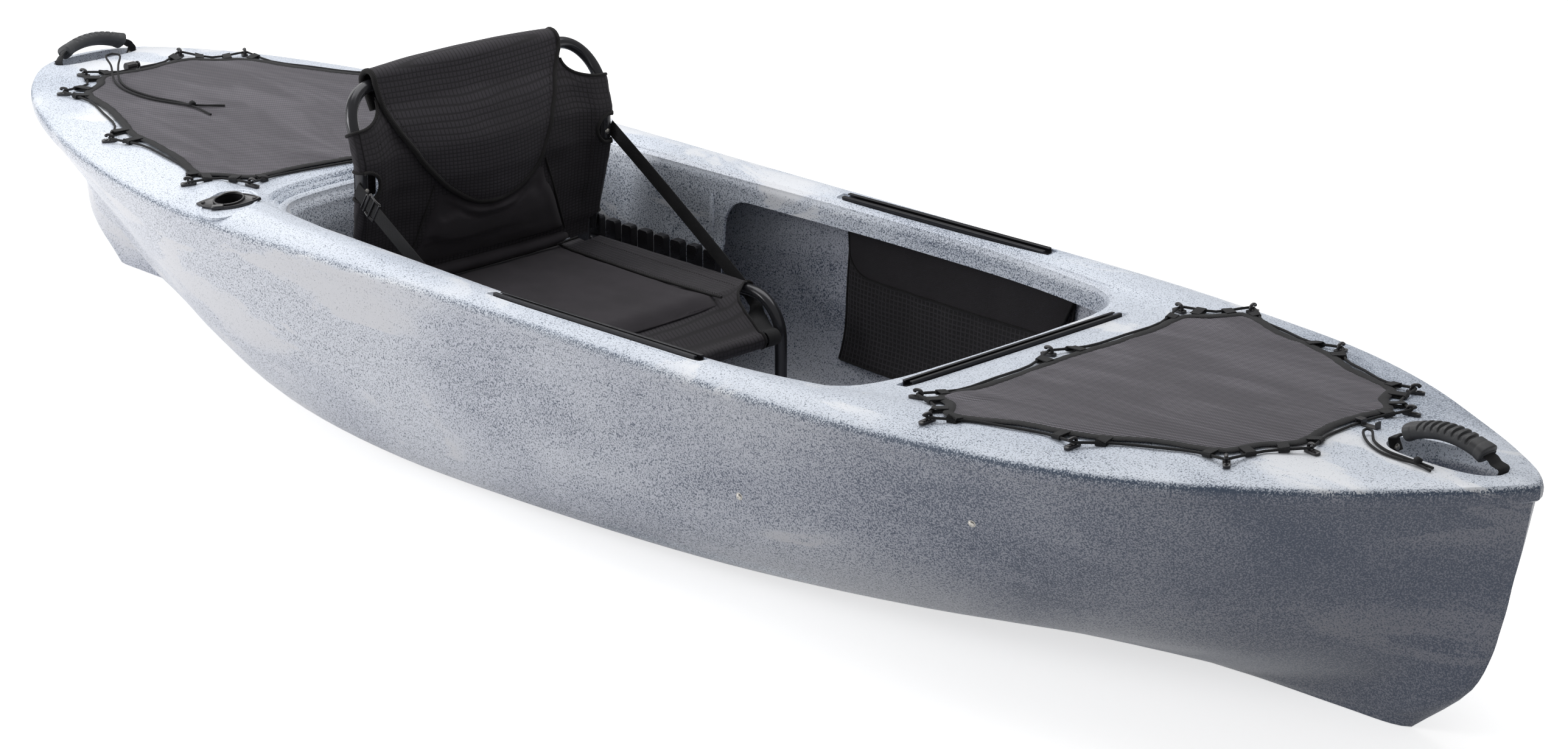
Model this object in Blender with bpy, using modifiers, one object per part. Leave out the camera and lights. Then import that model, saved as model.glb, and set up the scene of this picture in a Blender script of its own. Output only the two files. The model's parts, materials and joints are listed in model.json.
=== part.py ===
"""A sit-in kayak with a lift-out folding seat, modelled piece by piece.

Metres, +Z up, +X towards the bow, origin under the middle of the keel.
The hull is lofted from a table of lines, like the lines plan of a boat.
Everything that is fastened to it finds its own seat by a ray on the finished hull.
"""

import math

import bmesh
import bpy
import numpy as np
from mathutils import Matrix, Vector
from mathutils.bvhtree import BVHTree

# Overall sizes of the hull, and the sizes that its lines were drawn at
HULL_LENGTH = 3.048
HULL_BEAM = 0.812
HULL_HEIGHT = 0.372
DRAWN_AT = (3.048, 0.812, 0.372)

HULL_WALL = 0.005
SEAM_BAND = 0.022           # height of the rim band above the mould seam
DECK_CROWN = 0.012
RING_SPANS = 30             # facets along each half of a hull ring
END_CROWDING = 0.55         # how far the ring's points crowd towards bow and stern
CORNER_CROWDING = 0.35      # how far the cockpit's points crowd towards its corners

# Cockpit: the rim, and the wall that hangs from it
COCKPIT_RIM_Z = 0.335
WALL_FOOT_Z = 0.050
FORE_FOOT_Z = 0.225         # the wall is shallower forward of the seat
FORE_FOOT_FROM = (-0.26, -0.10)
LIP_Z = 0.301               # lower edge of the short lip, where the wall is cut away
WALL_CUT_FROM = -0.240      # aft end of that cut
WALL_CUT_CORNER = 0.050
WALL_CUT_HALF = 0.332
SEAT_SIDE_ROOM = (0.095, 0.065, 0.058)  # from the seat's side to the wall, at its top, middle and foot

GAP = 0.0003                # between pieces that touch

# Deck hooks that hold the covers' shock cord, on the port side: (x, y, turn of the pad in degrees)
BOW_HOOKS = [(0.735, 0.260, 168), (0.808, 0.318, 98), (1.006, 0.262, 94), (1.186, 0.185, 50), (1.246, 0.099, 10)]
BOW_EDGE_HOOK = (0.728, 180)
STERN_HOOKS = [
    (-0.688, 0.272, -12), (-0.743, 0.337, 135), (-1.021, 0.287, 140), (-1.298, 0.182, 150), (-1.366, 0.097, 165)]
STERN_EDGE_HOOK = (-0.652, 0)
HOOK_PAD_LENGTH = 0.019
HOOK_PAD_WIDTH = 0.012
HOOK_PAD_THICK = 0.0035
HOOK_WIRE = 0.0023
SHOCK_CORD = 0.004
BOW_COVER_INSET = 0.021     # from the hooks to the cover's bound edge
STERN_COVER_INSET = 0.030
COVER_THICK = 0.0022
COVER_SAG = 0.008
COVER_SCALLOP = 0.006       # how far the edge is drawn in between two hooks
HOLD_INSET = 0.034          # from the cover's edge to the deck opening under it
HOLD_CORNER = 0.050

# Accessory tracks
TRACK_WIDTH = 0.019
TRACK_HEIGHT = 0.0095
TRACK_SLOT = 0.011
TRACK_MOUTH = 0.0075
TRACK_WALL = 0.002
TRACK_RECESS = 0.005
SIDE_TRACK_Y = 0.3485
SIDE_TRACK_AFT = -0.010
SIDE_TRACK_LENGTH = 0.414
CROSS_TRACK_X = 0.661
CROSS_TRACK_LENGTH = 0.418

# Rod holders
ROD_HOLDER_AT = (-0.632, 0.353)
ROD_HOLDER_FLANGE = (0.050, 0.036)
ROD_HOLDER_LIP = 0.004
ROD_BORE_SHIFT = (-0.012, 0.003)
ROD_HOLDER_TURN = 55.0      # degrees from fore and aft
ROD_BORE = 0.0215
ROD_TUBE_WALL = 0.003
ROD_TUBE_LENGTH = 0.170
ROD_TUBE_LEAN = (-0.16, -0.34)
FLANGE_THICK = 0.004

# Carry handles and the scoops under them
BOW_HANDLE_X = 1.385
STERN_HANDLE_X = -1.478
BOW_SCOOP = (0.088, 0.036)
STERN_SCOOP = (0.082, 0.025)
SCOOP_DEPTH = 0.030
SCOOP_FLOOR = 0.72
SCOOP_WAIST = 0.55
SCOOP_POWER = 2.6
BOW_HANDLE_LEAN = 0.0       # degrees that each grip leans at rest
STERN_HANDLE_LEAN = -28.0
GRIP_HALF_LENGTH = 0.060
GRIP_WIDTH = 0.031
GRIP_HEIGHT = 0.021
GRIP_END_LIFT = 0.016       # axis of the grip's ends above the deck
GRIP_RISE = 0.014
GRIP_NOTCHES = 8
WEBBING = (0.022, 0.0022)
HANDLE_PIVOT_LIFT = 0.004

# Seat frame
SEAT_TUBE = 0.019
SEAT_HALF_WIDTH = 0.235
SEAT_RAIL_Z = 0.1955
SEAT_RAIL_AFT = -0.507
SEAT_LEG_X = -0.037
SEAT_BEND = 0.062
FRONT_TUBE_Z = 0.140
REAR_ROD = 0.014
REAR_ROD_X = -0.448
REAR_ROD_END_PLAY = 0.004
SLING_THICK = 0.0015
SLING_SAG = 0.016
SLING_AFT = -0.452
SLING_CORNER_X = -0.112
SLING_FRONT_HALF = SEAT_HALF_WIDTH - 0.043

# Seat back
BACK_PIVOT = (-0.472, 0.231)
BACK_HALF_WIDTH = SEAT_HALF_WIDTH + 0.009
BACK_CORNER = 0.057
BACK_SHEET = 0.004
BACK_TONGUE_HALF = BACK_HALF_WIDTH - 0.062  # middle of the back, which folds over the top tube
BACK_FOLD = 0.035
NOTCH_Z = 0.375             # where the sleeves are cut away for the strap's rivet
BACK_PAD = 0.020
BACK_LEAN = [(-0.4715, 0.219), (-0.466, 0.262), (-0.455, 0.318), (-0.4445, 0.375), (-0.4440, 0.420), (-0.456, 0.462)]
BACK_TOP = (-0.489, 0.5235)
HINGE_PIN = 0.006
BRACKET_SHEET = 0.0025
BRACKET_LENGTH = 0.038

# Racks that the seat's rear rod drops into
RACK_TEETH = 8
RACK_PITCH = 0.038
RACK_TOP_Z = 0.221
RACK_FOOT_Z = 0.154
RACK_THICK = 0.0138
RACK_SLOT_PLAY = 0.0015

# Straps from the seat back to the front tube
STRAP = (0.025, 0.0016)
RIVET_Z = 0.385

# Foot braces
BRACE_AFT = (0.492, 0.171)
BRACE_FORE = (0.882, 0.230)
BRACE_RAIL = (0.026, 0.010)
PEDAL_WIDTH = 0.078
PEDAL_HEIGHT = 0.110
PEDAL_THICK = 0.008
PEDAL_AT = 0.45             # rest place of the pedal along the rail, 0 aft to 1 forward

# Stern cord lock, and the loose doubled cords at both ends: (x, y, lift over what they lie on)
CORD_LOCK_AT = (-1.344, -0.023)
CORD_LOCK_RADIUS = 0.0075
CORD_LOCK_LENGTH = 0.018
CORD_LOCK_TRAVEL = 0.004
KNOT = 0.012
STERN_TAIL = [(-1.105, -0.099, 0), (-1.160, -0.112, 0), (-1.240, -0.107, 0), (-1.300, -0.083, 0.002),
              (-1.336, -0.060, 0.012), (-1.366, -0.042, 0.024)]
STERN_TAIL_APART = [0.008, 0.010, 0.009, 0.009, 0.012, 0.022]
STERN_TAIL_KNOT = (-1.073, -0.094)
STERN_TAIL_ENDS = [(-1.014, -0.101), (-1.040, -0.053)]
CORD_HOOK_AT = (1.2338, 0.020)
CORD_HOOK_LENGTH = 0.028
CORD_HOOK_WIDTH = 0.010
BOW_TAIL = [(1.352, -0.050, 0), (1.322, -0.046, 0), (1.288, -0.030, 0.001), (1.266, -0.008, 0.004)]
BOW_TAIL_APART = [0.008, 0.009, 0.009, 0.010]
BOW_TAIL_KNOT = (1.378, -0.052)
BOW_TAIL_ENDS = [(1.402, -0.058), (1.400, -0.050)]

# Storage pouch on the port side
POUCH_FROM = -0.030
POUCH_TO = 0.440
POUCH_TOP_Z = 0.286
POUCH_FOOT_Z = 0.075
POUCH_THICK = 0.018

# Lines of the hull, bow to stern: (x, half breadth, height)
RIM = [
    (1.524, 0.0, 0.372), (1.506, 0.030, 0.371), (1.42, 0.103, 0.363), (1.30, 0.186, 0.353),
    (1.15, 0.272, 0.346), (0.98, 0.334, 0.341), (0.72, 0.376, 0.336), (0.42, 0.392, 0.334),
    (0.05, 0.394, 0.334), (-0.28, 0.400, 0.332), (-0.52, 0.406, 0.329), (-0.68, 0.403, 0.329),
    (-0.80, 0.391, 0.330), (-0.90, 0.373, 0.331), (-1.05, 0.338, 0.335), (-1.20, 0.288, 0.340), (-1.33, 0.229, 0.344),
    (-1.43, 0.164, 0.347), (-1.502, 0.088, 0.350), (-1.524, 0.0, 0.351),
]
SIDE = [
    (1.503, 0.0, 0.283), (1.445, 0.048, 0.275), (1.30, 0.150, 0.262), (1.15, 0.228, 0.240),
    (0.98, 0.290, 0.226), (0.72, 0.348, 0.216), (0.42, 0.370, 0.206), (0.05, 0.380, 0.200),
    (-0.28, 0.386, 0.202), (-0.55, 0.386, 0.210), (-0.76, 0.370, 0.222), (-0.90, 0.334, 0.234),
    (-1.05, 0.290, 0.246), (-1.20, 0.248, 0.272), (-1.32, 0.206, 0.300), (-1.42, 0.150, 0.316),
    (-1.494, 0.076, 0.318), (-1.519, 0.0, 0.318),
]
UPPER_BILGE = [
    (1.493, 0.0, 0.238), (1.43, 0.046, 0.226), (1.30, 0.110, 0.188), (1.15, 0.178, 0.158),
    (0.98, 0.240, 0.142), (0.72, 0.312, 0.120), (0.42, 0.352, 0.104), (0.05, 0.370, 0.098),
    (-0.28, 0.374, 0.100), (-0.55, 0.366, 0.118), (-0.76, 0.332, 0.142), (-0.90, 0.286, 0.158),
    (-1.05, 0.240, 0.178), (-1.18, 0.224, 0.228), (-1.30, 0.196, 0.276), (-1.41, 0.140, 0.300),
    (-1.49, 0.064, 0.300), (-1.519, 0.0, 0.298),
]
BILGE = [
    (1.486, 0.0, 0.200), (1.43, 0.030, 0.180), (1.30, 0.074, 0.122), (1.15, 0.128, 0.088),
    (0.98, 0.176, 0.072), (0.72, 0.232, 0.045), (0.42, 0.290, 0.033), (0.05, 0.327, 0.029),
    (-0.28, 0.336, 0.029), (-0.55, 0.312, 0.040), (-0.76, 0.268, 0.066), (-0.92, 0.228, 0.088),
    (-1.05, 0.206, 0.116), (-1.17, 0.208, 0.190), (-1.29, 0.184, 0.252), (-1.40, 0.126, 0.276),
    (-1.488, 0.050, 0.268), (-1.520, 0.0, 0.262),
]
BOTTOM = [
    (1.478, 0.0, 0.168), (1.42, 0.024, 0.137), (1.30, 0.046, 0.085), (1.15, 0.078, 0.050),
    (0.98, 0.112, 0.036), (0.72, 0.158, 0.020), (0.42, 0.208, 0.014), (0.05, 0.236, 0.012),
    (-0.28, 0.240, 0.012), (-0.55, 0.220, 0.017), (-0.76, 0.184, 0.034), (-0.92, 0.152, 0.056),
    (-1.06, 0.130, 0.082), (-1.18, 0.116, 0.122), (-1.29, 0.098, 0.160), (-1.40, 0.078, 0.192),
    (-1.488, 0.040, 0.212), (-1.521, 0.0, 0.220),
]
GARBOARD = [
    (1.468, 0.0, 0.132), (1.405, 0.019, 0.096), (1.30, 0.026, 0.058), (1.15, 0.040, 0.024),
    (0.98, 0.062, 0.012), (0.72, 0.092, 0.005), (0.42, 0.126, 0.0035), (0.05, 0.142, 0.003),
    (-0.28, 0.142, 0.003), (-0.55, 0.130, 0.004), (-0.76, 0.098, 0.010), (-0.92, 0.070, 0.026),
    (-1.06, 0.054, 0.048), (-1.18, 0.050, 0.078), (-1.29, 0.048, 0.098), (-1.40, 0.042, 0.120),
    (-1.48, 0.026, 0.142), (-1.522, 0.0, 0.160),
]
FIN = [
    (1.441, 0.0, 0.078), (1.385, 0.013, 0.040), (1.30, 0.017, 0.022), (1.15, 0.024, 0.008),
    (0.98, 0.036, 0.004), (0.72, 0.056, 0.0015), (0.42, 0.080, 0.001), (0.05, 0.092, 0.001),
    (-0.28, 0.092, 0.001), (-0.55, 0.082, 0.0015), (-0.76, 0.058, 0.003), (-0.92, 0.034, 0.006),
    (-1.06, 0.024, 0.012), (-1.20, 0.023, 0.024), (-1.32, 0.022, 0.036), (-1.42, 0.019, 0.050),
    (-1.49, 0.012, 0.066), (-1.515, 0.0, 0.080),
]
KEEL = [
    (1.352, 0.0, 0.0), (1.335, 0.009, 0.0), (1.25, 0.013, 0.0), (1.12, 0.016, 0.0),
    (0.98, 0.026, 0.0), (0.72, 0.044, 0.0), (0.42, 0.066, 0.0), (0.05, 0.078, 0.0),
    (-0.28, 0.078, 0.0), (-0.55, 0.068, 0.0), (-0.76, 0.044, 0.0), (-0.92, 0.024, 0.0),
    (-1.06, 0.016, 0.0), (-1.18, 0.015, 0.0), (-1.28, 0.014, 0.0), (-1.35, 0.013, 0.0),
    (-1.422, 0.009, 0.0), (-1.430, 0.0, 0.0),
]
COCKPIT = [
    (0.628, 0.0), (0.627, 0.11), (0.622, 0.200), (0.602, 0.258), (0.560, 0.290), (0.500, 0.303),
    (0.380, 0.317), (0.200, 0.3225), (0.0, 0.3220), (-0.200, 0.3160), (-0.380, 0.3100),
    (-0.500, 0.3060), (-0.560, 0.296), (-0.596, 0.262), (-0.611, 0.200), (-0.615, 0.11), (-0.616, 0.0),
]
# Wall that hangs inside the cockpit: height, inset at the sides, inset across the back, widest
WALL = [
    (0.300, 0.006, 0.020, SEAT_HALF_WIDTH + SEAT_SIDE_ROOM[0]),
    (0.200, 0.007, 0.040, SEAT_HALF_WIDTH + SEAT_SIDE_ROOM[1]),
    (WALL_FOOT_Z, 0.012, 0.060, SEAT_HALF_WIDTH + SEAT_SIDE_ROOM[2]),
]

SIDES = ((1, "port"), (-1, "starboard"))

kayak = None
cutters = None


# Scene

def collection(name):
    made = bpy.data.collections.new(name)
    bpy.context.scene.collection.children.link(made)
    return made


def material(name, colour, roughness, metallic=0.0):
    made = bpy.data.materials.new(name)
    made.use_nodes = True
    shader = made.node_tree.nodes["Principled BSDF"]
    shader.inputs["Base Color"].default_value = (*colour, 1.0)
    shader.inputs["Roughness"].default_value = roughness
    shader.inputs["Metallic"].default_value = metallic
    made.diffuse_color = (*colour, 1.0)
    return made


def finish(piece, surface, smooth=True):
    """Put a finished piece in the kayak's collection with its material."""
    piece.data.materials.clear()
    piece.data.materials.append(surface)
    if smooth:
        piece.data.shade_smooth()
        piece.data.set_sharp_from_angle(angle=math.radians(35))
    return piece


# Shapes

def new_object(name, mesh):
    piece = bpy.data.objects.new(name, mesh)
    kayak.objects.link(piece)
    return piece


def from_bmesh(name, shape):
    bmesh.ops.recalc_face_normals(shape, faces=shape.faces)
    mesh = bpy.data.meshes.new(name)
    shape.to_mesh(mesh)
    shape.free()
    return new_object(name, mesh)


def apply_all(piece):
    """Replace a piece's mesh by the one that its modifiers give."""
    bpy.context.view_layer.update()
    graph = bpy.context.evaluated_depsgraph_get()
    mesh = bpy.data.meshes.new_from_object(piece.evaluated_get(graph))
    piece.modifiers.clear()
    piece.data = mesh
    return piece


def from_curve(name, curve, matrix=Matrix()):
    """Mesh of a curve, with its loose caps welded."""
    wire = bpy.data.objects.new(name + "_wire", curve)
    kayak.objects.link(wire)
    wire.matrix_world = matrix
    bpy.context.view_layer.update()
    graph = bpy.context.evaluated_depsgraph_get()
    mesh = bpy.data.meshes.new_from_object(wire.evaluated_get(graph))
    mesh.transform(wire.matrix_world)
    bpy.data.objects.remove(wire)
    shape = bmesh.new()
    shape.from_mesh(mesh)
    bmesh.ops.remove_doubles(shape, verts=shape.verts, dist=0.00002)
    bpy.data.meshes.remove(mesh)
    return from_bmesh(name, shape)


def tube(name, points, diameter, resolution=2):
    """Round bar or tube along points."""
    curve = bpy.data.curves.new(name, "CURVE")
    curve.dimensions = "3D"
    curve.bevel_depth = diameter / 2
    curve.bevel_resolution = resolution
    curve.use_fill_caps = True
    spline = curve.splines.new("POLY")
    spline.points.add(len(points) - 1)
    for point, place in zip(spline.points, points):
        point.co = (*place, 1.0)
    return from_curve(name, curve)


def plate(name, outline, thickness, matrix=Matrix()):
    """Flat outline in its own XY plane, thickness centred on it."""
    curve = bpy.data.curves.new(name, "CURVE")
    curve.dimensions = "2D"
    curve.fill_mode = "BOTH"
    curve.extrude = thickness / 2
    spline = curve.splines.new("POLY")
    spline.points.add(len(outline) - 1)
    for point, place in zip(spline.points, outline):
        point.co = (place[0], place[1], 0.0, 1.0)
    spline.use_cyclic_u = True
    return from_curve(name, curve, matrix)


def box(name, size, centre, bevel=0.0, matrix=Matrix()):
    shape = bmesh.new()
    bmesh.ops.create_cube(shape, size=1.0)
    bmesh.ops.scale(shape, vec=size, verts=shape.verts)
    if bevel > 0:
        bmesh.ops.bevel(shape, geom=shape.edges[:], offset=bevel, segments=1, affect="EDGES")
    bmesh.ops.translate(shape, vec=centre, verts=shape.verts)
    shape.transform(matrix)
    return from_bmesh(name, shape)


def rod(name, radius, length, matrix, sides=12):
    """Cylinder centred on the matrix, along its local Z."""
    shape = bmesh.new()
    bmesh.ops.create_cone(
        shape, cap_ends=True, segments=sides, radius1=radius, radius2=radius, depth=length, matrix=matrix)
    return from_bmesh(name, shape)


def loft(name, rings, closed=True, caps=True):
    """Skin over rings of equal count; the last step joins nothing, and caps fill both ends."""
    shape = bmesh.new()
    rows = [[shape.verts.new(place) for place in ring] for ring in rings]
    count = len(rows[0])
    spans = count if closed else count - 1
    for lower, upper in zip(rows, rows[1:]):
        for i in range(spans):
            j = (i + 1) % count
            shape.faces.new((lower[i], lower[j], upper[j], upper[i]))
    if caps:
        shape.faces.new(rows[0])
        shape.faces.new(rows[-1])
    return from_bmesh(name, shape)


def sweep(name, stations):
    """Skin over stations of (centre, half side vector, half thickness vector): a flat strap."""
    rings = []
    for centre, side, thick in stations:
        centre, side, thick = Vector(centre), Vector(side), Vector(thick)
        rings.append([centre - side - thick, centre + side - thick, centre + side + thick, centre - side + thick])
    return loft(name, rings)


def ribbon(name, points, width_along, size):
    """Strap of the given width and thickness along points; width_along gives its side direction."""
    width, thick = size
    points = [Vector(p) for p in points]
    stations = []
    for i, point in enumerate(points):
        ahead = points[min(i + 1, len(points) - 1)]
        behind = points[max(i - 1, 0)]
        run = (ahead - behind).normalized()
        side = Vector(width_along[i] if isinstance(width_along, list) else width_along)
        side = (side - run * side.dot(run)).normalized()
        out = run.cross(side)
        miter = 1.0
        if 0 < i < len(points) - 1:
            turn = (point - behind).normalized().angle((ahead - point).normalized())
            miter = 1.0 / max(math.cos(turn / 2), 0.5)
        stations.append((point, side * width / 2, out * thick / 2 * miter))
    return sweep(name, stations)


def boolean(target, tool, operation):
    """Join or cut with the exact solver, applied at once; the tool is used up."""
    step = target.modifiers.new(operation.lower(), "BOOLEAN")
    step.operation = operation
    step.object = tool
    step.solver = "EXACT"
    apply_all(target)
    bpy.data.objects.remove(tool)
    return target


def pivot_at(name, matrix):
    """Empty on a joint's axis."""
    pivot = bpy.data.objects.new(name, None)
    pivot.empty_display_size = 0.05
    pivot.matrix_world = matrix
    kayak.objects.link(pivot)
    bpy.context.view_layer.update()
    return pivot


def carry(piece, pivot):
    """Hang a piece on a pivot, its origin on the pivot's axis."""
    piece.data.transform(pivot.matrix_world.inverted())
    piece.parent = pivot
    return piece


def join(pieces):
    """One mesh of pieces that lie apart, to be used as one tool."""
    shape = bmesh.new()
    for piece in pieces:
        mesh = piece.data.copy()
        mesh.transform(piece.matrix_world)
        shape.from_mesh(mesh)
        bpy.data.objects.remove(piece)
    return from_bmesh("tool", shape)


def arc(centre, radius, start, end, steps):
    """Points of an arc in a plane, angles in degrees."""
    turns = [math.radians(start + (end - start) * i / steps) for i in range(steps + 1)]
    return [(centre[0] + radius * math.cos(a), centre[1] + radius * math.sin(a)) for a in turns]


def rounded(corners, radius, steps=4):
    """Outline with its corners rounded, corners given anticlockwise."""
    outline = []
    count = len(corners)
    for i in range(count):
        here = Vector(corners[i])
        back = (Vector(corners[i - 1]) - here).normalized()
        on = (Vector(corners[(i + 1) % count]) - here).normalized()
        half = back.angle(on) / 2
        reach = radius / math.tan(half)
        centre = here + (back + on).normalized() * radius / math.sin(half)
        first = here + back * reach - centre
        last = here + on * reach - centre
        turn = first.angle_signed(last)
        for step in range(steps + 1):
            outline.append(tuple(centre + Matrix.Rotation(-turn * step / steps, 2) @ first))
    return outline


def mirrored(place):
    return (place[0], -place[1], *place[2:])


# Smooth lines

def spline_point(p0, p1, p2, p3, t):
    """Point at t on a centripetal Catmull-Rom span from p1 to p2."""
    k0 = 0.0
    k1 = k0 + max(np.linalg.norm(p1 - p0), 1e-9) ** 0.5
    k2 = k1 + max(np.linalg.norm(p2 - p1), 1e-9) ** 0.5
    k3 = k2 + max(np.linalg.norm(p3 - p2), 1e-9) ** 0.5
    k = k1 + (k2 - k1) * t
    a1 = (p0 * (k1 - k) + p1 * (k - k0)) / (k1 - k0)
    a2 = (p1 * (k2 - k) + p2 * (k - k1)) / (k2 - k1)
    a3 = (p2 * (k3 - k) + p3 * (k - k2)) / (k3 - k2)
    b1 = (a1 * (k2 - k) + a2 * (k - k0)) / (k2 - k0)
    b2 = (a2 * (k3 - k) + a3 * (k - k1)) / (k3 - k1)
    return (b1 * (k2 - k) + b2 * (k - k1)) / (k2 - k1)


def smooth(points, first, last, steps=12):
    """Dense points along a smooth curve; first and last are the ghosts beyond its ends."""
    p = [np.array(q, float) for q in [first, *points, last]]
    dense = []
    for i in range(1, len(p) - 2):
        for step in range(steps):
            dense.append(spline_point(p[i - 1], p[i], p[i + 1], p[i + 2], step / steps))
    dense.append(p[-2])
    return np.array(dense)


def spaced(dense, fractions):
    """Points at the given fractions of a dense line's length."""
    lengths = np.concatenate([[0.0], np.cumsum(np.linalg.norm(np.diff(dense, axis=0), axis=1))])
    wanted = np.array(fractions) * lengths[-1]
    return np.stack([np.interp(wanted, lengths, dense[:, axis]) for axis in range(3)], axis=1)


def scaled_line(points):
    """Hull line at the hull's present size."""
    factors = (HULL_LENGTH / DRAWN_AT[0], HULL_BEAM / DRAWN_AT[1], HULL_HEIGHT / DRAWN_AT[2])
    return [tuple(value * factor for value, factor in zip(point, factors)) for point in points]


def beamed(y):
    """Distance from the middle line at the hull's present beam."""
    return y * HULL_BEAM / DRAWN_AT[1]


def crowded(count):
    """Fractions from 0 to 1 that crowd towards both ends."""
    steps = [i / count for i in range(count + 1)]
    return [u - END_CROWDING * math.sin(2 * math.pi * u) / (2 * math.pi) for u in steps]


def half_line(points, fractions):
    """Smooth half ring on the port side, from the bow end to the stern end."""
    return spaced(smooth(points, mirrored(points[1]), mirrored(points[-2])), fractions)


def whole_ring(half):
    """Closed ring of vectors: port half bow to stern, then starboard half back."""
    port = [Vector(p) for p in half]
    starboard = [Vector((p[0], -p[1], p[2])) for p in half[-2:0:-1]]
    port[0].y = 0.0
    port[-1].y = 0.0
    return port + starboard


def across(halves, position):
    """Half ring between given half rings, smooth across them, at a fractional position."""
    i = min(int(position), len(halves) - 2)
    t = position - i
    before = halves[max(i - 1, 0)] if i > 0 else 2 * halves[0] - halves[1]
    after = halves[i + 2] if i + 2 < len(halves) else 2 * halves[-1] - halves[-2]
    made = [spline_point(before[k], halves[i][k], halves[i + 1][k], after[k], t) for k in range(len(halves[i]))]
    return np.array(made)


# Hull

def hull_rings():
    fractions = crowded(RING_SPANS)
    lines = [half_line(scaled_line(line), fractions) for line in (KEEL, FIN, GARBOARD, BOTTOM, BILGE, UPPER_BILGE, SIDE)]
    rim = half_line(scaled_line(RIM), fractions)
    towards_middle = rim * np.array([0.0, 1.0, 0.0])
    towards_middle[:, 0] = rim[:, 0] * 0.35
    towards_middle /= np.linalg.norm(towards_middle, axis=1)[:, None]
    down = np.array([0.0, 0.0, 1.0])
    overhang = np.interp(rim[:, 0], [-1.5, -1.2, 0.3, 1.0], [0.007, 0.003, 0.003, 0.008])[:, None]
    seam = rim - towards_middle * (overhang + 0.0015) - down * SEAM_BAND
    lines.append(seam)
    positions = [0, 0.5, 1, 2, 3, 4, 4.5, 5, 6, 7]
    halves = [lines[int(p)] if p == int(p) else across(lines, p) for p in positions]
    halves.append(rim - towards_middle * 0.0015 - down * (SEAM_BAND + 0.0005))
    halves.append(rim - down * 0.006)
    edge = rim - towards_middle * 0.007 + down * 0.002
    halves.append(edge)
    cockpit = cockpit_half(0.008, 0.008, COCKPIT_RIM_Z + 0.0015)
    for t in (0.15, 0.50, 0.85):
        between = edge * (1 - t) + cockpit * t
        span = np.linalg.norm(cockpit - edge, axis=1)
        rise = DECK_CROWN * 4 * t * (1 - t) * np.minimum(1.0, 0.35 + span / 0.6)
        halves.append(between + down * rise[:, None])
    halves.append(cockpit)
    halves.append(cockpit_half(0.0, 0.0, COCKPIT_RIM_Z - 0.005))
    for height, side_inset, back_inset, widest in WALL:
        wall = cockpit_half(-side_inset, -back_inset, height)
        wall[:, 1] = np.minimum(wall[:, 1], widest)
        share = (LIP_Z - FORE_FOOT_Z) / (LIP_Z - WALL_FOOT_Z)
        depth = np.interp(wall[:, 0], FORE_FOOT_FROM, [1.0, share])
        wall[:, 2] = LIP_Z - (LIP_Z - height) * np.where(height < LIP_Z - 0.01, depth, 1.0)
        halves.append(wall)
    return [whole_ring(half) for half in halves]


def cockpit_half(outward, aft_outward, height):
    """Half ring round the cockpit, moved outwards from its rim."""
    points = [(x, beamed(y), height) for x, y in COCKPIT]
    steps = [i / RING_SPANS for i in range(RING_SPANS + 1)]
    fractions = [u + CORNER_CROWDING * math.sin(4 * math.pi * u) / (4 * math.pi) for u in steps]
    half = half_line(points, fractions)
    moved = half.copy()
    for i in range(len(half)):
        ahead = half[min(i + 1, len(half) - 1)]
        behind = half[max(i - 1, 0)]
        run = (ahead - behind)[:2]
        if i in (0, len(half) - 1):
            run = np.array([0.0, 1.0 if i == 0 else -1.0])
        normal = np.array([-run[1], run[0]]) / np.linalg.norm(run) * -1
        share = min(1.0, max(0.0, -normal[0]))
        moved[i, :2] += normal * (outward * (1 - share) + aft_outward * share)
    return moved


def make_hull(surface):
    rings = hull_rings()
    shape = bmesh.new()
    rows = [[shape.verts.new(place) for place in ring] for ring in rings]
    count = len(rows[0])
    for lower, upper in zip(rows, rows[1:]):
        for i in range(count):
            j = (i + 1) % count
            shape.faces.new((lower[i], upper[i], upper[j], lower[j]))
    keel = rows[0]
    shape.faces.new((keel[0], keel[1], keel[-1]))
    half = count // 2
    for i in range(1, half - 1):
        shape.faces.new((keel[i], keel[i + 1], keel[-i - 1], keel[-i]))
    shape.faces.new((keel[half - 1], keel[half], keel[half + 1]))
    mesh = bpy.data.meshes.new("hull")
    bmesh.ops.recalc_face_normals(shape, faces=shape.faces)
    lowest = min(shape.faces, key=lambda face: face.calc_center_median().z)
    if lowest.normal.z > 0:
        bmesh.ops.reverse_faces(shape, faces=shape.faces)
    shape.to_mesh(mesh)
    shape.free()
    hull = new_object("hull", mesh)
    wall = hull.modifiers.new("wall", "SOLIDIFY")
    wall.thickness = HULL_WALL
    wall.offset = -1
    wall.use_even_offset = False
    apply_all(hull)
    return finish(hull, surface)


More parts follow.
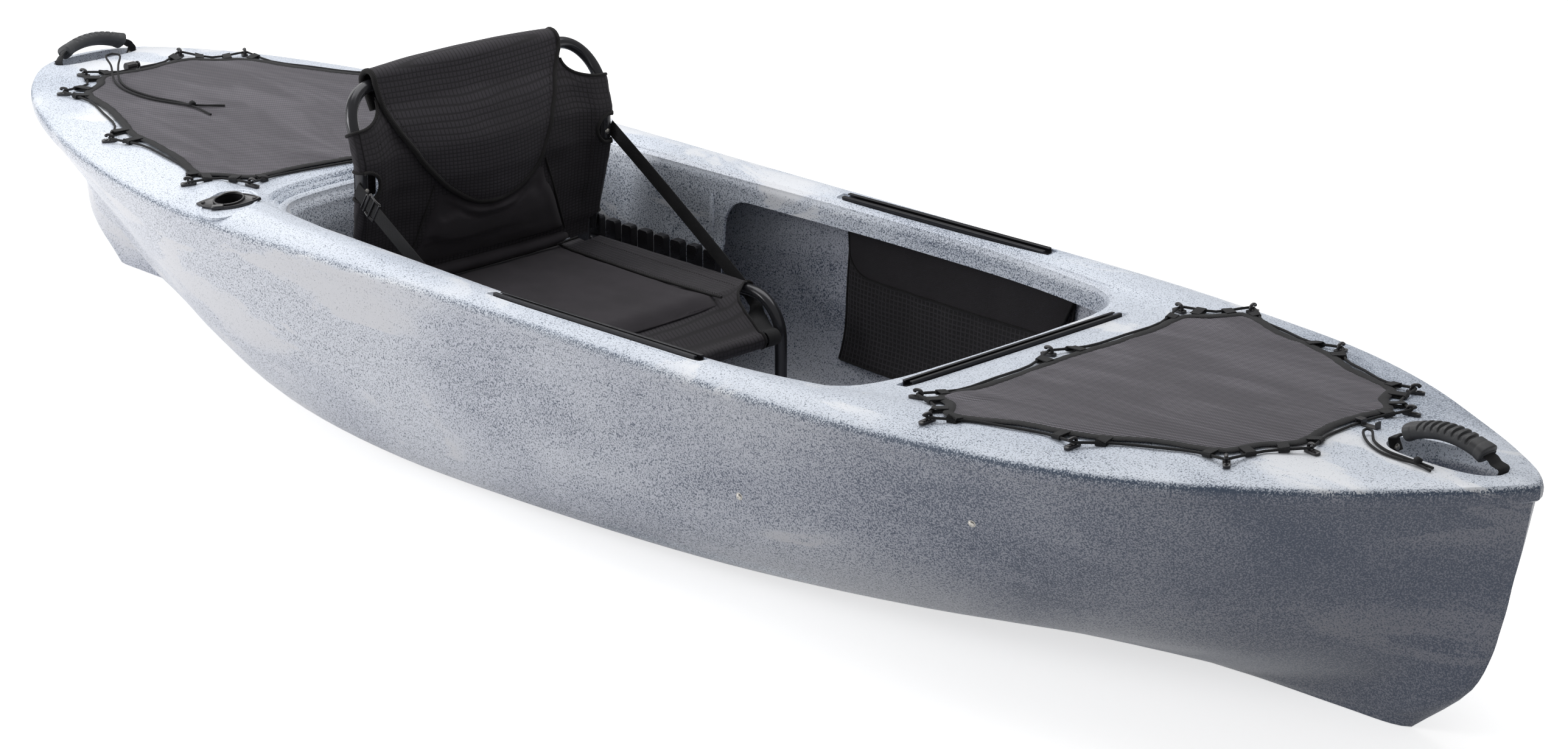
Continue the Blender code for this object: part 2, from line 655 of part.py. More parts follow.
class Deck:
    """Finds where things sit on finished pieces, above all on the hull."""

    def __init__(self, *pieces):
        shape = bmesh.new()
        for piece in pieces:
            shape.from_mesh(piece.data)
        self.tree = BVHTree.FromBMesh(shape)
        shape.free()

    def drop(self, x, y, start=1.0):
        """Point and normal of the first surface under a place."""
        place, normal, _, _ = self.tree.ray_cast(Vector((x, y, start)), Vector((0, 0, -1)))
        return place, normal

    def height(self, x, y, reach=0.0):
        """Highest surface under a place and the eight round it."""
        steps = (-reach, 0.0, reach) if reach else (0.0,)
        return max(self.drop(x + dx, y + dy)[0].z for dx in steps for dy in steps)

    def frame(self, x, y, turn=0.0, reach=0.02):
        """Matrix whose origin is on the deck, local Z along its normal, local X turned from +X."""
        across_deck = self.drop(x, y + reach)[0] - self.drop(x, y - reach)[0]
        along_deck = self.drop(x + reach, y)[0] - self.drop(x - reach, y)[0]
        normal = along_deck.cross(across_deck).normalized()
        ahead = Vector((math.cos(turn), math.sin(turn), 0))
        ahead = (ahead - normal * ahead.dot(normal)).normalized()
        side = normal.cross(ahead)
        matrix = Matrix((ahead, side, normal)).transposed().to_4x4()
        matrix.translation = self.drop(x, y)[0]
        return matrix

    def inner_side(self, x, z, side):
        """Inner face of the hull's own side at a place, seen from inside."""
        start = Vector((x, side * 0.22, z))
        step = Vector((0, side, 0))
        faces = []
        for _ in range(8):
            place, normal, _, _ = self.tree.ray_cast(start, step)
            if place is None:
                break
            faces.append((place, normal))
            start = place + step * 0.0005
        return faces[-2][0]


def ellipse(half_x, half_y, count, power=2.0):
    """Outline with half sizes; a higher power squares its ends."""
    outline = []
    for i in range(count):
        a = 2 * math.pi * i / count
        c, s = math.cos(a), math.sin(a)
        outline.append((
            half_x * math.copysign(abs(c) ** (2 / power), c),
            half_y * math.copysign(abs(s) ** (2 / power), s)))
    return outline


def scoop_reach(scoop, y, depth):
    """How far a scoop reaches along its length at an offset from its middle and at a depth."""
    waist = 0.7 + 0.3 * SCOOP_FLOOR
    scale = 1 - (1 - waist) * depth / (SCOOP_WAIST * SCOOP_DEPTH)
    half_x, half_y = scoop[0] * scale, scoop[1] * scale
    return half_x * (1 - (y / half_y) ** SCOOP_POWER) ** (1 / SCOOP_POWER)


def dish(matrix, half_x, half_y, depth, floor, power, count=20):
    """Outer body and cutter of a moulded hollow in the deck."""
    def rings(grow, top, bottom):
        upper = [(x, y, top) for x, y in ellipse(half_x + grow, half_y + grow, count, power)]
        waist = [(x, y, bottom * SCOOP_WAIST) for x, y in ellipse(
            half_x * (0.7 + 0.3 * floor) + grow, half_y * (0.7 + 0.3 * floor) + grow, count, power)]
        lower = [(x, y, bottom) for x, y in ellipse(half_x * floor + grow, half_y * floor + grow, count, power)]
        return [[matrix @ Vector(p) for p in ring] for ring in (upper, waist, lower)]
    wall = HULL_WALL * 0.8
    outer = loft("dish", rings(wall, -0.0022, -depth - wall))
    upper, waist, lower = rings(0.0, 0.0, -depth)
    above = [matrix @ Vector((x, y, 0.03)) for x, y in ellipse(half_x, half_y, count, power)]
    inner = loft("dish_cut", [above, upper, waist, lower])
    return outer, inner


def rod_holder_frame(deck, side):
    x, y = ROD_HOLDER_AT
    return deck.frame(x, beamed(y) * side, math.radians(ROD_HOLDER_TURN) * side)


def track_places():
    """Centre, turn and length of each accessory track."""
    middle = SIDE_TRACK_AFT + SIDE_TRACK_LENGTH / 2
    return {
        "track_port": (middle, beamed(SIDE_TRACK_Y), 0.0, SIDE_TRACK_LENGTH),
        "track_starboard": (middle, -beamed(SIDE_TRACK_Y), 0.0, SIDE_TRACK_LENGTH),
        "track_cross": (CROSS_TRACK_X, 0.0, math.pi / 2, CROSS_TRACK_LENGTH),
    }


def cover_corners(hooks, inset):
    """Corners of a deck cover on the port side, inside its hooks."""
    middle_x = sum(hook[0] for hook in hooks) / len(hooks)
    corners = []
    for x, y, _ in hooks:
        y = beamed(y)
        pull = Vector((middle_x - x, -y)).normalized()
        corners.append((x + pull.x * inset, y + pull.y * inset))
    return corners


def cover_outline(hooks, edge_hook, inset):
    """Corners by the hooks, and between them the edge drawn in a little."""
    port = cover_corners(hooks, inset)
    towards_hold = -1 if hooks is STERN_HOOKS else 1
    corners = port + [(x, -y) for x, y in reversed(port)] + [(edge_hook[0] + towards_hold * inset, 0.0)]
    if hooks is BOW_HOOKS:
        corners.reverse()
    outline = []
    for here, on in zip(corners, corners[1:] + corners[:1]):
        here, on = Vector(here), Vector(on)
        run = on - here
        outward = Vector((run.y, -run.x)).normalized()
        parts = max(2, round(run.length / 0.085))
        drawn_in = min(COVER_SCALLOP, run.length * 0.06)
        for step in range(parts):
            t = step / parts
            outline.append(here + run * t - outward * drawn_in * 4 * t * (1 - t))
    return outline


def wall_cutter():
    """Prism that cuts the cockpit wall away forward of the seat, leaving the lip."""
    corner = (WALL_CUT_FROM + WALL_CUT_CORNER, LIP_Z - WALL_CUT_CORNER)
    front = COCKPIT[0][0] + 0.02
    under = 0.05
    outline = [(WALL_CUT_FROM, WALL_FOOT_Z - 0.004)]
    outline += arc(corner, WALL_CUT_CORNER, 180, 90, 5)
    outline += [(front, LIP_Z), (front, FORE_FOOT_Z - under), (FORE_FOOT_FROM[1] + under, FORE_FOOT_Z - under)]
    outline.append((FORE_FOOT_FROM[1] - under, WALL_FOOT_Z + under))
    lying = Matrix.Rotation(math.radians(90), 4, "X")
    return plate("wall_cut", outline, 2 * beamed(WALL_CUT_HALF), lying)


def refine_hull(hull):
    """Scoops, pockets and openings of the deck."""
    deck = Deck(hull)
    dishes = [
        dish(deck.frame(BOW_HANDLE_X, 0.0), *BOW_SCOOP, SCOOP_DEPTH, SCOOP_FLOOR, SCOOP_POWER),
        dish(deck.frame(STERN_HANDLE_X, 0.0, math.pi / 2), *STERN_SCOOP, SCOOP_DEPTH, SCOOP_FLOOR, SCOOP_POWER),
    ]
    bores = []
    for side, _ in SIDES:
        frame = rod_holder_frame(deck, side)
        half = [size + ROD_HOLDER_LIP for size in ROD_HOLDER_FLANGE]
        dishes.append(dish(frame, *half, FLANGE_THICK, 0.97, 2.0))
        shift = Matrix.Translation((ROD_BORE_SHIFT[0], ROD_BORE_SHIFT[1] * side, 0))
        bores.append(rod("bore", ROD_BORE + ROD_TUBE_WALL + 0.006, 0.06, frame @ shift))
    for x, y, turn, length in track_places().values():
        frame = deck.frame(x, y, turn, 0.012)
        half = (length / 2 + 0.014, TRACK_WIDTH / 2 + 0.002)
        dishes.append(dish(frame, *half, TRACK_RECESS, 0.98, 12.0))
    boolean(hull, join([outer for outer, _ in dishes]), "UNION")
    boolean(hull, join([inner for _, inner in dishes]), "DIFFERENCE")
    boolean(hull, join(bores), "DIFFERENCE")
    holds = []
    for hooks, inset in ((BOW_HOOKS, BOW_COVER_INSET), (STERN_HOOKS, STERN_COVER_INSET)):
        corners = cover_corners(hooks, inset + HOLD_INSET)
        corners = [corners[0], corners[2], corners[3]]
        outline = corners + [(x, -y) for x, y in reversed(corners)]
        if hooks is BOW_HOOKS:
            outline = outline[::-1]
        above = Matrix.Translation((0, 0, HULL_HEIGHT))
        holds.append(plate("hold", rounded(outline, HOLD_CORNER), 0.14, above))
    boolean(hull, join(holds + [wall_cutter()]), "DIFFERENCE")
    return hull


# Deck fittings

def hook_shape():
    """Open hook on its screwed pad; the cord lies on the outer side of its post."""
    half, nose = HOOK_PAD_WIDTH / 2, HOOK_PAD_WIDTH / 4
    outline = [(-0.006, -half), (HOOK_PAD_LENGTH - nose, -half), (HOOK_PAD_LENGTH, -nose)]
    outline += [(x, -y) for x, y in reversed(outline)]
    pad = plate("hook", outline, HOOK_PAD_THICK, Matrix.Translation((0, 0, HOOK_PAD_THICK / 2)))
    wire = HOOK_WIRE * 2
    top = HOOK_PAD_THICK + SHOCK_CORD + wire
    bend = [(0, 0, 0.001), (0, 0, top - 0.005), (0.0015, 0, top - 0.0018), (0.005, 0, top),
            (0.0095, 0, top - 0.0006), (0.0115, 0, top - 0.0032)]
    post = tube("post", bend, wire, 1)
    return boolean(pad, post, "UNION")


def hook_places(hooks, edge_hook):
    """Place and turn of each hook of a cover: the one on the middle line, then pairs port and starboard."""
    places = [(edge_hook[0], 0.0, edge_hook[1])]
    for x, y, turn in hooks:
        places += [(x, beamed(y), turn), (x, -beamed(y), -turn)]
    return places


def make_hooks(deck, surface):
    master = hook_shape()
    frames = {}
    for end, places in (("bow", hook_places(BOW_HOOKS, BOW_EDGE_HOOK)),
                        ("stern", hook_places(STERN_HOOKS, STERN_EDGE_HOOK))):
        frames[end] = []
        for number, (x, y, turn) in enumerate(places, 1):
            frame = deck.frame(x, y, math.radians(turn), 0.008)
            frame.translation += frame.to_3x3() @ Vector((0, 0, 2 * GAP))
            hook = new_object(f"{end}_hook_{number}", master.data)
            hook.matrix_world = frame
            finish(hook, surface)
            frames[end].append(frame)
    bpy.data.objects.remove(master)
    return frames


def clear_of_deck(ring, deck, clearance):
    """Lift a ring's points until the lines between them clear the deck."""
    for _ in range(3):
        for i, here in enumerate(ring):
            there = ring[(i + 1) % len(ring)]
            for share in (0.0, 0.33, 0.67):
                place = here.lerp(there, share)
                short = deck.height(place.x, place.y, 0.003) + clearance - place.z
                if short > 0:
                    here.z += short
                    there.z += short * (share > 0)
    return ring


def make_cover(name, deck, outline, surface):
    """Mesh cover stretched over a hold, its bound edge lying on the deck."""
    centre = sum(outline, Vector((0, 0))) / len(outline)
    edge = [Vector((p.x, p.y, deck.height(p.x, p.y, 0.003) + 2 * GAP)) for p in outline]
    edge = clear_of_deck(edge, deck, 2 * GAP)
    middle = sum(p.z for p in edge) / len(edge)
    rings = [edge]
    for share in (0.87, 0.72, 0.38):
        ring = []
        for p in edge:
            x, y = centre.lerp(p.xy, share)
            level = middle + (p.z - middle) * share - COVER_SAG * (1 - share ** 2) + 0.003 * (1 - share)
            ring.append(Vector((x, y, level)))
        rings.append(clear_of_deck(ring, deck, 0.0025) if share > 0.6 else ring)
    shape = bmesh.new()
    rows = [[shape.verts.new(p) for p in ring] for ring in rings]
    for outer, inner in zip(rows, rows[1:]):
        for i in range(len(outer)):
            j = (i + 1) % len(outer)
            shape.faces.new((outer[i], outer[j], inner[j], inner[i]))
    hub = shape.verts.new((centre.x, centre.y, middle - COVER_SAG + 0.003))
    for i in range(len(edge)):
        shape.faces.new((rows[-1][i], rows[-1][(i + 1) % len(edge)], hub))
    cover = from_bmesh(name, shape)
    if cover.data.polygons[0].normal.z < 0:
        cover.data.flip_normals()
    cloth = cover.modifiers.new("cloth", "SOLIDIFY")
    cloth.thickness = COVER_THICK
    cloth.offset = 1
    apply_all(cover)
    return finish(cover, surface)


def round_hook(frame, back, on):
    """Three places of the cord where it bends round the outside of a hook's post."""
    inverse = frame.inverted()
    towards = [(inverse @ place).to_2d().normalized() for place in (back, on)]
    outward = -(towards[0] + towards[1]).normalized()
    half_turn = (math.pi - towards[0].angle(towards[1])) / 2
    if outward.angle_signed(towards[0]) < 0:
        half_turn = -half_turn
    clear = (HOOK_WIRE + SHOCK_CORD / 2 + GAP) / math.cos(half_turn / 2) + 0.0010
    places = []
    for share in (-1, 0, 1):
        way = Matrix.Rotation(half_turn * share, 2) @ outward * clear
        places.append(frame @ Vector((way.x, way.y, HOOK_PAD_THICK + SHOCK_CORD / 2 + 0.0012)))
    return places


def cord_inset(cover_inset):
    """How far inside the line of the hooks the cord runs, beside the cover's edge."""
    return cover_inset - SHOCK_CORD - 0.004


def cord_route(deck, frames, end_share, inset):
    """Places of the shock cord: round the outside of each hook, and along the cover's edge between."""
    order = [9, 7, 5, 3, 1, 0, 2, 4, 6, 8, 10]
    ring = [frames[i] for i in order]
    middle = sum((frame.translation for frame in ring), Vector()) / len(ring)

    def edge_place(start, end, share, inset):
        run = end.translation - start.translation
        run.z = 0
        inward = Vector((-run.y, run.x, 0)).normalized()
        if inward.dot(middle - start.translation) < 0:
            inward = -inward
        flat = start.translation + run * share + inward * inset
        return Vector((flat.x, flat.y, deck.height(flat.x, flat.y, 0.003) + SHOCK_CORD / 2 + 2 * GAP))

    legs = []
    for frame, following in zip(ring, ring[1:]):
        if (following.translation - frame.translation).length > 0.12:
            leg = [edge_place(frame, following, share, inset * amount)
                   for share, amount in ((0.22, 0.9), (0.5, 1.0), (0.78, 0.9))]
        else:
            leg = [edge_place(frame, following, 0.5, inset * 0.8)]
        legs.append(leg)
    first, last = ring[0], ring[-1]
    legs.insert(0, [edge_place(first, last, end_share[0], inset), edge_place(first, last, 0.25, inset * 0.9)])
    legs.append([edge_place(last, first, 0.25, inset * 0.9), edge_place(last, first, end_share[1], inset)])
    route = list(legs[0])
    for frame, before, after in zip(ring, legs, legs[1:]):
        route += round_hook(frame, before[-1], after[0]) + after
    return route


def make_cord(name, deck, frames, end_share, inset, surface):
    points = cord_route(deck, frames, end_share, inset)
    floor = [deck.height(x, y, 0.002) + SHOCK_CORD / 2 + GAP for x, y, _ in points]
    places = [(x, y, max(z, low)) for (x, y, z), low in zip(points, floor)]
    return finish(tube(name, places, SHOCK_CORD - 0.0002, 1), surface)


def make_track(name, deck, x, y, turn, length, surface):
    """Channel that takes the heads of accessory bolts."""
    half, wall, lip = TRACK_WIDTH / 2, TRACK_WALL, TRACK_MOUTH / 2
    slot = TRACK_SLOT / 2 + 0.002
    top = TRACK_HEIGHT
    outline = [
        (-half, 0), (half, 0), (half, top), (lip, top), (lip, top - wall), (slot, top - wall),
        (slot, wall), (-slot, wall), (-slot, top - wall), (-lip, top - wall), (-lip, top), (-half, top)]
    frame = deck.frame(x, y, turn, 0.006)
    stand = Matrix(((0, 0, 1, 0), (1, 0, 0, 0), (0, 1, 0, 2 * GAP), (0, 0, 0, 1)))
    return finish(plate(name, outline, length, frame @ stand), surface, False)


def make_rod_holder(name, frame, side, surface):
    lens = [(a * abs(math.cos(math.atan2(b, a))) ** 0.15, b) for a, b in ellipse(*ROD_HOLDER_FLANGE, 20)]
    lift = Matrix.Translation((0, 0, -FLANGE_THICK / 2 + GAP))
    holder = plate(name, lens, FLANGE_THICK, frame @ lift)
    lean = Vector((ROD_TUBE_LEAN[0], ROD_TUBE_LEAN[1] * side, -1)).normalized()
    turn = lean.to_track_quat("-Z", "Y").to_matrix().to_4x4()
    top = frame @ Vector((ROD_BORE_SHIFT[0], ROD_BORE_SHIFT[1] * side, -0.002))
    outer = Matrix.Translation(top + lean * (ROD_TUBE_LENGTH / 2)) @ turn
    holder = boolean(holder, rod("tube", ROD_BORE + ROD_TUBE_WALL, ROD_TUBE_LENGTH, outer, 16), "UNION")
    above = Matrix.Translation(top + lean * (ROD_TUBE_LENGTH / 2 - 0.015)) @ turn
    boolean(holder, rod("bore", ROD_BORE, ROD_TUBE_LENGTH + 0.018, above, 16), "DIFFERENCE")
    notch = frame @ Matrix.Translation((ROD_HOLDER_FLANGE[0] * 0.62, side * ROD_HOLDER_FLANGE[1] * 0.7, 0.0))
    boolean(holder, box("notch", (0.012, 0.016, 0.008), (0, 0, 0), 0, notch), "DIFFERENCE")
    return finish(holder, surface)


def grip_line(steps, half):
    """Arc of a carry handle's grip: distance along it and height over the deck."""
    places = []
    for i in range(steps + 1):
        s = -half + 2 * half * i / steps
        places.append((s, GRIP_END_LIFT + GRIP_RISE * (1 - (s / half) ** 2)))
    return places


def make_handle(end, frame, scoop, lean, grip_surface, strap_surface):
    """Moulded grip with finger notches on a folded webbing strap."""
    pivot = pivot_at(f"{end}_handle_pivot", frame @ Matrix.Translation((0, 0, HANDLE_PIVOT_LIFT)))
    tipped = pivot.matrix_world @ Matrix.Rotation(math.radians(lean), 4, "X")
    tipped = tipped @ Matrix.Translation((0, 0, -HANDLE_PIVOT_LIFT))
    rings = []
    bore = []
    line = grip_line(8, GRIP_HALF_LENGTH)
    for i, (s, h) in enumerate(line):
        ends = 1 if i == len(line) - 1 else -1 if i == 0 else 0
        swell = 1.0 + 0.12 * abs(ends)
        slope = -2 * GRIP_RISE * s / GRIP_HALF_LENGTH ** 2
        up = Vector((-slope, 0, 1)).normalized()
        outline = ellipse(GRIP_WIDTH / 2 * swell, GRIP_HEIGHT / 2 * swell, 12, 2.6)
        rings.append([tipped @ (Vector((s, y, h)) + up * z) for y, z in outline])
        reach = 0.004 * ends
        turn = tipped.to_3x3()
        bore.append((
            tipped @ Vector((s + reach, 0, h + reach * slope)),
            turn @ Vector((0, WEBBING[0] / 2 + 0.0006, 0)),
            turn @ up * (WEBBING[1] / 2 + 0.0005)))
    grip = loft(f"{end}_grip", rings)
    boolean(grip, sweep("bore", bore), "DIFFERENCE")
    notches = []
    for i in range(GRIP_NOTCHES):
        s = (i - (GRIP_NOTCHES - 1) / 2) * GRIP_HALF_LENGTH * 1.36 / GRIP_NOTCHES
        h = GRIP_END_LIFT + GRIP_RISE * (1 - (s / GRIP_HALF_LENGTH) ** 2) + GRIP_HEIGHT / 2 + 0.0012
        lie = tipped @ Matrix.Translation((s, 0, h)) @ Matrix.Rotation(math.radians(90), 4, "X")
        notches.append(rod("notch", 0.0027, GRIP_WIDTH * 1.3, lie, 6))
    boolean(grip, join(notches), "DIFFERENCE")
    carry(finish(grip, grip_surface), pivot)
    slope = 2 * GRIP_RISE / GRIP_HALF_LENGTH
    reach = GRIP_HALF_LENGTH + 0.008
    lead = [(reach, GRIP_END_LIFT - 0.008 * slope)]
    fold = []
    for h in (HANDLE_PIVOT_LIFT, -0.003, -0.014):
        wall = scoop_reach(scoop, WEBBING[0] / 2, max(0.0, -h))
        fold.append((wall - WEBBING[1] / 2 - GAP - 0.0012, h))
    points = []
    for hand in (-1, 1):
        leg = [frame @ Vector((hand * s, 0, h)) for s, h in reversed(fold)]
        leg += [tipped @ Vector((hand * s, 0, h)) for s, h in reversed(lead)]
        if hand < 0:
            points = leg + [tipped @ Vector((s, 0, h)) for s, h in line]
        else:
            points += reversed(leg)
    upright = frame.to_3x3() @ Vector((0, 1, 0))
    tipped_side = tipped.to_3x3() @ Vector((0, 1, 0))
    folds = [upright] * len(fold)
    sides = folds + [tipped_side] * (len(points) - 2 * len(fold)) + folds
    finish(ribbon(f"{end}_handle_strap", points, sides, WEBBING), strap_surface)


# Seat

def rail_route(side, floor):
    y = SEAT_HALF_WIDTH * side
    bend = (SEAT_LEG_X - SEAT_BEND, SEAT_RAIL_Z - SEAT_BEND)
    curve = arc(bend, SEAT_BEND, 90, 0, 7)
    places = [(SEAT_RAIL_AFT, y, SEAT_RAIL_Z)]
    places += [(x, y, z) for x, z in curve]
    places.append((SEAT_LEG_X, y, floor))
    return places


def make_seat_frame(deck, pivot, surface):
    radius = SEAT_TUBE / 2
    for side, word in SIDES:
        floor = deck.height(SEAT_LEG_X, SEAT_HALF_WIDTH * side, radius) + GAP
        rail = tube(f"seat_rail_{word}", rail_route(side, floor), SEAT_TUBE, 3)
        carry(finish(rail, surface), pivot)
    reach = SEAT_HALF_WIDTH - radius - GAP
    front = [(SEAT_LEG_X, reach, FRONT_TUBE_Z), (SEAT_LEG_X, -reach, FRONT_TUBE_Z)]
    carry(finish(tube("seat_front_tube", front, SEAT_TUBE, 3), surface), pivot)
    half = cockpit_wall_y(deck) - REAR_ROD_END_PLAY
    rear = [(REAR_ROD_X, half, rear_rod_z()), (REAR_ROD_X, -half, rear_rod_z())]
    carry(finish(tube("seat_rear_rod", rear, REAR_ROD, 2), surface), pivot)


def rear_rod_z():
    return SEAT_RAIL_Z - SEAT_TUBE / 2 - REAR_ROD / 2 - GAP


def make_sling(pivot, surface):
    """Fabric hung between the rails and rolled over the front tube, with its front corners cut away."""
    radius = round_tube(SEAT_TUBE)
    edge = []
    for turn in (-15, 25, 65, 100):
        a = math.radians(turn)
        edge.append((SEAT_HALF_WIDTH + radius * math.cos(a), SEAT_RAIL_Z + radius * math.sin(a)))
    top = SEAT_RAIL_Z + radius
    sag = [(SLING_FRONT_HALF, 0.35), (SLING_FRONT_HALF * 0.78, 0.68), (SLING_FRONT_HALF * 0.39, 0.93), (0.0, 1.0)]
    half = edge + [(y, top - SLING_SAG * share) for y, share in sag]
    columns = half + [(-y, z) for y, z in reversed(half[:-1])]
    inside = [abs(y) <= SLING_FRONT_HALF + 1e-6 for y, _ in columns]
    rows = [[(x, y, z) for y, z in columns] for x in (SLING_AFT, -0.36, -0.25, -0.17, SLING_CORNER_X)]
    front_top = FRONT_TUBE_Z + radius
    for x, share in ((-0.080, 0.35), (SEAT_LEG_X - 0.020, 0.75)):
        level = [z * (1 - share) + (front_top + 0.008) * share for _, z in columns]
        rows.append([(x, y, z) if kept else None for (y, _), z, kept in zip(columns, level, inside)])
    for turn in (110, 68, 26, -16, -58, -100):
        a = math.radians(turn)
        x, z = SEAT_LEG_X + radius * math.cos(a), FRONT_TUBE_Z + radius * math.sin(a)
        rows.append([(x, y, z) if kept else None for (y, _), kept in zip(columns, inside)])
    sling = cloth_piece("seat_sling", rows, SLING_THICK, Vector((0, 0, 1)))
    return carry(finish(sling, surface), pivot)


def back_axis():
    """Centre line of a back tube seen from the side, foot to top, with its forward normals."""
    line = BACK_LEAN + [BACK_TOP]
    places = [Vector(p) for p in line]
    normals = []
    for i, place in enumerate(places):
        ahead = places[min(i + 1, len(places) - 1)]
        behind = places[max(i - 1, 0)]
        run = (ahead - behind).normalized()
        normals.append(Vector((run.y, -run.x)))
    return places, normals


def back_half_width(z):
    """Half width of the back's frame: at the hinges that of the seat, higher up a little more."""
    return float(np.interp(z, [BACK_LEAN[1][1], BACK_LEAN[3][1]], [SEAT_HALF_WIDTH, BACK_HALF_WIDTH]))


def make_back_tube(pivot, surface):
    half = [(x, back_half_width(z), z) for x, z in BACK_LEAN]
    low, top = Vector(BACK_LEAN[-1]), Vector(BACK_TOP)
    for across_corner, up in arc((0, 0), 1.0, 0, 90, 6)[1:]:
        place = low.lerp(top, up)
        half.append((place.x, BACK_HALF_WIDTH - BACK_CORNER * (1 - across_corner), place.y))
    route = half + [mirrored(p) for p in reversed(half)]
    back = tube("back_tube", route, SEAT_TUBE, 3)
    x, z = BACK_PIVOT
    pins = []
    for side in (1, -1):
        lie = Matrix.Translation((x, SEAT_HALF_WIDTH * side, z)) @ Matrix.Rotation(math.radians(90), 4, "X")
        pins.append(rod("hole", HINGE_PIN / 2 + GAP, SEAT_TUBE * 2, lie, 10))
    boolean(back, join(pins), "DIFFERENCE")
    return carry(finish(back, surface), pivot)


def make_bracket(word, side, pivot, surface):
    """Folded plate under the rail whose cheeks carry the seat back's hinge pin."""
    x, z = BACK_PIVOT
    radius = SEAT_TUBE / 2
    inside = radius + 0.0006
    foot = SEAT_RAIL_Z - radius - 0.0005
    y = SEAT_HALF_WIDTH * side
    base = box("base", (BRACKET_LENGTH - 0.001, 2 * inside + BRACKET_SHEET, BRACKET_SHEET - 0.0002),
               (x - 0.008, y, foot - BRACKET_SHEET / 2 + 0.0001))
    low = foot - BRACKET_SHEET
    cheek = [(x - 0.008 - BRACKET_LENGTH / 2, low), (x - 0.008 + BRACKET_LENGTH / 2, low)]
    cheek += arc((x, z), 0.011, 0, 180, 6)
    lie = Matrix.Rotation(math.radians(90), 4, "X")
    for hand in (1, -1):
        at = Matrix.Translation((0, y + hand * (inside + BRACKET_SHEET / 2), 0)) @ lie
        base = boolean(base, plate("cheek", cheek, BRACKET_SHEET, at), "UNION")
    pin = Matrix.Translation((x, y, z)) @ lie
    length = 2 * (inside + BRACKET_SHEET) + 0.003
    bracket = boolean(base, rod("pin", HINGE_PIN / 2, length, pin, 10), "UNION")
    bracket.name = f"hinge_bracket_{word}"
    return carry(finish(bracket, surface, False), pivot)


def round_tube(diameter):
    """Radius at which cloth folded in steps of up to 45 degrees just clears a tube."""
    return (diameter / 2 + GAP) / math.cos(math.radians(22.5))


def cloth_piece(name, rows, thickness, facing):
    """Sheet over rows of points, None where it is cut away, thickened towards the facing side."""
    shape = bmesh.new()
    grid = [[shape.verts.new(p) if p is not None else None for p in row] for row in rows]
    for lower, upper in zip(grid, grid[1:]):
        for i in range(len(lower) - 1):
            corners = (lower[i], lower[i + 1], upper[i + 1], upper[i])
            if None not in corners:
                shape.faces.new(corners)
    bmesh.ops.recalc_face_normals(shape, faces=shape.faces)
    farthest = max(shape.faces, key=lambda face: face.calc_center_median().dot(facing))
    if farthest.normal.dot(facing) < 0:
        bmesh.ops.reverse_faces(shape, faces=shape.faces)
    loose = [vert for vert in shape.verts if not vert.link_faces]
    bmesh.ops.delete(shape, geom=loose, context="VERTS")
    mesh = bpy.data.meshes.new(name)
    shape.to_mesh(mesh)
    shape.free()
    piece = new_object(name, mesh)
    cloth = piece.modifiers.new("cloth", "SOLIDIFY")
    cloth.thickness = thickness
    cloth.offset = 1
    return apply_all(piece)


def make_back_fabric(pivot, surface):
    """Stretched back: sleeves round the tubes, and a padded middle that folds over the top tube."""
    places, normals = back_axis()
    radius = round_tube(SEAT_TUBE)
    foot, head = BACK_LEAN[0][1], BACK_LEAN[-1][1]
    shares = [(0.002, 0.45), (0.06, 0.65), (0.12, 0.75), (0.18, 0.9), (0.295, 1.0), (0.41, 1.0), (0.555, 0.9), (0.827, 0.35), (0.914, 0.15),
              (0.996, 0.0)]
    heights = sorted([(foot + (head - foot) * share, pad) for share, pad in shares] + [(NOTCH_Z, 0.7)])

    def axis_at(z):
        zs = [p.y for p in places]
        i = max(k for k in range(len(zs) - 1) if zs[k] <= z + 1e-9)
        t = (z - zs[i]) / (zs[i + 1] - zs[i])
        return places[i].lerp(places[i + 1], t), normals[i].lerp(normals[i + 1], t).normalized()

    sleeve = [(radius * math.sin(math.radians(a)), radius * math.cos(math.radians(a))) for a in (135, 90, 45, 0)]
    flat = [(BACK_TONGUE_HALF * share, radius) for share in (1.0, 0.68, 0.35)]

    def columns_at(z):
        half = [(back_half_width(z) + y, stand) for y, stand in sleeve] + flat
        return half + [(0.0, radius)] + [(-y, stand) for y, stand in reversed(half)]

    rows = []
    for z, pad in heights:
        axis, normal = axis_at(z)
        row = []
        for y, stand in columns_at(z):
            crown = BACK_PAD * pad * max(0.0, 1 - (y / BACK_TONGUE_HALF) ** 2)
            place = axis + normal * (stand + crown)
            notched = z == NOTCH_Z and abs(y) > back_half_width(z) + 0.001
            by_hinge = z < heights[2][0] and abs(y) > BACK_TONGUE_HALF + 1e-6
            row.append(None if notched or by_hinge else (place.x, y, place.y))
        rows.append(row)
    top = Vector(BACK_TOP)
    run = (top - Vector(BACK_LEAN[-1])).normalized()
    front = Vector((run.y, -run.x))
    over = [(top - run * 0.028, front)]
    for turn in (0, 45, 90, 135, 180):
        a = math.radians(turn)
        over.append((top, front * math.cos(a) + run * math.sin(a)))
    over.append((top - run * BACK_FOLD, -front))
    for centre, normal in over:
        place = centre + normal * radius
        rows.append([
            (place.x, y, place.y) if abs(y) <= BACK_TONGUE_HALF + 1e-6 else None
            for y, _ in columns_at(place.y)])
    back = cloth_piece("back_fabric", rows, BACK_SHEET, Vector((1, 0, 0)))
    return carry(finish(back, surface), pivot)


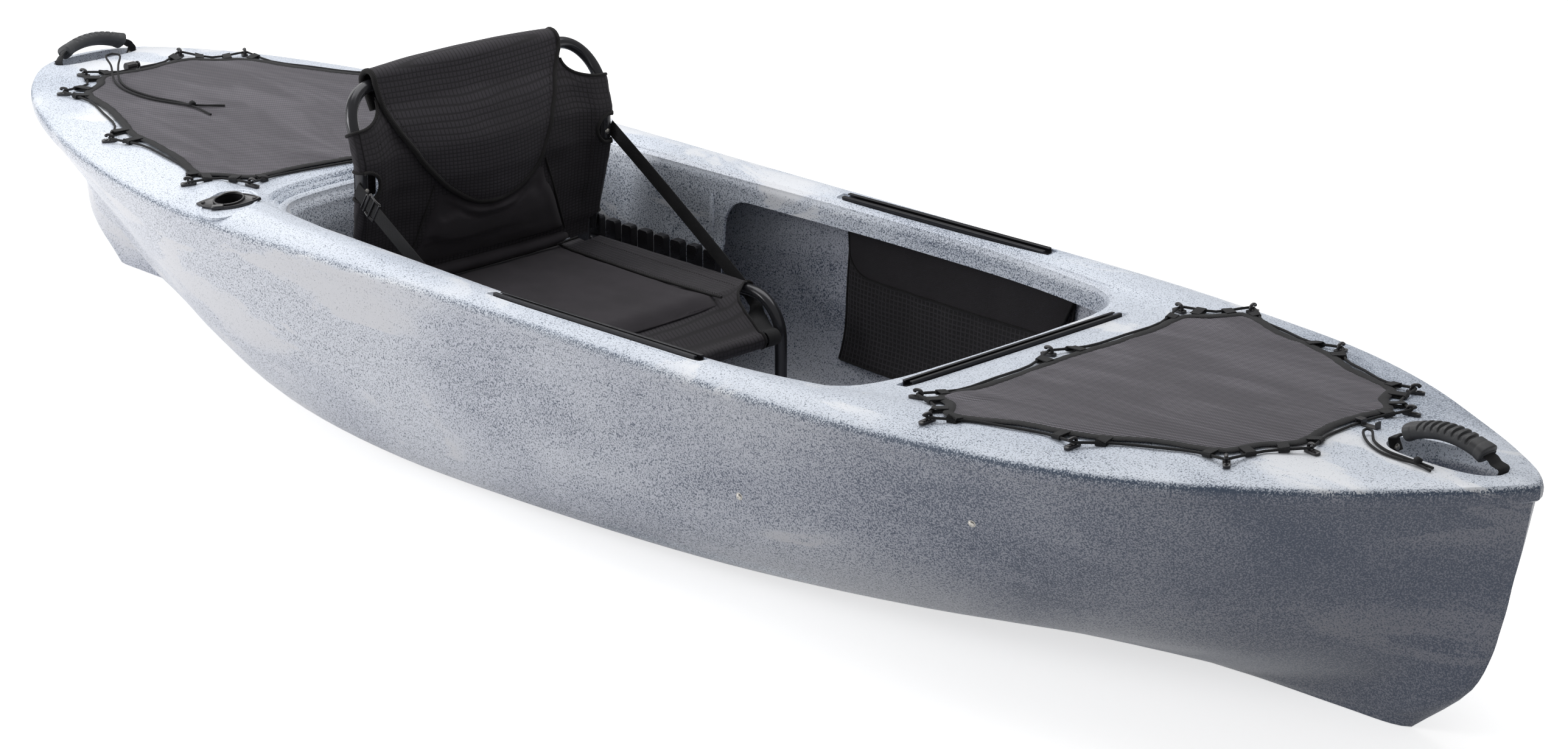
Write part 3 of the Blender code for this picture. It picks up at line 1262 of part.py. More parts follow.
def strap_route(side):
    """Centre line of a back strap with its side directions: outside the rail, then round the front tube."""
    y = BACK_HALF_WIDTH + SEAT_TUBE / 2 + GAP + STRAP[1] / 2
    upright = (0.53, 0.0, 0.85)
    route = [
        ((-0.4440, y, RIVET_Z), upright),
        ((-0.380, y, 0.3455), upright),
        ((-0.300, y - 0.001, 0.2960), upright),
        ((-0.200, y - 0.004, 0.2340), upright),
        ((-0.135, y - 0.0055, 0.1920), upright),
        ((-0.108, SEAT_HALF_WIDTH + 0.0125, 0.1745), (0.5, 0.25, 0.8)),
        ((-0.082, SEAT_HALF_WIDTH - 0.0090, 0.1650), (0.25, 0.85, 0.35)),
        ((-0.062, SEAT_HALF_WIDTH - 0.0180, 0.1605), (0.0, 1.0, 0.1)),
    ]
    radius = round_tube(SEAT_TUBE) + STRAP[1] / 2 + GAP
    loop_y = SEAT_HALF_WIDTH - SEAT_TUBE / 2 - STRAP[0] / 2 - 0.002
    route = [((x, yy * side, z), (w[0], w[1] * side, w[2])) for (x, yy, z), w in route]
    for turn in (112, 70, 30, -10, -50, -90, -130):
        a = math.radians(turn)
        route.append(((SEAT_LEG_X + radius * math.cos(a), loop_y * side, FRONT_TUBE_Z + radius * math.sin(a)),
                      (0.0, side, 0.0)))
    return route


def make_strap(word, side, pivot, surface):
    route = strap_route(side)
    strap = ribbon(f"back_strap_{word}", [p for p, _ in route], [w for _, w in route], STRAP)
    return carry(finish(strap, surface), pivot)


def make_buckle(pivot, surface):
    """Ladder lock on the starboard strap."""
    route = strap_route(-1)
    start, end = Vector(route[0][0]), Vector(route[1][0])
    run = (end - start).normalized()
    side = Vector(route[0][1])
    side = (side - run * side.dot(run)).normalized()
    out = run.cross(side)
    at = Matrix((run, side, out)).transposed().to_4x4()
    at.translation = start.lerp(end, 0.55)
    buckle = box("strap_buckle", (0.024, STRAP[0] + 0.010, 0.0065), (0, 0, 0), 0.001, at)
    slot = box("slot", (0.030, STRAP[0] + 0.001, STRAP[1] + 0.0007), (0, 0, 0), 0, at)
    return carry(finish(boolean(buckle, slot, "DIFFERENCE"), surface), pivot)


def rack_span():
    """Aft end of the first tooth and fore end of the last."""
    slot = REAR_ROD + RACK_SLOT_PLAY
    first = REAR_ROD_X - slot / 2 - (RACK_PITCH - slot) - RACK_PITCH
    return first, first + RACK_TEETH * RACK_PITCH - slot


def make_rack(word, side, deck, surface):
    """Comb on the cockpit wall; the seat's rear rod stands in one of its slots."""
    slot = REAR_ROD + RACK_SLOT_PLAY
    tooth = RACK_PITCH - slot
    bottom = rear_rod_z() - REAR_ROD / 2 - GAP
    first, end = rack_span()
    outline = [(first - 0.004, RACK_FOOT_Z), (end + 0.004, RACK_FOOT_Z)]
    for i in range(RACK_TEETH - 1, -1, -1):
        x = first + i * RACK_PITCH
        right = x + tooth + (0.004 if i == RACK_TEETH - 1 else 0.0)
        left = x - (0.004 if i == 0 else 0.0)
        if i < RACK_TEETH - 1:
            outline.append((right, bottom))
        outline += [(right, RACK_TOP_Z - 0.003), (right - 0.003, RACK_TOP_Z), (left + 0.003, RACK_TOP_Z),
                    (left, RACK_TOP_Z - 0.003)]
        if i > 0:
            outline.append((left, bottom))
    middle = cockpit_wall_y(deck) - GAP - RACK_THICK / 2
    lie = Matrix.Translation((0, side * middle, 0)) @ Matrix.Rotation(math.radians(90), 4, "X")
    return finish(plate(f"seat_rack_{word}", outline, RACK_THICK, lie), surface, False)


def cockpit_wall_y(deck):
    """Nearest the cockpit wall comes to the middle over the rack's length and height."""
    nearest = 1.0
    first, end = rack_span()
    for i in range(9):
        x = first - 0.004 + (end + 0.008 - first) * i / 8
        for z in (RACK_FOOT_Z, RACK_TOP_Z):
            place, _, _, _ = deck.tree.ray_cast(Vector((x, 0.2, z)), Vector((0, 1, 0)))
            nearest = min(nearest, place.y)
    return nearest


# Foot braces and pouch

def brace_frame(deck, side):
    """Frame of a foot brace's rail: local X forward along it, local Y outboard."""
    ends = []
    for x, z in (BRACE_AFT, BRACE_FORE):
        ends.append(deck.inner_side(x, z, side) - Vector((0, side * 0.014, 0)))
    ahead = (ends[1] - ends[0]).normalized()
    up = Vector((0, 0, 1))
    up = (up - ahead * up.dot(ahead)).normalized()
    outward = up.cross(ahead) if side < 0 else ahead.cross(up) * -1
    matrix = Matrix((ahead, up.cross(ahead), up)).transposed().to_4x4()
    matrix.translation = ends[0].lerp(ends[1], 0.5)
    return matrix, (ends[1] - ends[0]).length


def make_brace(word, side, deck, rail_surface, pedal_surface):
    frame, length = brace_frame(deck, side)
    tall, deep = BRACE_RAIL
    rail = box("rail", (length + 0.03, deep, tall), (0, 0, 0), 0.0015, frame)
    groove = box("groove", (length - 0.02, 0.005, 0.010), (0, -side * deep / 2, 0), 0, frame)
    boolean(rail, groove, "DIFFERENCE")
    for (x, z) in (BRACE_AFT, BRACE_FORE):
        around = [deck.inner_side(x + dx, z + dz, side) for dx in (-0.009, 0, 0.009) for dz in (-0.009, 0, 0.009)]
        seat = min(around, key=lambda place: abs(place.y))
        reach = 0.030
        lie = Matrix.Translation((x, seat.y - side * (GAP + 0.0016 + reach / 2), z))
        lie = lie @ Matrix.Rotation(math.radians(90), 4, "X")
        boss = rod("boss", 0.008, reach, lie, 10)
        cut = box("cut", (0.1, 0.04, 0.1), (0, -side * (deep / 2 + 0.0195), 0), 0,
                  frame @ Matrix.Translation(frame.inverted() @ Vector((x, seat.y, z))) @ Matrix.Translation(
                      (0, -(frame.inverted() @ Vector((x, seat.y, z))).y, 0)))
        boss = boolean(boss, cut, "DIFFERENCE")
        rail = boolean(rail, boss, "UNION")
    rail.name = f"foot_brace_rail_{word}"
    finish(rail, rail_surface, False)
    at = frame @ Matrix.Translation((length * (PEDAL_AT - 0.5), 0, 0))
    pivot = pivot_at(f"foot_pedal_{word}_slide", at)
    play = 0.0005
    carriage = box("pedal", (0.050, deep + 0.010, tall + 0.012), (0, -side * 0.0015, 0), 0.001, at)
    hollow = box("hollow", (0.08, deep + 2 * play, tall + 2 * play), (0, 0, 0), 0, at)
    throat = box("throat", (0.08, 0.03, tall - 0.008), (0, side * (deep / 2 + 0.010), 0), 0, at)
    boolean(carriage, join([hollow]), "DIFFERENCE")
    boolean(carriage, throat, "DIFFERENCE")
    pad_centre = (-0.026, -side * (deep / 2 + 0.005 + PEDAL_WIDTH / 2 - 0.004), 0.006)
    pad = box("pad", (PEDAL_THICK, PEDAL_WIDTH, PEDAL_HEIGHT), pad_centre, 0.002, at)
    pedal = boolean(carriage, pad, "UNION")
    pedal.name = f"foot_pedal_{word}"
    carry(finish(pedal, pedal_surface, False), pivot)


def make_pouch(deck, surface):
    """Storage pouch that hangs against the inside of the port hull side."""
    columns, rows = 7, 5
    back = []
    for row in range(rows + 1):
        z = POUCH_TOP_Z + (POUCH_FOOT_Z - POUCH_TOP_Z) * row / rows
        line = []
        for column in range(columns + 1):
            x = POUCH_FROM + (POUCH_TO - POUCH_FROM) * column / columns
            line.append(Vector((x, deck.inner_side(x, z, 1).y - 0.0012, z)))
        back.append(line)
    shape = bmesh.new()
    grid = [[shape.verts.new(p) for p in line] for line in back]
    for upper, lower in zip(grid, grid[1:]):
        for i in range(columns):
            shape.faces.new((upper[i], upper[i + 1], lower[i + 1], lower[i]))
    mesh = bpy.data.meshes.new("storage_pouch")
    bmesh.ops.recalc_face_normals(shape, faces=shape.faces)
    if list(shape.faces)[0].normal.y < 0:
        bmesh.ops.reverse_faces(shape, faces=shape.faces)
    shape.to_mesh(mesh)
    shape.free()
    pouch = new_object("storage_pouch", mesh)
    body = pouch.modifiers.new("body", "SOLIDIFY")
    body.thickness = POUCH_THICK
    body.offset = -1
    apply_all(pouch)
    return finish(pouch, surface)


# Cord fittings

def make_cord_lock(deck, body_surface, button_surface):
    """Barrel lock that pinches the stern cord, with its sprung button."""
    x, y = CORD_LOCK_AT
    lie = Matrix.Rotation(math.radians(90), 4, "X")
    centre = Vector((x, y, deck.height(x, y, CORD_LOCK_LENGTH / 2) + CORD_LOCK_RADIUS + 2 * GAP))
    body = rod("cord_lock_body", CORD_LOCK_RADIUS, CORD_LOCK_LENGTH, Matrix.Translation(centre) @ lie, 14)
    bore = CORD_LOCK_RADIUS - 0.0018
    cup_depth = CORD_LOCK_LENGTH * 0.6
    mouth = CORD_LOCK_LENGTH / 2
    cup = Matrix.Translation(centre + Vector((0, mouth - cup_depth / 2 + 0.001, 0))) @ lie
    boolean(body, rod("cup", bore, cup_depth + 0.002, cup, 12), "DIFFERENCE")
    finish(body, body_surface)
    pivot = pivot_at("cord_lock_slide", Matrix.Translation(centre))
    stem_length = cup_depth + 0.0015
    stem = mouth + CORD_LOCK_TRAVEL + 0.0018 - stem_length / 2
    stem = Matrix.Translation(centre + Vector((0, stem, 0))) @ lie
    button = rod("cord_lock_button", bore - GAP, stem_length, stem, 12)
    head = Matrix.Translation(centre + Vector((0, mouth + CORD_LOCK_TRAVEL + 0.0018, 0))) @ lie
    button = boolean(button, rod("head", CORD_LOCK_RADIUS - 0.0006, 0.0028, head, 14), "UNION")
    carry(finish(button, button_surface), pivot)
    return centre


def make_tail(name, ground, legs, apart, knot, ends, surface):
    """Doubled cord from its loop, along the legs, through a knot to two loose ends."""
    radius = SHOCK_CORD / 2

    def rest(x, y, lift=0.0):
        return (x, y, ground.height(x, y, radius / 2) + radius + GAP + lift)

    lanes = []
    for hand in (1, -1):
        lane = []
        for i, (x, y, lift) in enumerate(legs):
            ahead = Vector(legs[min(i + 1, len(legs) - 1)][:2]) - Vector(legs[max(i - 1, 0)][:2])
            side = Vector((-ahead.y, ahead.x)).normalized() * apart[i] / 2 * hand
            lane.append(rest(x + side.x, y + side.y, lift))
        lanes.append(lane)
    knot_x, knot_y = knot
    run = (Vector(legs[0][:2]) - Vector(knot)).normalized()
    side = Vector((-run.y, run.x)) * (radius + 0.0004)
    through = [rest(knot_x + side.x * hand, knot_y + side.y * hand, 0.001) for hand in (1, -1)]
    first = [rest(*ends[0]), through[0]] + lanes[0]
    second = lanes[1][::-1] + [through[1], rest(*ends[1])]
    route = first + second
    dense = smooth(route, route[0], route[-1], 2)
    low = [(x, y, max(z, ground.height(x, y, radius / 2) + radius + GAP)) for x, y, z in dense]
    tail = tube(name, low, SHOCK_CORD - 0.0004, 1)
    ball = bmesh.new()
    place = Matrix.Translation((knot_x, knot_y, ground.height(knot_x, knot_y, KNOT / 2) + KNOT / 2 + 2 * GAP))
    bmesh.ops.create_uvsphere(ball, u_segments=10, v_segments=6, radius=KNOT / 2, matrix=place)
    boolean(tail, from_bmesh("knot", ball), "UNION")
    return finish(tail, surface)


def make_cord_hook(ground, surface):
    """J-shaped clip that hangs a doubled cord on the bow cover's shock cord."""
    x, y = CORD_HOOK_AT
    z = ground.height(x, y, 0.006) + 2 * GAP
    lie = Matrix.Translation((x, y, z)) @ Matrix.Rotation(math.radians(90), 4, "X")
    gauge, inside = 0.0025, SHOCK_CORD / 2 + 0.0012
    front, top = CORD_HOOK_LENGTH, SHOCK_CORD + 0.0026
    outline = [(inside, 0), (front, 0), (front, 0.010), (front - gauge, 0.010), (front - gauge, gauge)]
    outline += [(inside + gauge, gauge), (inside + gauge, top + gauge), (-inside - gauge, top + gauge)]
    outline += [(-inside - gauge, 0.0025), (-inside, 0.0025), (-inside, top), (inside, top)]
    return finish(plate("cord_hook", outline, CORD_HOOK_WIDTH, lie), surface, False)


for thing in list(bpy.data.objects):
    bpy.data.objects.remove(thing)

kayak = collection("kayak")
cutters = collection("cutters")

polyethylene = material("granite_polyethylene", (0.62, 0.66, 0.72), 0.42)
black_plastic = material("black_plastic", (0.02, 0.02, 0.022), 0.45)
anodised = material("black_anodised", (0.025, 0.025, 0.028), 0.35, 0.8)
black_tube = material("black_painted_tube", (0.02, 0.02, 0.022), 0.3, 0.4)
webbing = material("black_webbing", (0.018, 0.018, 0.02), 0.85)
cover_mesh = material("cover_mesh", (0.09, 0.085, 0.085), 0.8)
seat_cloth = material("seat_cloth", (0.03, 0.028, 0.028), 0.8)
cord_cloth = material("shock_cord", (0.02, 0.02, 0.02), 0.7)
grip_rubber = material("grip_rubber", (0.05, 0.05, 0.055), 0.55)
pouch_cloth = material("pouch_cloth", (0.022, 0.021, 0.022), 0.8)

hull = make_hull(polyethylene)
bare = Deck(hull)
holder_frames = {word: rod_holder_frame(bare, side) for side, word in SIDES}
bow_frame = bare.frame(BOW_HANDLE_X, 0.0)
stern_frame = bare.frame(STERN_HANDLE_X, 0.0, math.pi / 2)
finish(refine_hull(hull), polyethylene)
deck = Deck(hull)

frames = make_hooks(deck, black_plastic)
covers = [
    make_cover("bow_cover", bare, cover_outline(BOW_HOOKS, BOW_EDGE_HOOK, BOW_COVER_INSET), cover_mesh),
    make_cover("stern_cover", bare, cover_outline(STERN_HOOKS, STERN_EDGE_HOOK, STERN_COVER_INSET), cover_mesh),
]
lock_span = (CORD_LOCK_LENGTH / 2 + CORD_LOCK_TRAVEL + 0.004, CORD_LOCK_LENGTH / 2 + 0.001)
end_y = beamed(STERN_HOOKS[-1][1])
lock_ends = (
    (end_y - CORD_LOCK_AT[1] - lock_span[0]) / (2 * end_y),
    (end_y + CORD_LOCK_AT[1] - lock_span[1]) / (2 * end_y),
)
bow_inset, stern_inset = cord_inset(BOW_COVER_INSET), cord_inset(STERN_COVER_INSET)
make_cord("bow_shock_cord", bare, frames["bow"], (0.495, 0.495), bow_inset, cord_cloth)
make_cord("stern_shock_cord", bare, frames["stern"], lock_ends, stern_inset, cord_cloth)
make_cord_lock(deck, black_plastic, black_plastic)
make_cord_hook(deck, black_plastic)
ground = Deck(hull, *covers)
make_tail("stern_tail_cord", ground, STERN_TAIL, STERN_TAIL_APART, STERN_TAIL_KNOT, STERN_TAIL_ENDS, cord_cloth)
make_tail("bow_tail_cord", ground, BOW_TAIL, BOW_TAIL_APART, BOW_TAIL_KNOT, BOW_TAIL_ENDS, cord_cloth)

seat = pivot_at("seat_pivot", Matrix.Translation((REAR_ROD_X, 0, rear_rod_z())))
backrest = pivot_at("backrest_pivot", Matrix.Translation((BACK_PIVOT[0], 0, BACK_PIVOT[1])))
make_seat_frame(deck, seat, black_tube)
make_sling(seat, seat_cloth)
make_back_tube(backrest, black_tube)
make_back_fabric(backrest, seat_cloth)
make_buckle(backrest, black_plastic)
make_pouch(deck, pouch_cloth)
for name, (x, y, turn, length) in track_places().items():
    make_track(name, deck, x, y, turn, length, anodised)
for side, word in SIDES:
    make_rod_holder(f"rod_holder_{word}", holder_frames[word], side, black_plastic)
    make_rack(word, side, deck, black_plastic)
    make_bracket(word, side, seat, black_tube)
    make_strap(word, side, seat, webbing)
    make_brace(word, side, deck, anodised, black_plastic)
make_handle("bow", bow_frame, BOW_SCOOP, BOW_HANDLE_LEAN, grip_rubber, webbing)
make_handle("stern", stern_frame, STERN_SCOOP, STERN_HANDLE_LEAN, grip_rubber, webbing)
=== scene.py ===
"""Finish, cords and soft parts of a sit-in kayak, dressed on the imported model.

Metres, +Z up, +X towards the bow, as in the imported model.
"""

import json
from functools import cache
from math import atan2, copysign, cos, exp, pi, radians, sin, sqrt, tan, tau

import bmesh
import bpy
import numpy as np
from mathutils import Matrix, Vector, noise
from mathutils.bvhtree import BVHTree

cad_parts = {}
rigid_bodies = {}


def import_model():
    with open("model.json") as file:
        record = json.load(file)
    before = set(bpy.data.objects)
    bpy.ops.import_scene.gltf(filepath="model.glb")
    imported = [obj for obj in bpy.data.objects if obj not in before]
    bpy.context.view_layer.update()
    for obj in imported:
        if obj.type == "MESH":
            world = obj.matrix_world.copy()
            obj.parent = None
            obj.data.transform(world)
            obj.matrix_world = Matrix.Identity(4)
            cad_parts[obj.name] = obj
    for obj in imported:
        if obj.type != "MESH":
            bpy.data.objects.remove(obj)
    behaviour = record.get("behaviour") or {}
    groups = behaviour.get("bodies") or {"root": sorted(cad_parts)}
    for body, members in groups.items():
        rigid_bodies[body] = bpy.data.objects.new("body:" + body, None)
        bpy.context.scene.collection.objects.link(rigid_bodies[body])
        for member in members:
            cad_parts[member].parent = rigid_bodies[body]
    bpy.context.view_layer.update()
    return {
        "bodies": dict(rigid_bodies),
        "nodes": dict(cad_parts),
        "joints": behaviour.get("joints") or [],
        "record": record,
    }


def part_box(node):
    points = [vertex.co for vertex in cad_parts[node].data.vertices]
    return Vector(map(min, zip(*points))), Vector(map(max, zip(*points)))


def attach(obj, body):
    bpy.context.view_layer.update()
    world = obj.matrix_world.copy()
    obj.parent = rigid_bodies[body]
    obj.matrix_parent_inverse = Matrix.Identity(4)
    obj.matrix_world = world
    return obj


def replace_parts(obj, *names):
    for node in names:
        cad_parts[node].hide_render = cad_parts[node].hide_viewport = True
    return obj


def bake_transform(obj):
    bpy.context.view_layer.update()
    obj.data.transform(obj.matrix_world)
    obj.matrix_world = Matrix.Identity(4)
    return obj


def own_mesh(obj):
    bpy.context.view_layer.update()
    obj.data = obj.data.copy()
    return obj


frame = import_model()
nodes = frame["nodes"]

kayak = bpy.data.collections.new("dressing")
bpy.context.scene.collection.children.link(kayak)

# Camera, light and floor
UP = Vector((0, 0, 1))
SENSOR_WIDTH = 36.0
FOCAL_PIXELS = 6679.92      # focal length in pixels of a frame of this width
FRAME_PIXELS = 2576
CAMERA_YAW = -45.77         # degrees
CAMERA_PITCH = 18.89
CAMERA_AT = (4.18864, -3.87193, 2.09152)
WORLD_LEVEL = 0.34
FLOOR_GLOW = 0.66
LAMPS = [  # name, place, target, size, power
    ("softbox_top", (-0.7, 0.7, 3.4), (-0.2, 0.0, 0.2), (4.4, 2.6), 104),
    ("softbox_stern", (-3.6, 0.6, 2.2), (-0.4, 0.0, 0.3), (2.2, 1.6), 22),
    ("softbox_side", (-2.9, -3.4, 1.7), (-0.4, 0.0, 0.2), (2.6, 1.8), 92),
]

# Hull
HULL_HEIGHT = 0.372
HULL_WALL = 0.005
SEAM_BAND = 0.022           # height of the rim band above the mould seam
DECK_CROWN = 0.012
RING_SPANS = 96             # facets along each half of a hull ring
END_CROWDING = 0.55         # how far the ring's points crowd towards bow and stern
CORNER_CROWDING = 0.35      # how far the cockpit's points crowd towards its corners
AFT_LEDGE_DEPTH = 0.010     # of the moulded ledges behind the seat

# Cockpit: the rim, and the wall that hangs from it
COCKPIT_RIM_Z = 0.335
WALL_FOOT_Z = 0.050
FORE_FOOT_Z = 0.225         # the wall is shallower forward of the seat
FORE_FOOT_FROM = (-0.26, -0.10)
LIP_Z = 0.301               # lower edge of the short lip, where the wall is cut away
WALL_CUT_FROM = -0.240      # aft end of that cut
WALL_CUT_CORNER = 0.050
WALL_CUT_HALF = 0.332
SEAT_SIDE_ROOM = (0.095, 0.065, 0.058)  # from the seat's side to the wall, at its top, middle and foot

GAP = 0.0003                # between pieces that touch

# Deck hooks that hold the covers' shock cord, on the port side: (x, y, turn of the pad in degrees)
BOW_HOOKS = [
    (0.735, 0.260, 168), (0.808, 0.318, 98), (1.006, 0.262, 94), (1.186, 0.185, 50),
    (1.246, 0.099, 10),
]
BOW_EDGE_HOOK = (0.728, 180)
STERN_HOOKS = [
    (-0.688, 0.272, -12), (-0.743, 0.337, 135), (-1.021, 0.287, 140), (-1.298, 0.182, 150),
    (-1.366, 0.097, 165),
]
STERN_EDGE_HOOK = (-0.652, 0)
HOOK_PAD_LENGTH = 0.019
HOOK_PAD_WIDTH = 0.012
HOOK_PAD_THICK = 0.0035
HOOK_WIRE = 0.0023
SHOCK_CORD = 0.004
BOW_COVER_INSET = 0.021     # from the hooks to the cover's bound edge
STERN_COVER_INSET = 0.030
COVER_SAG = 0.008
COVER_SCALLOP = 0.006       # how far the edge is drawn in between two hooks
COVER_SPANS = 220           # facets round a cover
HOLD_INSET = 0.034          # from the cover's edge to the deck opening under it
HOLD_CORNER = 0.050

# Accessory tracks
TRACK_WIDTH = 0.019
TRACK_RECESS = 0.005
SIDE_TRACK_Y = 0.3485
SIDE_TRACK_AFT = -0.010
SIDE_TRACK_LENGTH = 0.414
CROSS_TRACK_X = 0.661
CROSS_TRACK_LENGTH = 0.418

# Rod holders
ROD_HOLDER_AT = (-0.632, 0.353)
ROD_HOLDER_FLANGE = (0.050, 0.036)
ROD_HOLDER_LIP = 0.004
ROD_BORE_SHIFT = (-0.012, 0.003)
ROD_HOLDER_TURN = 55.0      # degrees from fore and aft
ROD_BORE = 0.0215
ROD_TUBE_WALL = 0.003
ROD_TUBE_LENGTH = 0.170
ROD_TUBE_LEAN = (-0.16, -0.34)
FLANGE_THICK = 0.004
LENS_TURN = radians(43.6)
LENS_HALF_WIDTH = 0.0262
LENS_SHIFT = (-0.007, 0.002)

# Carry handles and the scoops under them
BOW_HANDLE_X = 1.385
STERN_HANDLE_X = -1.478
BOW_SCOOP = (0.088, 0.036)
STERN_SCOOP = (0.082, 0.025)
SCOOP_DEPTH = 0.030
SCOOP_FLOOR = 0.72
SCOOP_WAIST = 0.55
SCOOP_POWER = 2.6
DISH_TOP = -0.0022          # upper end of a hollow's body, within the thickness of the deck
BOW_HANDLE_LEAN = 0.0       # degrees that each grip leans at rest
STERN_HANDLE_LEAN = -28.0
GRIP_HALF_LENGTH = 0.060
GRIP_WIDTH = 0.031
GRIP_HEIGHT = 0.021
GRIP_END_LIFT = 0.016       # axis of the grip's ends above the deck
GRIP_RISE = 0.014
GRIP_NOTCHES = 8
WEBBING = (0.022, 0.0022)
HANDLE_PIVOT_LIFT = 0.004

# Seat frame
SEAT_TUBE = 0.019
SEAT_HALF_WIDTH = 0.235
SEAT_RAIL_Z = 0.1955
SEAT_RAIL_AFT = -0.507
SEAT_LEG_X = -0.037
SEAT_BEND = 0.062
FRONT_TUBE_Z = 0.140
SLING_SAG = 0.016
SLING_AFT = -0.452
SLING_CORNER_X = -0.112
SLING_FRONT_HALF = SEAT_HALF_WIDTH - 0.043
SLING_REAR_HALF = 0.205
SLING_RADIUS = SEAT_TUBE / 2 + 0.0020
RAIL_TOP_Z = SEAT_RAIL_Z + SLING_RADIUS
FRONT_TOP_Z = FRONT_TUBE_Z + SLING_RADIUS
SEAT_CLOTH_AFT = -0.470
SEAT_SEAM = 0.158           # of the padded middle panel

# Seat back
BACK_HALF_WIDTH = SEAT_HALF_WIDTH + 0.009
BACK_CORNER = 0.057
BACK_FOLD = 0.035
BACK_PAD = 0.020
BACK_LEAN = [(-0.4715, 0.219), (-0.466, 0.262), (-0.455, 0.318), (-0.4445, 0.375), (-0.4440, 0.420),
             (-0.456, 0.462)]
BACK_TOP = (-0.489, 0.5235)
CLOTH_STAND = 0.0112        # from the tubes' centre forward to the cloth
SLEEVE_RADIUS = SEAT_TUBE / 2 + 0.0017
SLEEVE_FOOT_Z = 0.248
ROLL_Z = 0.2215
FLAP_EDGE = {
    1: [(0.0, 0.3262), (0.030, 0.3288), (0.060, 0.3400), (0.088, 0.3600), (0.104, 0.3840), (0.125, 0.4250),
        (0.142, 0.4570), (0.155, 0.4840), (0.167, 0.5050), (0.176, 0.5235)],
    -1: [(0.0, 0.3262), (0.030, 0.3290), (0.058, 0.3410), (0.099, 0.3690), (0.127, 0.3970), (0.154, 0.4340),
         (0.174, 0.4670), (0.184, 0.4950), (0.187, 0.5110), (0.188, 0.5235)]}
SLEEVE_TOP_Z = 0.4655
CORNER_TOP_Z = 0.502
CORNER_HALF = {1: 0.178, -1: 0.190}
NOTCH_MID_Z = 0.388
NOTCH_HALF = 0.022
NOTCH_DEPTH = 0.026
PAD_CURVE = [(0.2195, 0.55), (0.248, 0.75), (0.2907, 1.0), (0.340, 1.0), (0.375, 0.75), (0.42, 0.35),
             (0.461, 0.0)]

# Straps from the seat back to the front tube
STRAP = (0.025, 0.0016)
RIVET_Z = 0.385
RIVET_RADIUS = 0.0046
RIVET_RISE = 0.6            # share of its radius
STRAP_PROFILE = [(-0.5, -0.25), (-0.46, -0.5), (0.46, -0.5), (0.5, -0.25), (0.5, 0.25), (0.46, 0.5),
                 (0, 0.62), (-0.46, 0.5), (-0.5, 0.25)]  # shares of its width and thickness

# Sewing and padding
STITCH = 0.0030
STITCH_GAP = 0.0022
STITCH_RADIUS = 0.00055
PUFF_STEPS = 20             # of the cloth simulation

# Stern cord lock, and the loose doubled cords at both ends: (x, y, lift over what they lie on)
CORD_LOCK_AT = (-1.344, -0.023)
CORD_LOCK_LENGTH = 0.018
CORD_LOCK_TRAVEL = 0.004
KNOT = 0.012
STERN_TAIL = [(-1.105, -0.099, 0), (-1.160, -0.112, 0), (-1.240, -0.107, 0), (-1.300, -0.083, 0.002),
              (-1.336, -0.060, 0.012), (-1.366, -0.042, 0.024)]
STERN_TAIL_APART = [0.008, 0.010, 0.009, 0.009, 0.012, 0.022]
STERN_TAIL_KNOT = (-1.073, -0.094)
STERN_TAIL_ENDS = [(-1.014, -0.101), (-1.040, -0.053)]
BOW_TAIL = [(1.352, -0.050, 0), (1.322, -0.046, 0), (1.288, -0.030, 0.001), (1.266, -0.008, 0.004)]
BOW_TAIL_APART = [0.008, 0.009, 0.009, 0.010]
BOW_TAIL_KNOT = (1.378, -0.052)
BOW_TAIL_ENDS = [(1.402, -0.058), (1.400, -0.050)]

# Storage pouch on the port side, the ring over it, and screws and beads on the hull
POUCH_FROM = -0.030
POUCH_TO = 0.440
POUCH_TOP_Z = 0.286
POUCH_FOOT_Z = 0.075
POUCH_THICK = 0.018
POUCH_FLAP = 0.34           # share of the pouch's height
RING_AT = (0.366, 0.2985)
SIDE_SCREWS = [(0.4968, 0.1759), (0.8831, 0.2319)]
WALL_RIB_X = -0.2655
WALL_RIB_HALF = 0.0046
WALL_RIBS = [(0.236, 0.300), (0.180, 0.206)]

# Lines of the hull, bow to stern: (x, half breadth, height)
RIM = [
    (1.524, 0.0, 0.372), (1.506, 0.030, 0.371), (1.42, 0.103, 0.363), (1.30, 0.186, 0.353),
    (1.15, 0.272, 0.346), (0.98, 0.334, 0.341), (0.72, 0.376, 0.336), (0.42, 0.392, 0.334),
    (0.05, 0.394, 0.334), (-0.28, 0.400, 0.332), (-0.52, 0.406, 0.329), (-0.68, 0.403, 0.329),
    (-0.80, 0.391, 0.330), (-0.90, 0.373, 0.331), (-1.05, 0.338, 0.335), (-1.20, 0.288, 0.340),
    (-1.33, 0.229, 0.344), (-1.43, 0.164, 0.347), (-1.502, 0.088, 0.350), (-1.524, 0.0, 0.351),
]
SIDE = [
    (1.503, 0.0, 0.283), (1.445, 0.048, 0.275), (1.30, 0.150, 0.262), (1.15, 0.228, 0.240),
    (0.98, 0.290, 0.226), (0.72, 0.348, 0.216), (0.42, 0.370, 0.206), (0.05, 0.380, 0.200),
    (-0.28, 0.386, 0.202), (-0.55, 0.386, 0.210), (-0.76, 0.370, 0.222), (-0.90, 0.334, 0.234),
    (-1.05, 0.290, 0.246), (-1.20, 0.248, 0.272), (-1.32, 0.206, 0.300), (-1.42, 0.150, 0.316),
    (-1.494, 0.076, 0.318), (-1.519, 0.0, 0.318),
]
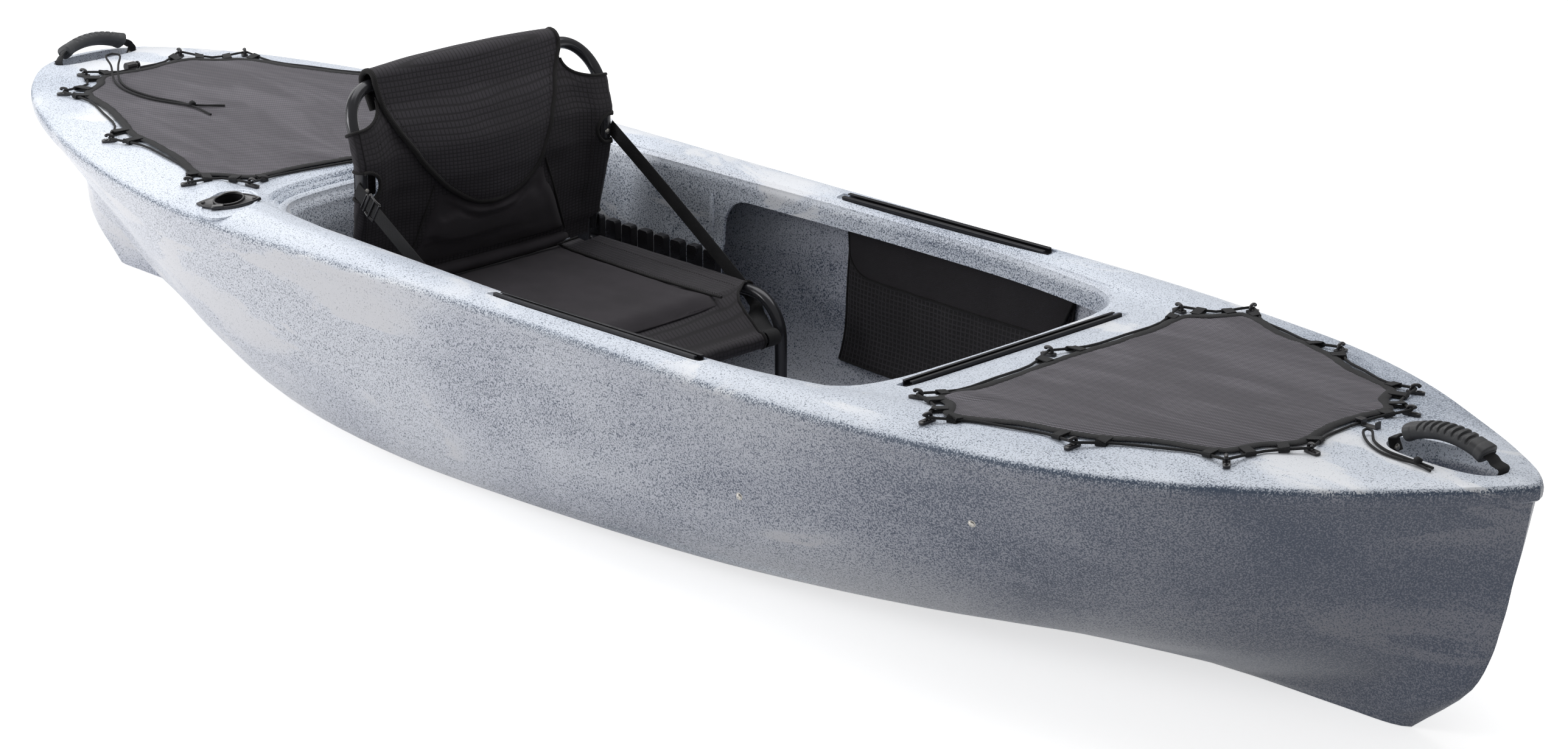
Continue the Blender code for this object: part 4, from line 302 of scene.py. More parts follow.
UPPER_BILGE = [
    (1.493, 0.0, 0.238), (1.43, 0.046, 0.226), (1.30, 0.110, 0.188), (1.15, 0.178, 0.158),
    (0.98, 0.240, 0.142), (0.72, 0.312, 0.120), (0.42, 0.352, 0.104), (0.05, 0.370, 0.098),
    (-0.28, 0.374, 0.100), (-0.55, 0.366, 0.118), (-0.76, 0.332, 0.142), (-0.90, 0.286, 0.158),
    (-1.05, 0.240, 0.178), (-1.18, 0.224, 0.228), (-1.30, 0.196, 0.276), (-1.41, 0.140, 0.300),
    (-1.49, 0.064, 0.300), (-1.519, 0.0, 0.298),
]
BILGE = [
    (1.486, 0.0, 0.200), (1.43, 0.030, 0.180), (1.30, 0.074, 0.122), (1.15, 0.128, 0.088),
    (0.98, 0.176, 0.072), (0.72, 0.232, 0.045), (0.42, 0.290, 0.033), (0.05, 0.327, 0.029),
    (-0.28, 0.336, 0.029), (-0.55, 0.312, 0.040), (-0.76, 0.268, 0.066), (-0.92, 0.228, 0.088),
    (-1.05, 0.206, 0.116), (-1.17, 0.208, 0.190), (-1.29, 0.184, 0.252), (-1.40, 0.126, 0.276),
    (-1.488, 0.050, 0.268), (-1.520, 0.0, 0.262),
]
BOTTOM = [
    (1.478, 0.0, 0.168), (1.42, 0.024, 0.137), (1.30, 0.046, 0.085), (1.15, 0.078, 0.050),
    (0.98, 0.112, 0.036), (0.72, 0.158, 0.020), (0.42, 0.208, 0.014), (0.05, 0.236, 0.012),
    (-0.28, 0.240, 0.012), (-0.55, 0.220, 0.017), (-0.76, 0.184, 0.034), (-0.92, 0.152, 0.056),
    (-1.06, 0.130, 0.082), (-1.18, 0.116, 0.122), (-1.29, 0.098, 0.160), (-1.40, 0.078, 0.192),
    (-1.488, 0.040, 0.212), (-1.521, 0.0, 0.220),
]
GARBOARD = [
    (1.468, 0.0, 0.132), (1.405, 0.019, 0.096), (1.30, 0.026, 0.058), (1.15, 0.040, 0.024),
    (0.98, 0.062, 0.012), (0.72, 0.092, 0.005), (0.42, 0.126, 0.0035), (0.05, 0.142, 0.003),
    (-0.28, 0.142, 0.003), (-0.55, 0.130, 0.004), (-0.76, 0.098, 0.010), (-0.92, 0.070, 0.026),
    (-1.06, 0.054, 0.048), (-1.18, 0.050, 0.078), (-1.29, 0.048, 0.098), (-1.40, 0.042, 0.120),
    (-1.48, 0.026, 0.142), (-1.522, 0.0, 0.160),
]
FIN = [
    (1.441, 0.0, 0.078), (1.385, 0.013, 0.040), (1.30, 0.017, 0.022), (1.15, 0.024, 0.008),
    (0.98, 0.036, 0.004), (0.72, 0.056, 0.0015), (0.42, 0.080, 0.001), (0.05, 0.092, 0.001),
    (-0.28, 0.092, 0.001), (-0.55, 0.082, 0.0015), (-0.76, 0.058, 0.003), (-0.92, 0.034, 0.006),
    (-1.06, 0.024, 0.012), (-1.20, 0.023, 0.024), (-1.32, 0.022, 0.036), (-1.42, 0.019, 0.050),
    (-1.49, 0.012, 0.066), (-1.515, 0.0, 0.080),
]
KEEL = [
    (1.352, 0.0, 0.0), (1.335, 0.009, 0.0), (1.25, 0.013, 0.0), (1.12, 0.016, 0.0),
    (0.98, 0.026, 0.0), (0.72, 0.044, 0.0), (0.42, 0.066, 0.0), (0.05, 0.078, 0.0),
    (-0.28, 0.078, 0.0), (-0.55, 0.068, 0.0), (-0.76, 0.044, 0.0), (-0.92, 0.024, 0.0),
    (-1.06, 0.016, 0.0), (-1.18, 0.015, 0.0), (-1.28, 0.014, 0.0), (-1.35, 0.013, 0.0),
    (-1.422, 0.009, 0.0), (-1.430, 0.0, 0.0),
]
COCKPIT = [
    (0.628, 0.0), (0.627, 0.11), (0.622, 0.200), (0.602, 0.258), (0.560, 0.290), (0.500, 0.303),
    (0.380, 0.317), (0.200, 0.3225), (0.0, 0.3220), (-0.200, 0.3160), (-0.380, 0.3100),
    (-0.500, 0.3060), (-0.560, 0.296), (-0.596, 0.262), (-0.611, 0.200), (-0.615, 0.11), (-0.616, 0.0),
]
# Wall that hangs inside the cockpit: height, inset at the sides, inset across the back, widest
WALL = [
    (0.300, 0.006, 0.020, SEAT_HALF_WIDTH + SEAT_SIDE_ROOM[0]),
    (0.200, 0.007, 0.040, SEAT_HALF_WIDTH + SEAT_SIDE_ROOM[1]),
    (WALL_FOOT_Z, 0.012, 0.060, SEAT_HALF_WIDTH + SEAT_SIDE_ROOM[2]),
]

SIDES = ((1, "port"), (-1, "starboard"))


# Numbers and lines

def circle(count):
    """Points round a unit circle."""
    return [(cos(tau * i / count), sin(tau * i / count)) for i in range(count)]


def spread(low, high, count):
    """Values from low to high in equal steps, both ends included."""
    return [low + (high - low) * i / count for i in range(count + 1)]


def between(value, marks, levels):
    """Straight-line level at a value."""
    return float(np.interp(value, marks, levels))


def neighbours(points, i):
    """The points before and after one, or itself at an end."""
    return points[max(i - 1, 0)], points[min(i + 1, len(points) - 1)]


def run_lengths(line):
    """How far along a line each of its points is."""
    return np.concatenate([[0.0], np.cumsum(np.linalg.norm(np.diff(line, axis=0), axis=1))])


def at_length(distance, lengths, line):
    return Vector([between(distance, lengths, line[:, k]) for k in range(3)])


def arc(centre, radius, start, end, steps):
    """Points of an arc in a plane, angles in degrees."""
    turns = [radians(turn) for turn in spread(start, end, steps)]
    return [(centre[0] + radius * cos(a), centre[1] + radius * sin(a)) for a in turns]


def rounded(corners, radius, steps=4):
    """Outline with its corners rounded, corners given anticlockwise."""
    outline = []
    count = len(corners)
    for i in range(count):
        here = Vector(corners[i])
        back = (Vector(corners[i - 1]) - here).normalized()
        on = (Vector(corners[(i + 1) % count]) - here).normalized()
        half = back.angle(on) / 2
        reach = radius / tan(half)
        centre = here + (back + on).normalized() * radius / sin(half)
        first = here + back * reach - centre
        last = here + on * reach - centre
        turn = first.angle_signed(last)
        for step in range(steps + 1):
            outline.append(tuple(centre + Matrix.Rotation(-turn * step / steps, 2) @ first))
    return outline


def mirrored(place):
    return (place[0], -place[1], *place[2:])


def spline_point(p0, p1, p2, p3, t):
    """Point at t on a centripetal Catmull-Rom span from p1 to p2."""
    k0 = 0.0
    k1 = k0 + max(np.linalg.norm(p1 - p0), 1e-9) ** 0.5
    k2 = k1 + max(np.linalg.norm(p2 - p1), 1e-9) ** 0.5
    k3 = k2 + max(np.linalg.norm(p3 - p2), 1e-9) ** 0.5
    k = k1 + (k2 - k1) * t
    a1 = (p0 * (k1 - k) + p1 * (k - k0)) / (k1 - k0)
    a2 = (p1 * (k2 - k) + p2 * (k - k1)) / (k2 - k1)
    a3 = (p2 * (k3 - k) + p3 * (k - k2)) / (k3 - k2)
    b1 = (a1 * (k2 - k) + a2 * (k - k0)) / (k2 - k0)
    b2 = (a2 * (k3 - k) + a3 * (k - k1)) / (k3 - k1)
    return (b1 * (k2 - k) + b2 * (k - k1)) / (k2 - k1)


def smooth(points, first=None, last=None, steps=12):
    """Dense points along a smooth curve; first and last are the ghosts beyond its ends, else straight on."""
    if first is None:
        first = 2 * Vector(points[0]) - Vector(points[1])
        last = 2 * Vector(points[-1]) - Vector(points[-2])
    p = [np.array(q, float) for q in [first, *points, last]]
    dense = [spline_point(*p[i - 1:i + 3], step / steps)
             for i in range(1, len(p) - 2) for step in range(steps)]
    return np.array(dense + [p[-2]])


def spaced(dense, fractions):
    """Points at the given fractions of a dense line's length."""
    lengths = run_lengths(dense)
    wanted = np.array(fractions) * lengths[-1]
    return np.stack([np.interp(wanted, lengths, dense[:, axis]) for axis in range(3)], axis=1)


def crowded(count):
    """Fractions from 0 to 1 that crowd towards both ends."""
    return [u - END_CROWDING * sin(tau * u) / tau for u in spread(0, 1, count)]


def ellipse(half_x, half_y, count, power=2.0):
    """Outline with half sizes; a higher power squares its ends."""
    outline = []
    for i in range(count):
        a = 2 * pi * i / count
        c, s = cos(a), sin(a)
        outline.append((
            half_x * copysign(abs(c) ** (2 / power), c),
            half_y * copysign(abs(s) ** (2 / power), s)))
    return outline


def half_line(points, fractions):
    """Smooth half ring on the port side, from the bow end to the stern end."""
    return spaced(smooth(points, mirrored(points[1]), mirrored(points[-2])), fractions)


def whole_ring(half):
    """Closed ring of vectors: port half bow to stern, then starboard half back."""
    port = [Vector(p) for p in half]
    starboard = [Vector((p[0], -p[1], p[2])) for p in half[-2:0:-1]]
    port[0].y = 0.0
    port[-1].y = 0.0
    return port + starboard


def across(halves, position):
    """Half ring between given half rings, smooth across them, at a fractional position."""
    i = min(int(position), len(halves) - 2)
    t = position - i
    before = halves[max(i - 1, 0)] if i > 0 else 2 * halves[0] - halves[1]
    after = halves[i + 2] if i + 2 < len(halves) else 2 * halves[-1] - halves[-2]
    return np.array([spline_point(*points, t) for points in zip(before, halves[i], halves[i + 1], after)])


def cockpit_half(outward, aft_outward, height):
    """Half ring round the cockpit, moved outwards from its rim."""
    fractions = [u + CORNER_CROWDING * sin(2 * tau * u) / (2 * tau) for u in spread(0, 1, RING_SPANS)]
    half = half_line([(x, y, height) for x, y in COCKPIT], fractions)
    moved = half.copy()
    for i in range(len(half)):
        behind, ahead = neighbours(half, i)
        run = (ahead - behind)[:2]
        if i in (0, len(half) - 1):
            run = np.array([0.0, 1.0 if i == 0 else -1.0])
        normal = np.array([-run[1], run[0]]) / np.linalg.norm(run) * -1
        share = min(1.0, max(0.0, -normal[0]))
        moved[i, :2] += normal * (outward * (1 - share) + aft_outward * share)
    return moved


def fold_noise(a, b, c, size):
    return noise.noise(Vector((a, b, c))) * size


def upright_frame(ahead, side, up, origin):
    """Matrix from three directions and a place."""
    matrix = Matrix((ahead, side, up)).transposed().to_4x4()
    matrix.translation = origin
    return matrix


# Studio and materials

class Nodes:
    """A shader node tree with short ways to add procedural texture."""

    def __init__(self, tree, place=None):
        self.tree = tree
        self.place = place

    def fill(self, made, values):
        for key, value in values.items():
            socket = made.inputs[key]
            if isinstance(value, bpy.types.NodeSocket):
                self.tree.links.new(value, socket)
            else:
                socket.default_value = (*value, 1.0) if socket.type == "RGBA" and len(value) == 3 else value

    def node(self, kind, inputs=None, out=0, **settings):
        made = self.tree.nodes.new("ShaderNode" + kind)
        for key, value in settings.items():
            setattr(made, key, value)
        self.fill(made, inputs or {})
        return made.outputs[out]

    def effect(self, name, **values):
        """The shared node group of that name, with this material's own values."""
        made = self.tree.nodes.new("ShaderNodeGroup")
        made.node_tree = bpy.data.node_groups[name]
        if "Place" in made.inputs:
            values.setdefault("Place", self.place)
        self.fill(made, values)
        return made.outputs["Result"]

    def uneven(self, scale, detail, least=0.0, most=1.0):
        return self.effect("uneven_tone", Scale=scale, Detail=detail, Least=least, Most=most)

    def split(self, vector=None):
        return self.node("SeparateXYZ", {0: vector or self.place}).node.outputs

    def stretched(self, factors, turn=(0, 0, 0)):
        return self.node("Mapping", {"Vector": self.place, "Scale": factors, "Rotation": turn})

    def noise(self, scale, detail=2.0, rough=0.5, distortion=0.0, vector=None):
        return self.node("TexNoise", {
            "Vector": vector or self.place, "Scale": scale, "Detail": detail, "Roughness": rough,
            "Distortion": distortion})

    def maths(self, operation, first, second=0.0):
        return self.node("Math", {0: first, 1: second}, operation=operation)

    def times(self, first, second):
        return self.maths("MULTIPLY", first, second)

    def plus(self, first, second):
        return self.maths("ADD", first, second)

    def waves(self, value, pitch):
        return self.maths("SINE", self.times(value, pitch))

    def ramp(self, value, low, high, bottom=0.0, top=1.0):
        return self.node("MapRange", {
            "Value": value, "From Min": low, "From Max": high, "To Min": bottom, "To Max": top},
            interpolation_type="SMOOTHSTEP")

    def mix(self, factor, first, second):
        return self.node("Mix", {0: factor, 6: first, 7: second}, out=2, data_type="RGBA")

    def mix_value(self, factor, first, second):
        return self.node("MapRange", {"Value": factor, "To Min": first, "To Max": second})

    def bump(self, height, strength, distance):
        return self.node("Bump", {"Height": height, "Strength": strength, "Distance": distance})

    def seen_by(self, other):
        """1 for rays from the camera and for one other kind of ray."""
        rays = self.node("LightPath").node.outputs
        return self.maths("MAXIMUM", rays["Is Camera Ray"], rays[other])


class Graph(Nodes):
    """The node tree of one material."""

    def __init__(self, name):
        self.made = bpy.data.materials.new(name)
        self.made.use_nodes = True
        super().__init__(self.made.node_tree)
        self.place = self.node("TexCoord", out="Object")

    def finish(self, **values):
        sockets = {key.replace("_", " ").title().replace("Ior", "IOR"): value
                   for key, value in values.items()}
        self.fill(self.tree.nodes["Principled BSDF"], sockets)
        return self.made

    def finish_cloth(self, tone, roughness, sheen, height, strength, distance=0.0006):
        """Rough cloth; sheen gives its weight, its roughness and the specular level."""
        return self.finish(
            base_color=tone, roughness=roughness, sheen_weight=sheen[0], sheen_roughness=sheen[1],
            specular_ior_level=sheen[2], normal=self.bump(height, strength, distance))


def make_camera():
    """Camera at the photograph's viewing angle."""
    data = bpy.data.cameras.new("camera")
    data.sensor_fit = "HORIZONTAL"
    data.sensor_width = SENSOR_WIDTH
    data.lens = SENSOR_WIDTH * FOCAL_PIXELS / FRAME_PIXELS
    data.clip_end = 60.0
    camera = bpy.data.objects.new("camera", data)
    bpy.context.scene.collection.objects.link(camera)
    yaw, pitch = radians(CAMERA_YAW), radians(CAMERA_PITCH)
    ahead = Vector((sin(yaw) * cos(pitch), cos(yaw) * cos(pitch), -sin(pitch)))
    right = ahead.cross(UP).normalized()
    turn = Matrix((right, right.cross(ahead), -ahead)).transposed()
    camera.matrix_world = Matrix.Translation(CAMERA_AT) @ turn.to_4x4()
    bpy.context.scene.camera = camera


def make_light(name, place, target, size, power):
    data = bpy.data.lights.new(name, "AREA")
    data.shape = "RECTANGLE"
    data.size, data.size_y = size
    data.energy = power
    lamp = bpy.data.objects.new(name, data)
    lamp.location = place
    aim = Vector(target) - Vector(place)
    lamp.rotation_euler = aim.to_track_quat("-Z", "Y").to_euler()
    bpy.context.scene.collection.objects.link(lamp)


def make_studio():
    """White floor to the eye and in reflections, which keeps the shadow; a pale world; three lamps."""
    g = Graph("studio_floor")
    glow = g.times(g.seen_by("Is Glossy Ray"), FLOOR_GLOW)
    white = g.finish(base_color=(0.80, 0.80, 0.80), roughness=0.9,
                     emission_color=(1.0, 1.0, 1.0), emission_strength=glow)
    shape = bmesh.new()
    bmesh.ops.create_grid(shape, x_segments=1, y_segments=1, size=14.0)
    floor = from_bmesh("floor", shape, False)
    floor.location.z = -0.001
    floor.data.materials.append(white)
    world = bpy.data.worlds.new("studio")
    world.use_nodes = True
    g = Nodes(world.node_tree)
    level = g.mix_value(g.seen_by("Is Transmission Ray"), WORLD_LEVEL, 1.0)
    g.fill(g.tree.nodes["Background"], {"Color": (1.0, 1.0, 1.0), "Strength": level})
    bpy.context.scene.world = world
    for lamp in LAMPS:
        make_light(*lamp)
    bpy.context.scene.view_settings.view_transform = "Standard"


def new_effect(name, numbers, place=True):
    """Empty node group with named inputs and a Result; returns its nodes, its inputs and the Result."""
    tree = bpy.data.node_groups.new(name, "ShaderNodeTree")
    if place:
        tree.interface.new_socket("Place", in_out="INPUT", socket_type="NodeSocketVector")
    for socket in numbers:
        tree.interface.new_socket(socket, in_out="INPUT", socket_type="NodeSocketFloat")
    tree.interface.new_socket("Result", in_out="OUTPUT", socket_type="NodeSocketFloat")
    given = tree.nodes.new("NodeGroupInput").outputs
    result = tree.nodes.new("NodeGroupOutput").inputs["Result"]
    return Nodes(tree, given[0]), given, result


def make_effects():
    """The patterns that several materials share."""
    g, given, result = new_effect("uneven_tone", ("Scale", "Detail", "Least", "Most"))
    cloud = g.noise(given["Scale"], given["Detail"], 0.55)
    g.tree.links.new(g.ramp(cloud, 0.3, 0.7, given["Least"], given["Most"]), result)
    g, given, result = new_effect("woven_threads", ("Pitch",))
    step = g.maths("DIVIDE", tau, given["Pitch"])
    x, y, z = [g.waves(value, step) for value in g.split()]
    g.tree.links.new(g.maths("MAXIMUM", g.times(x, y), g.times(y, z)), result)
    g, given, result = new_effect("slanting_ribs", ("Pitch",))
    x, y, z = g.split()
    g.tree.links.new(g.waves(g.plus(g.plus(x, y), z), g.maths("DIVIDE", tau, given["Pitch"])), result)
    g, given, result = new_effect("raised_cells", ("Wide", "High", "Across", "Down"), False)
    walls = []
    for value, pitch in (("Wide", "Across"), ("High", "Down")):
        turn = g.waves(given[value], g.maths("DIVIDE", pi, given[pitch]))
        walls.append(g.ramp(g.maths("ABSOLUTE", turn), 0.12, 0.72))
    g.tree.links.new(g.times(*walls), result)


def hull_finish():
    """Speckled polyethylene: pale deck, soft clouds of dark speckle, smooth bare patches; the greyer sides
    are painted darker as shade, darker and more speckled again towards the bow, and darkest at the stem as
    painted shade.
    """
    g = Graph("granite_polyethylene")
    deck = g.node("Attribute", out="Fac", attribute_name="deck")
    edge = g.node("Attribute", out="Fac", attribute_name="edge")
    side = g.maths("SUBTRACT", 1.0, deck)
    # Painted shade along the hull: the sides darken towards the bow, and the stem more still.
    fore = g.ramp(g.split()[0], -0.10, 1.45)
    stem_shade = g.times(side, g.ramp(g.split()[0], 0.95, 1.45, 0.0, 0.75))
    cloud = g.noise(1.6, 4.0, 0.50, 0.5, g.stretched((1.0, 1.5, 2.4), (0, 0.25, 0)))
    streak = g.noise(4.2, 6.0, 0.58, 1.1, g.stretched((0.7, 1.4, 2.6), (0, 0.25, 0.4)))
    grain = g.plus(g.times(g.noise(440.0, 2.0, 0.6), 0.65), g.times(g.noise(1300.0, 1.0, 0.5), 0.35))
    marble = g.times(g.ramp(cloud, 0.48, 0.70), g.ramp(streak, 0.40, 0.64, 0.45, 1.0))
    bare = g.times(g.ramp(streak, 0.465, 0.405), g.ramp(cloud, 0.54, 0.46))
    density = g.times(marble, g.mix_value(side, 0.100, 0.062))
    # Denser speckle on the rim band, and as painted shade in the ledge grooves and inside the cockpit; this
    # and the sides' speckle grow towards the bow and at the stem as painted shade.
    density = g.plus(density, g.times(edge, g.mix_value(fore, 0.085, 0.160)))
    density = g.plus(density, g.times(side, g.mix_value(fore, 0.020, 0.062)))
    density = g.plus(density, g.times(stem_shade, 0.060))
    density = g.maths("SUBTRACT", density, g.times(bare, g.mix_value(fore, 0.070, 0.058)))
    speck = g.ramp(g.plus(grain, density), 0.535, 0.625)
    # The sides' colours are painted shade: darker than the deck, and darker again towards the bow.
    pale = g.mix(side, (0.66, 0.705, 0.785), g.mix(fore, (0.590, 0.610, 0.670), (0.310, 0.320, 0.365)))
    smooth_patch = g.mix(side, (0.76, 0.78, 0.82), g.mix(fore, (0.580, 0.585, 0.620), (0.345, 0.345, 0.370)))
    cloudy = g.mix(side, (0.56, 0.61, 0.70), g.mix(fore, (0.520, 0.540, 0.610), (0.260, 0.272, 0.325)))
    light = g.mix(bare, g.mix(g.ramp(cloud, 0.44, 0.66), pale, cloudy), smooth_patch)
    # Painted shade at the stem.
    light = g.mix(stem_shade, light, (0.175, 0.185, 0.230))
    # The sides' specks are a little darker, as painted shade.
    dark = g.mix(side, (0.070, 0.098, 0.150), (0.060, 0.078, 0.120))
    return g.finish(
        base_color=g.mix(speck, light, dark), roughness=g.ramp(cloud, 0.3, 0.7, 0.34, 0.46),
        specular_ior_level=0.45, normal=g.bump(g.noise(420.0, 3.0, 0.55), 0.14, 0.0012))


def shade(colour, factor):
    return tuple(c * factor for c in colour)


def plastic_finish(name, colour, roughness, texture=900.0, strength=0.12):
    g = Graph(name)
    tone = g.mix(g.uneven(60.0, 3.0), colour, shade(colour, 1.35))
    rough = g.uneven(25.0, 4.0, roughness - 0.05, roughness + 0.08)
    return g.finish(base_color=tone, roughness=rough, normal=g.bump(g.noise(texture, 2.0), strength, 0.0006))


def metal_finish(name, colour, roughness, metallic):
    g = Graph(name)
    worn = g.uneven(38.0, 5.0, roughness - 0.05, roughness + 0.10)
    tone = g.mix(g.uneven(9.0, 3.0), colour, shade(colour, 1.25))
    return g.finish(base_color=tone, roughness=worn, metallic=metallic,
                    normal=g.bump(g.noise(500.0), 0.05, 0.0003))


def cloth_finish(name, colour, pitch, strength):
    """Plain weave, painted paler on the raised threads as highlight."""
    g = Graph(name)
    threads = g.effect("woven_threads", Pitch=pitch)
    tone = g.mix(g.uneven(14.0, 4.0), colour, shade(colour, 1.5))
    # Painted highlight on the raised threads.
    tone = g.mix(g.ramp(threads, -0.6, 0.8, 0.0, 0.5), tone, shade(colour, 2.0))
    height = g.plus(threads, g.times(g.noise(1800.0, 2.0), 0.6))
    return g.finish_cloth(tone, 0.85, (0.06, 0.5, 0.3), height, strength)


def twill_finish(name, colour, pitch, strength):
    """Diagonal ribs, as on bindings and on plain pack cloth, painted paler on their crests as highlight and
    darker between them as shade.
    """
    g = Graph(name)
    ribs = g.effect("slanting_ribs", Pitch=pitch)
    # Painted highlight on the rib crests, painted shade between them.
    tone = g.mix(g.ramp(ribs, -0.7, 0.9), shade(colour, 0.6), shade(colour, 1.9))
    tone = g.mix(g.uneven(20.0, 4.0, 0.0, 0.4), tone, colour)
    return g.finish_cloth(tone, 0.8, (0.05, 0.5, 0.3), g.plus(ribs, g.times(g.noise(1600.0), 0.5)), strength)


def grid_finish(name, colour, across, down, strength, open_mesh=False):
    """Cloth of small raised cells, or a mesh of open ones on the cockpit's side; the cells' tops, or the
    mesh's threads, are painted paler as highlight, and the lines or holes between them darker as painted
    shade.
    """
    g = Graph(name)
    x, y, z = g.split()
    wide, high = (x, z) if open_mesh else (y, g.plus(x, z))
    cell = g.effect("raised_cells", Wide=wide, High=high, Across=across, Down=down)
    if open_mesh:
        cell = g.maths("SUBTRACT", 1.0, cell)
    # Painted highlight on the raised parts, painted shade in the lines or holes between them.
    top = g.mix(g.uneven(9.0, 4.0), shade(colour, 1.2), shade(colour, 1.6))
    tone = g.mix(cell, shade(colour, 0.45 if open_mesh else 0.66), top)
    threads = g.times(g.effect("woven_threads", Pitch=0.0011), 0.12)
    return g.finish_cloth(tone, 0.75, (0.08, 0.4, 0.35), g.plus(cell, threads), strength, 0.0011)


def mesh_cover_finish():
    """Open woven mesh: fine ribs one way, paler threads that catch the light."""
    g = Graph("cover_mesh")
    along, over, _ = g.split(g.stretched((1, 1, 1), (0, 0, radians(34))))
    ribs, cross = g.waves(along, tau / 0.0052), g.waves(over, tau / 0.0030)
    height = g.plus(g.times(ribs, 0.8), g.times(cross, 0.25))
    fade = g.ramp(g.noise(5.0, 5.0, 0.6, 1.4, g.stretched((0.5, 2.4, 1.0), (0, 0, 0.6))), 0.36, 0.66)
    pale = g.mix(fade, (0.112, 0.104, 0.124), (0.205, 0.192, 0.222))
    tone = g.mix(g.ramp(height, -0.4, 0.9), (0.028, 0.025, 0.032), pale)
    return g.finish_cloth(tone, 0.72, (0.10, 0.4, 0.35), height, 0.5, 0.0008)


# Meshes

def new_object(name, mesh):
    piece = bpy.data.objects.new(name, mesh)
    kayak.objects.link(piece)
    return piece


def dress(piece, surface, body="hull", smooth_angle=35):
    """Give a piece its material, smooth shading and the body that it rides on."""
    piece.data.materials.clear()
    piece.data.materials.append(surface)
    piece.data.shade_smooth()
    piece.data.set_sharp_from_angle(angle=radians(smooth_angle))
    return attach(piece, body) if body else piece


def from_bmesh(name, shape, outward=True):
    """Object of a finished form; a closed one has its faces turned outwards."""
    if outward:
        bmesh.ops.recalc_face_normals(shape, faces=shape.faces)
    mesh = bpy.data.meshes.new(name)
    shape.to_mesh(mesh)
    shape.free()
    return new_object(name, mesh)


def finished_mesh(piece):
    """Mesh that a curve or a piece's modifiers give."""
    bpy.context.view_layer.update()
    return bpy.data.meshes.new_from_object(piece.evaluated_get(bpy.context.evaluated_depsgraph_get()))


def apply_all(piece):
    """Replace a piece's mesh by the one that its modifiers give."""
    mesh = finished_mesh(piece)
    piece.modifiers.clear()
    piece.data = mesh
    return piece


def from_curve(name, curve, points, matrix=Matrix(), closed=False):
    """Mesh of a curve through points, with its loose caps welded."""
    spline = curve.splines.new("POLY")
    spline.points.add(len(points) - 1)
    for point, place in zip(spline.points, points):
        point.co = (*place, 1.0)
    spline.use_cyclic_u = closed
    wire = new_object(name + "_wire", curve)
    wire.matrix_world = matrix
    mesh = finished_mesh(wire)
    mesh.transform(wire.matrix_world)
    bpy.data.objects.remove(wire)
    shape = bmesh.new()
    shape.from_mesh(mesh)
    bmesh.ops.remove_doubles(shape, verts=shape.verts, dist=0.00002)
    bpy.data.meshes.remove(mesh)
    return from_bmesh(name, shape)


def tube(name, points, diameter, resolution=2):
    """Round bar or tube along points."""
    curve = bpy.data.curves.new(name, "CURVE")
    curve.dimensions = "3D"
    curve.bevel_depth = diameter / 2
    curve.bevel_resolution = resolution
    curve.use_fill_caps = True
    return from_curve(name, curve, points)


def plate(name, outline, thickness, matrix=Matrix()):
    """Flat outline in its own XY plane, thickness centred on it."""
    curve = bpy.data.curves.new(name, "CURVE")
    curve.dimensions = "2D"
    curve.fill_mode = "BOTH"
    curve.extrude = thickness / 2
    return from_curve(name, curve, [(x, y, 0.0) for x, y in outline], matrix, True)


def box(name, size, centre, bevel, matrix=Matrix()):
    """Block with chamfered edges."""
    shape = bmesh.new()
    bmesh.ops.create_cube(shape, size=1.0)
    bmesh.ops.scale(shape, vec=size, verts=shape.verts)
    bmesh.ops.bevel(shape, geom=shape.edges[:], offset=bevel, segments=1, affect="EDGES")
    bmesh.ops.translate(shape, vec=centre, verts=shape.verts)
    shape.transform(matrix)
    return from_bmesh(name, shape)


def rod(name, radius, length, matrix, sides=12):
    """Cylinder centred on the matrix, along its local Z."""
    shape = bmesh.new()
    bmesh.ops.create_cone(
        shape, cap_ends=True, segments=sides, radius1=radius, radius2=radius, depth=length, matrix=matrix)
    return from_bmesh(name, shape)


def lay_faces(shape, rings, closed, endless=False):
    """Vertices of each ring and the faces from ring to ring; returns the rows of vertices."""
    rows = [[shape.verts.new(place) for place in ring] for ring in rings]
    count = len(rows[0])
    for lower, upper in zip(rows, rows[1:] + (rows[:1] if endless else [])):
        for i in range(count if closed else count - 1):
            j = (i + 1) % count
            shape.faces.new((lower[i], lower[j], upper[j], upper[i]))
    return rows


def loft(name, rings):
    """Closed skin over rings of equal count, capped at both ends."""
    shape = bmesh.new()
    rows = lay_faces(shape, rings, True)
    shape.faces.new(rows[0])
    shape.faces.new(rows[-1])
    return from_bmesh(name, shape)


def ribbon(name, points, width_along, size):
    """Flat strap of the given width and thickness along points; width_along gives its side direction."""
    width, thick = size
    rings = []
    for i, point in enumerate(points):
        behind, ahead = neighbours(points, i)
        run = (ahead - behind).normalized()
        side = (width_along - run * width_along.dot(run)).normalized()
        miter = 1.0
        if 0 < i < len(points) - 1:
            turn = (point - behind).normalized().angle((ahead - point).normalized())
            miter = 1.0 / max(cos(turn / 2), 0.5)
        out = run.cross(side) * thick / 2 * miter
        side = side * width / 2
        rings.append([point - side - out, point + side - out, point + side + out, point - side + out])
    return loft(name, rings)


def boolean(target, tool, operation):
    """Join or cut with the exact solver, applied at once; the tool is used up."""
    step = target.modifiers.new(operation.lower(), "BOOLEAN")
    step.operation = operation
    step.object = tool
    step.solver = "EXACT"
    apply_all(target)
    bpy.data.objects.remove(tool)
    return target


def join_parts(name, pieces, outward=False):
    """One object of several pieces, each kept as a shell of its own."""
    shape = bmesh.new()
    for piece in pieces:
        piece.data.transform(piece.matrix_world)
        shape.from_mesh(piece.data)
        bpy.data.objects.remove(piece)
    return from_bmesh(name, shape, outward)


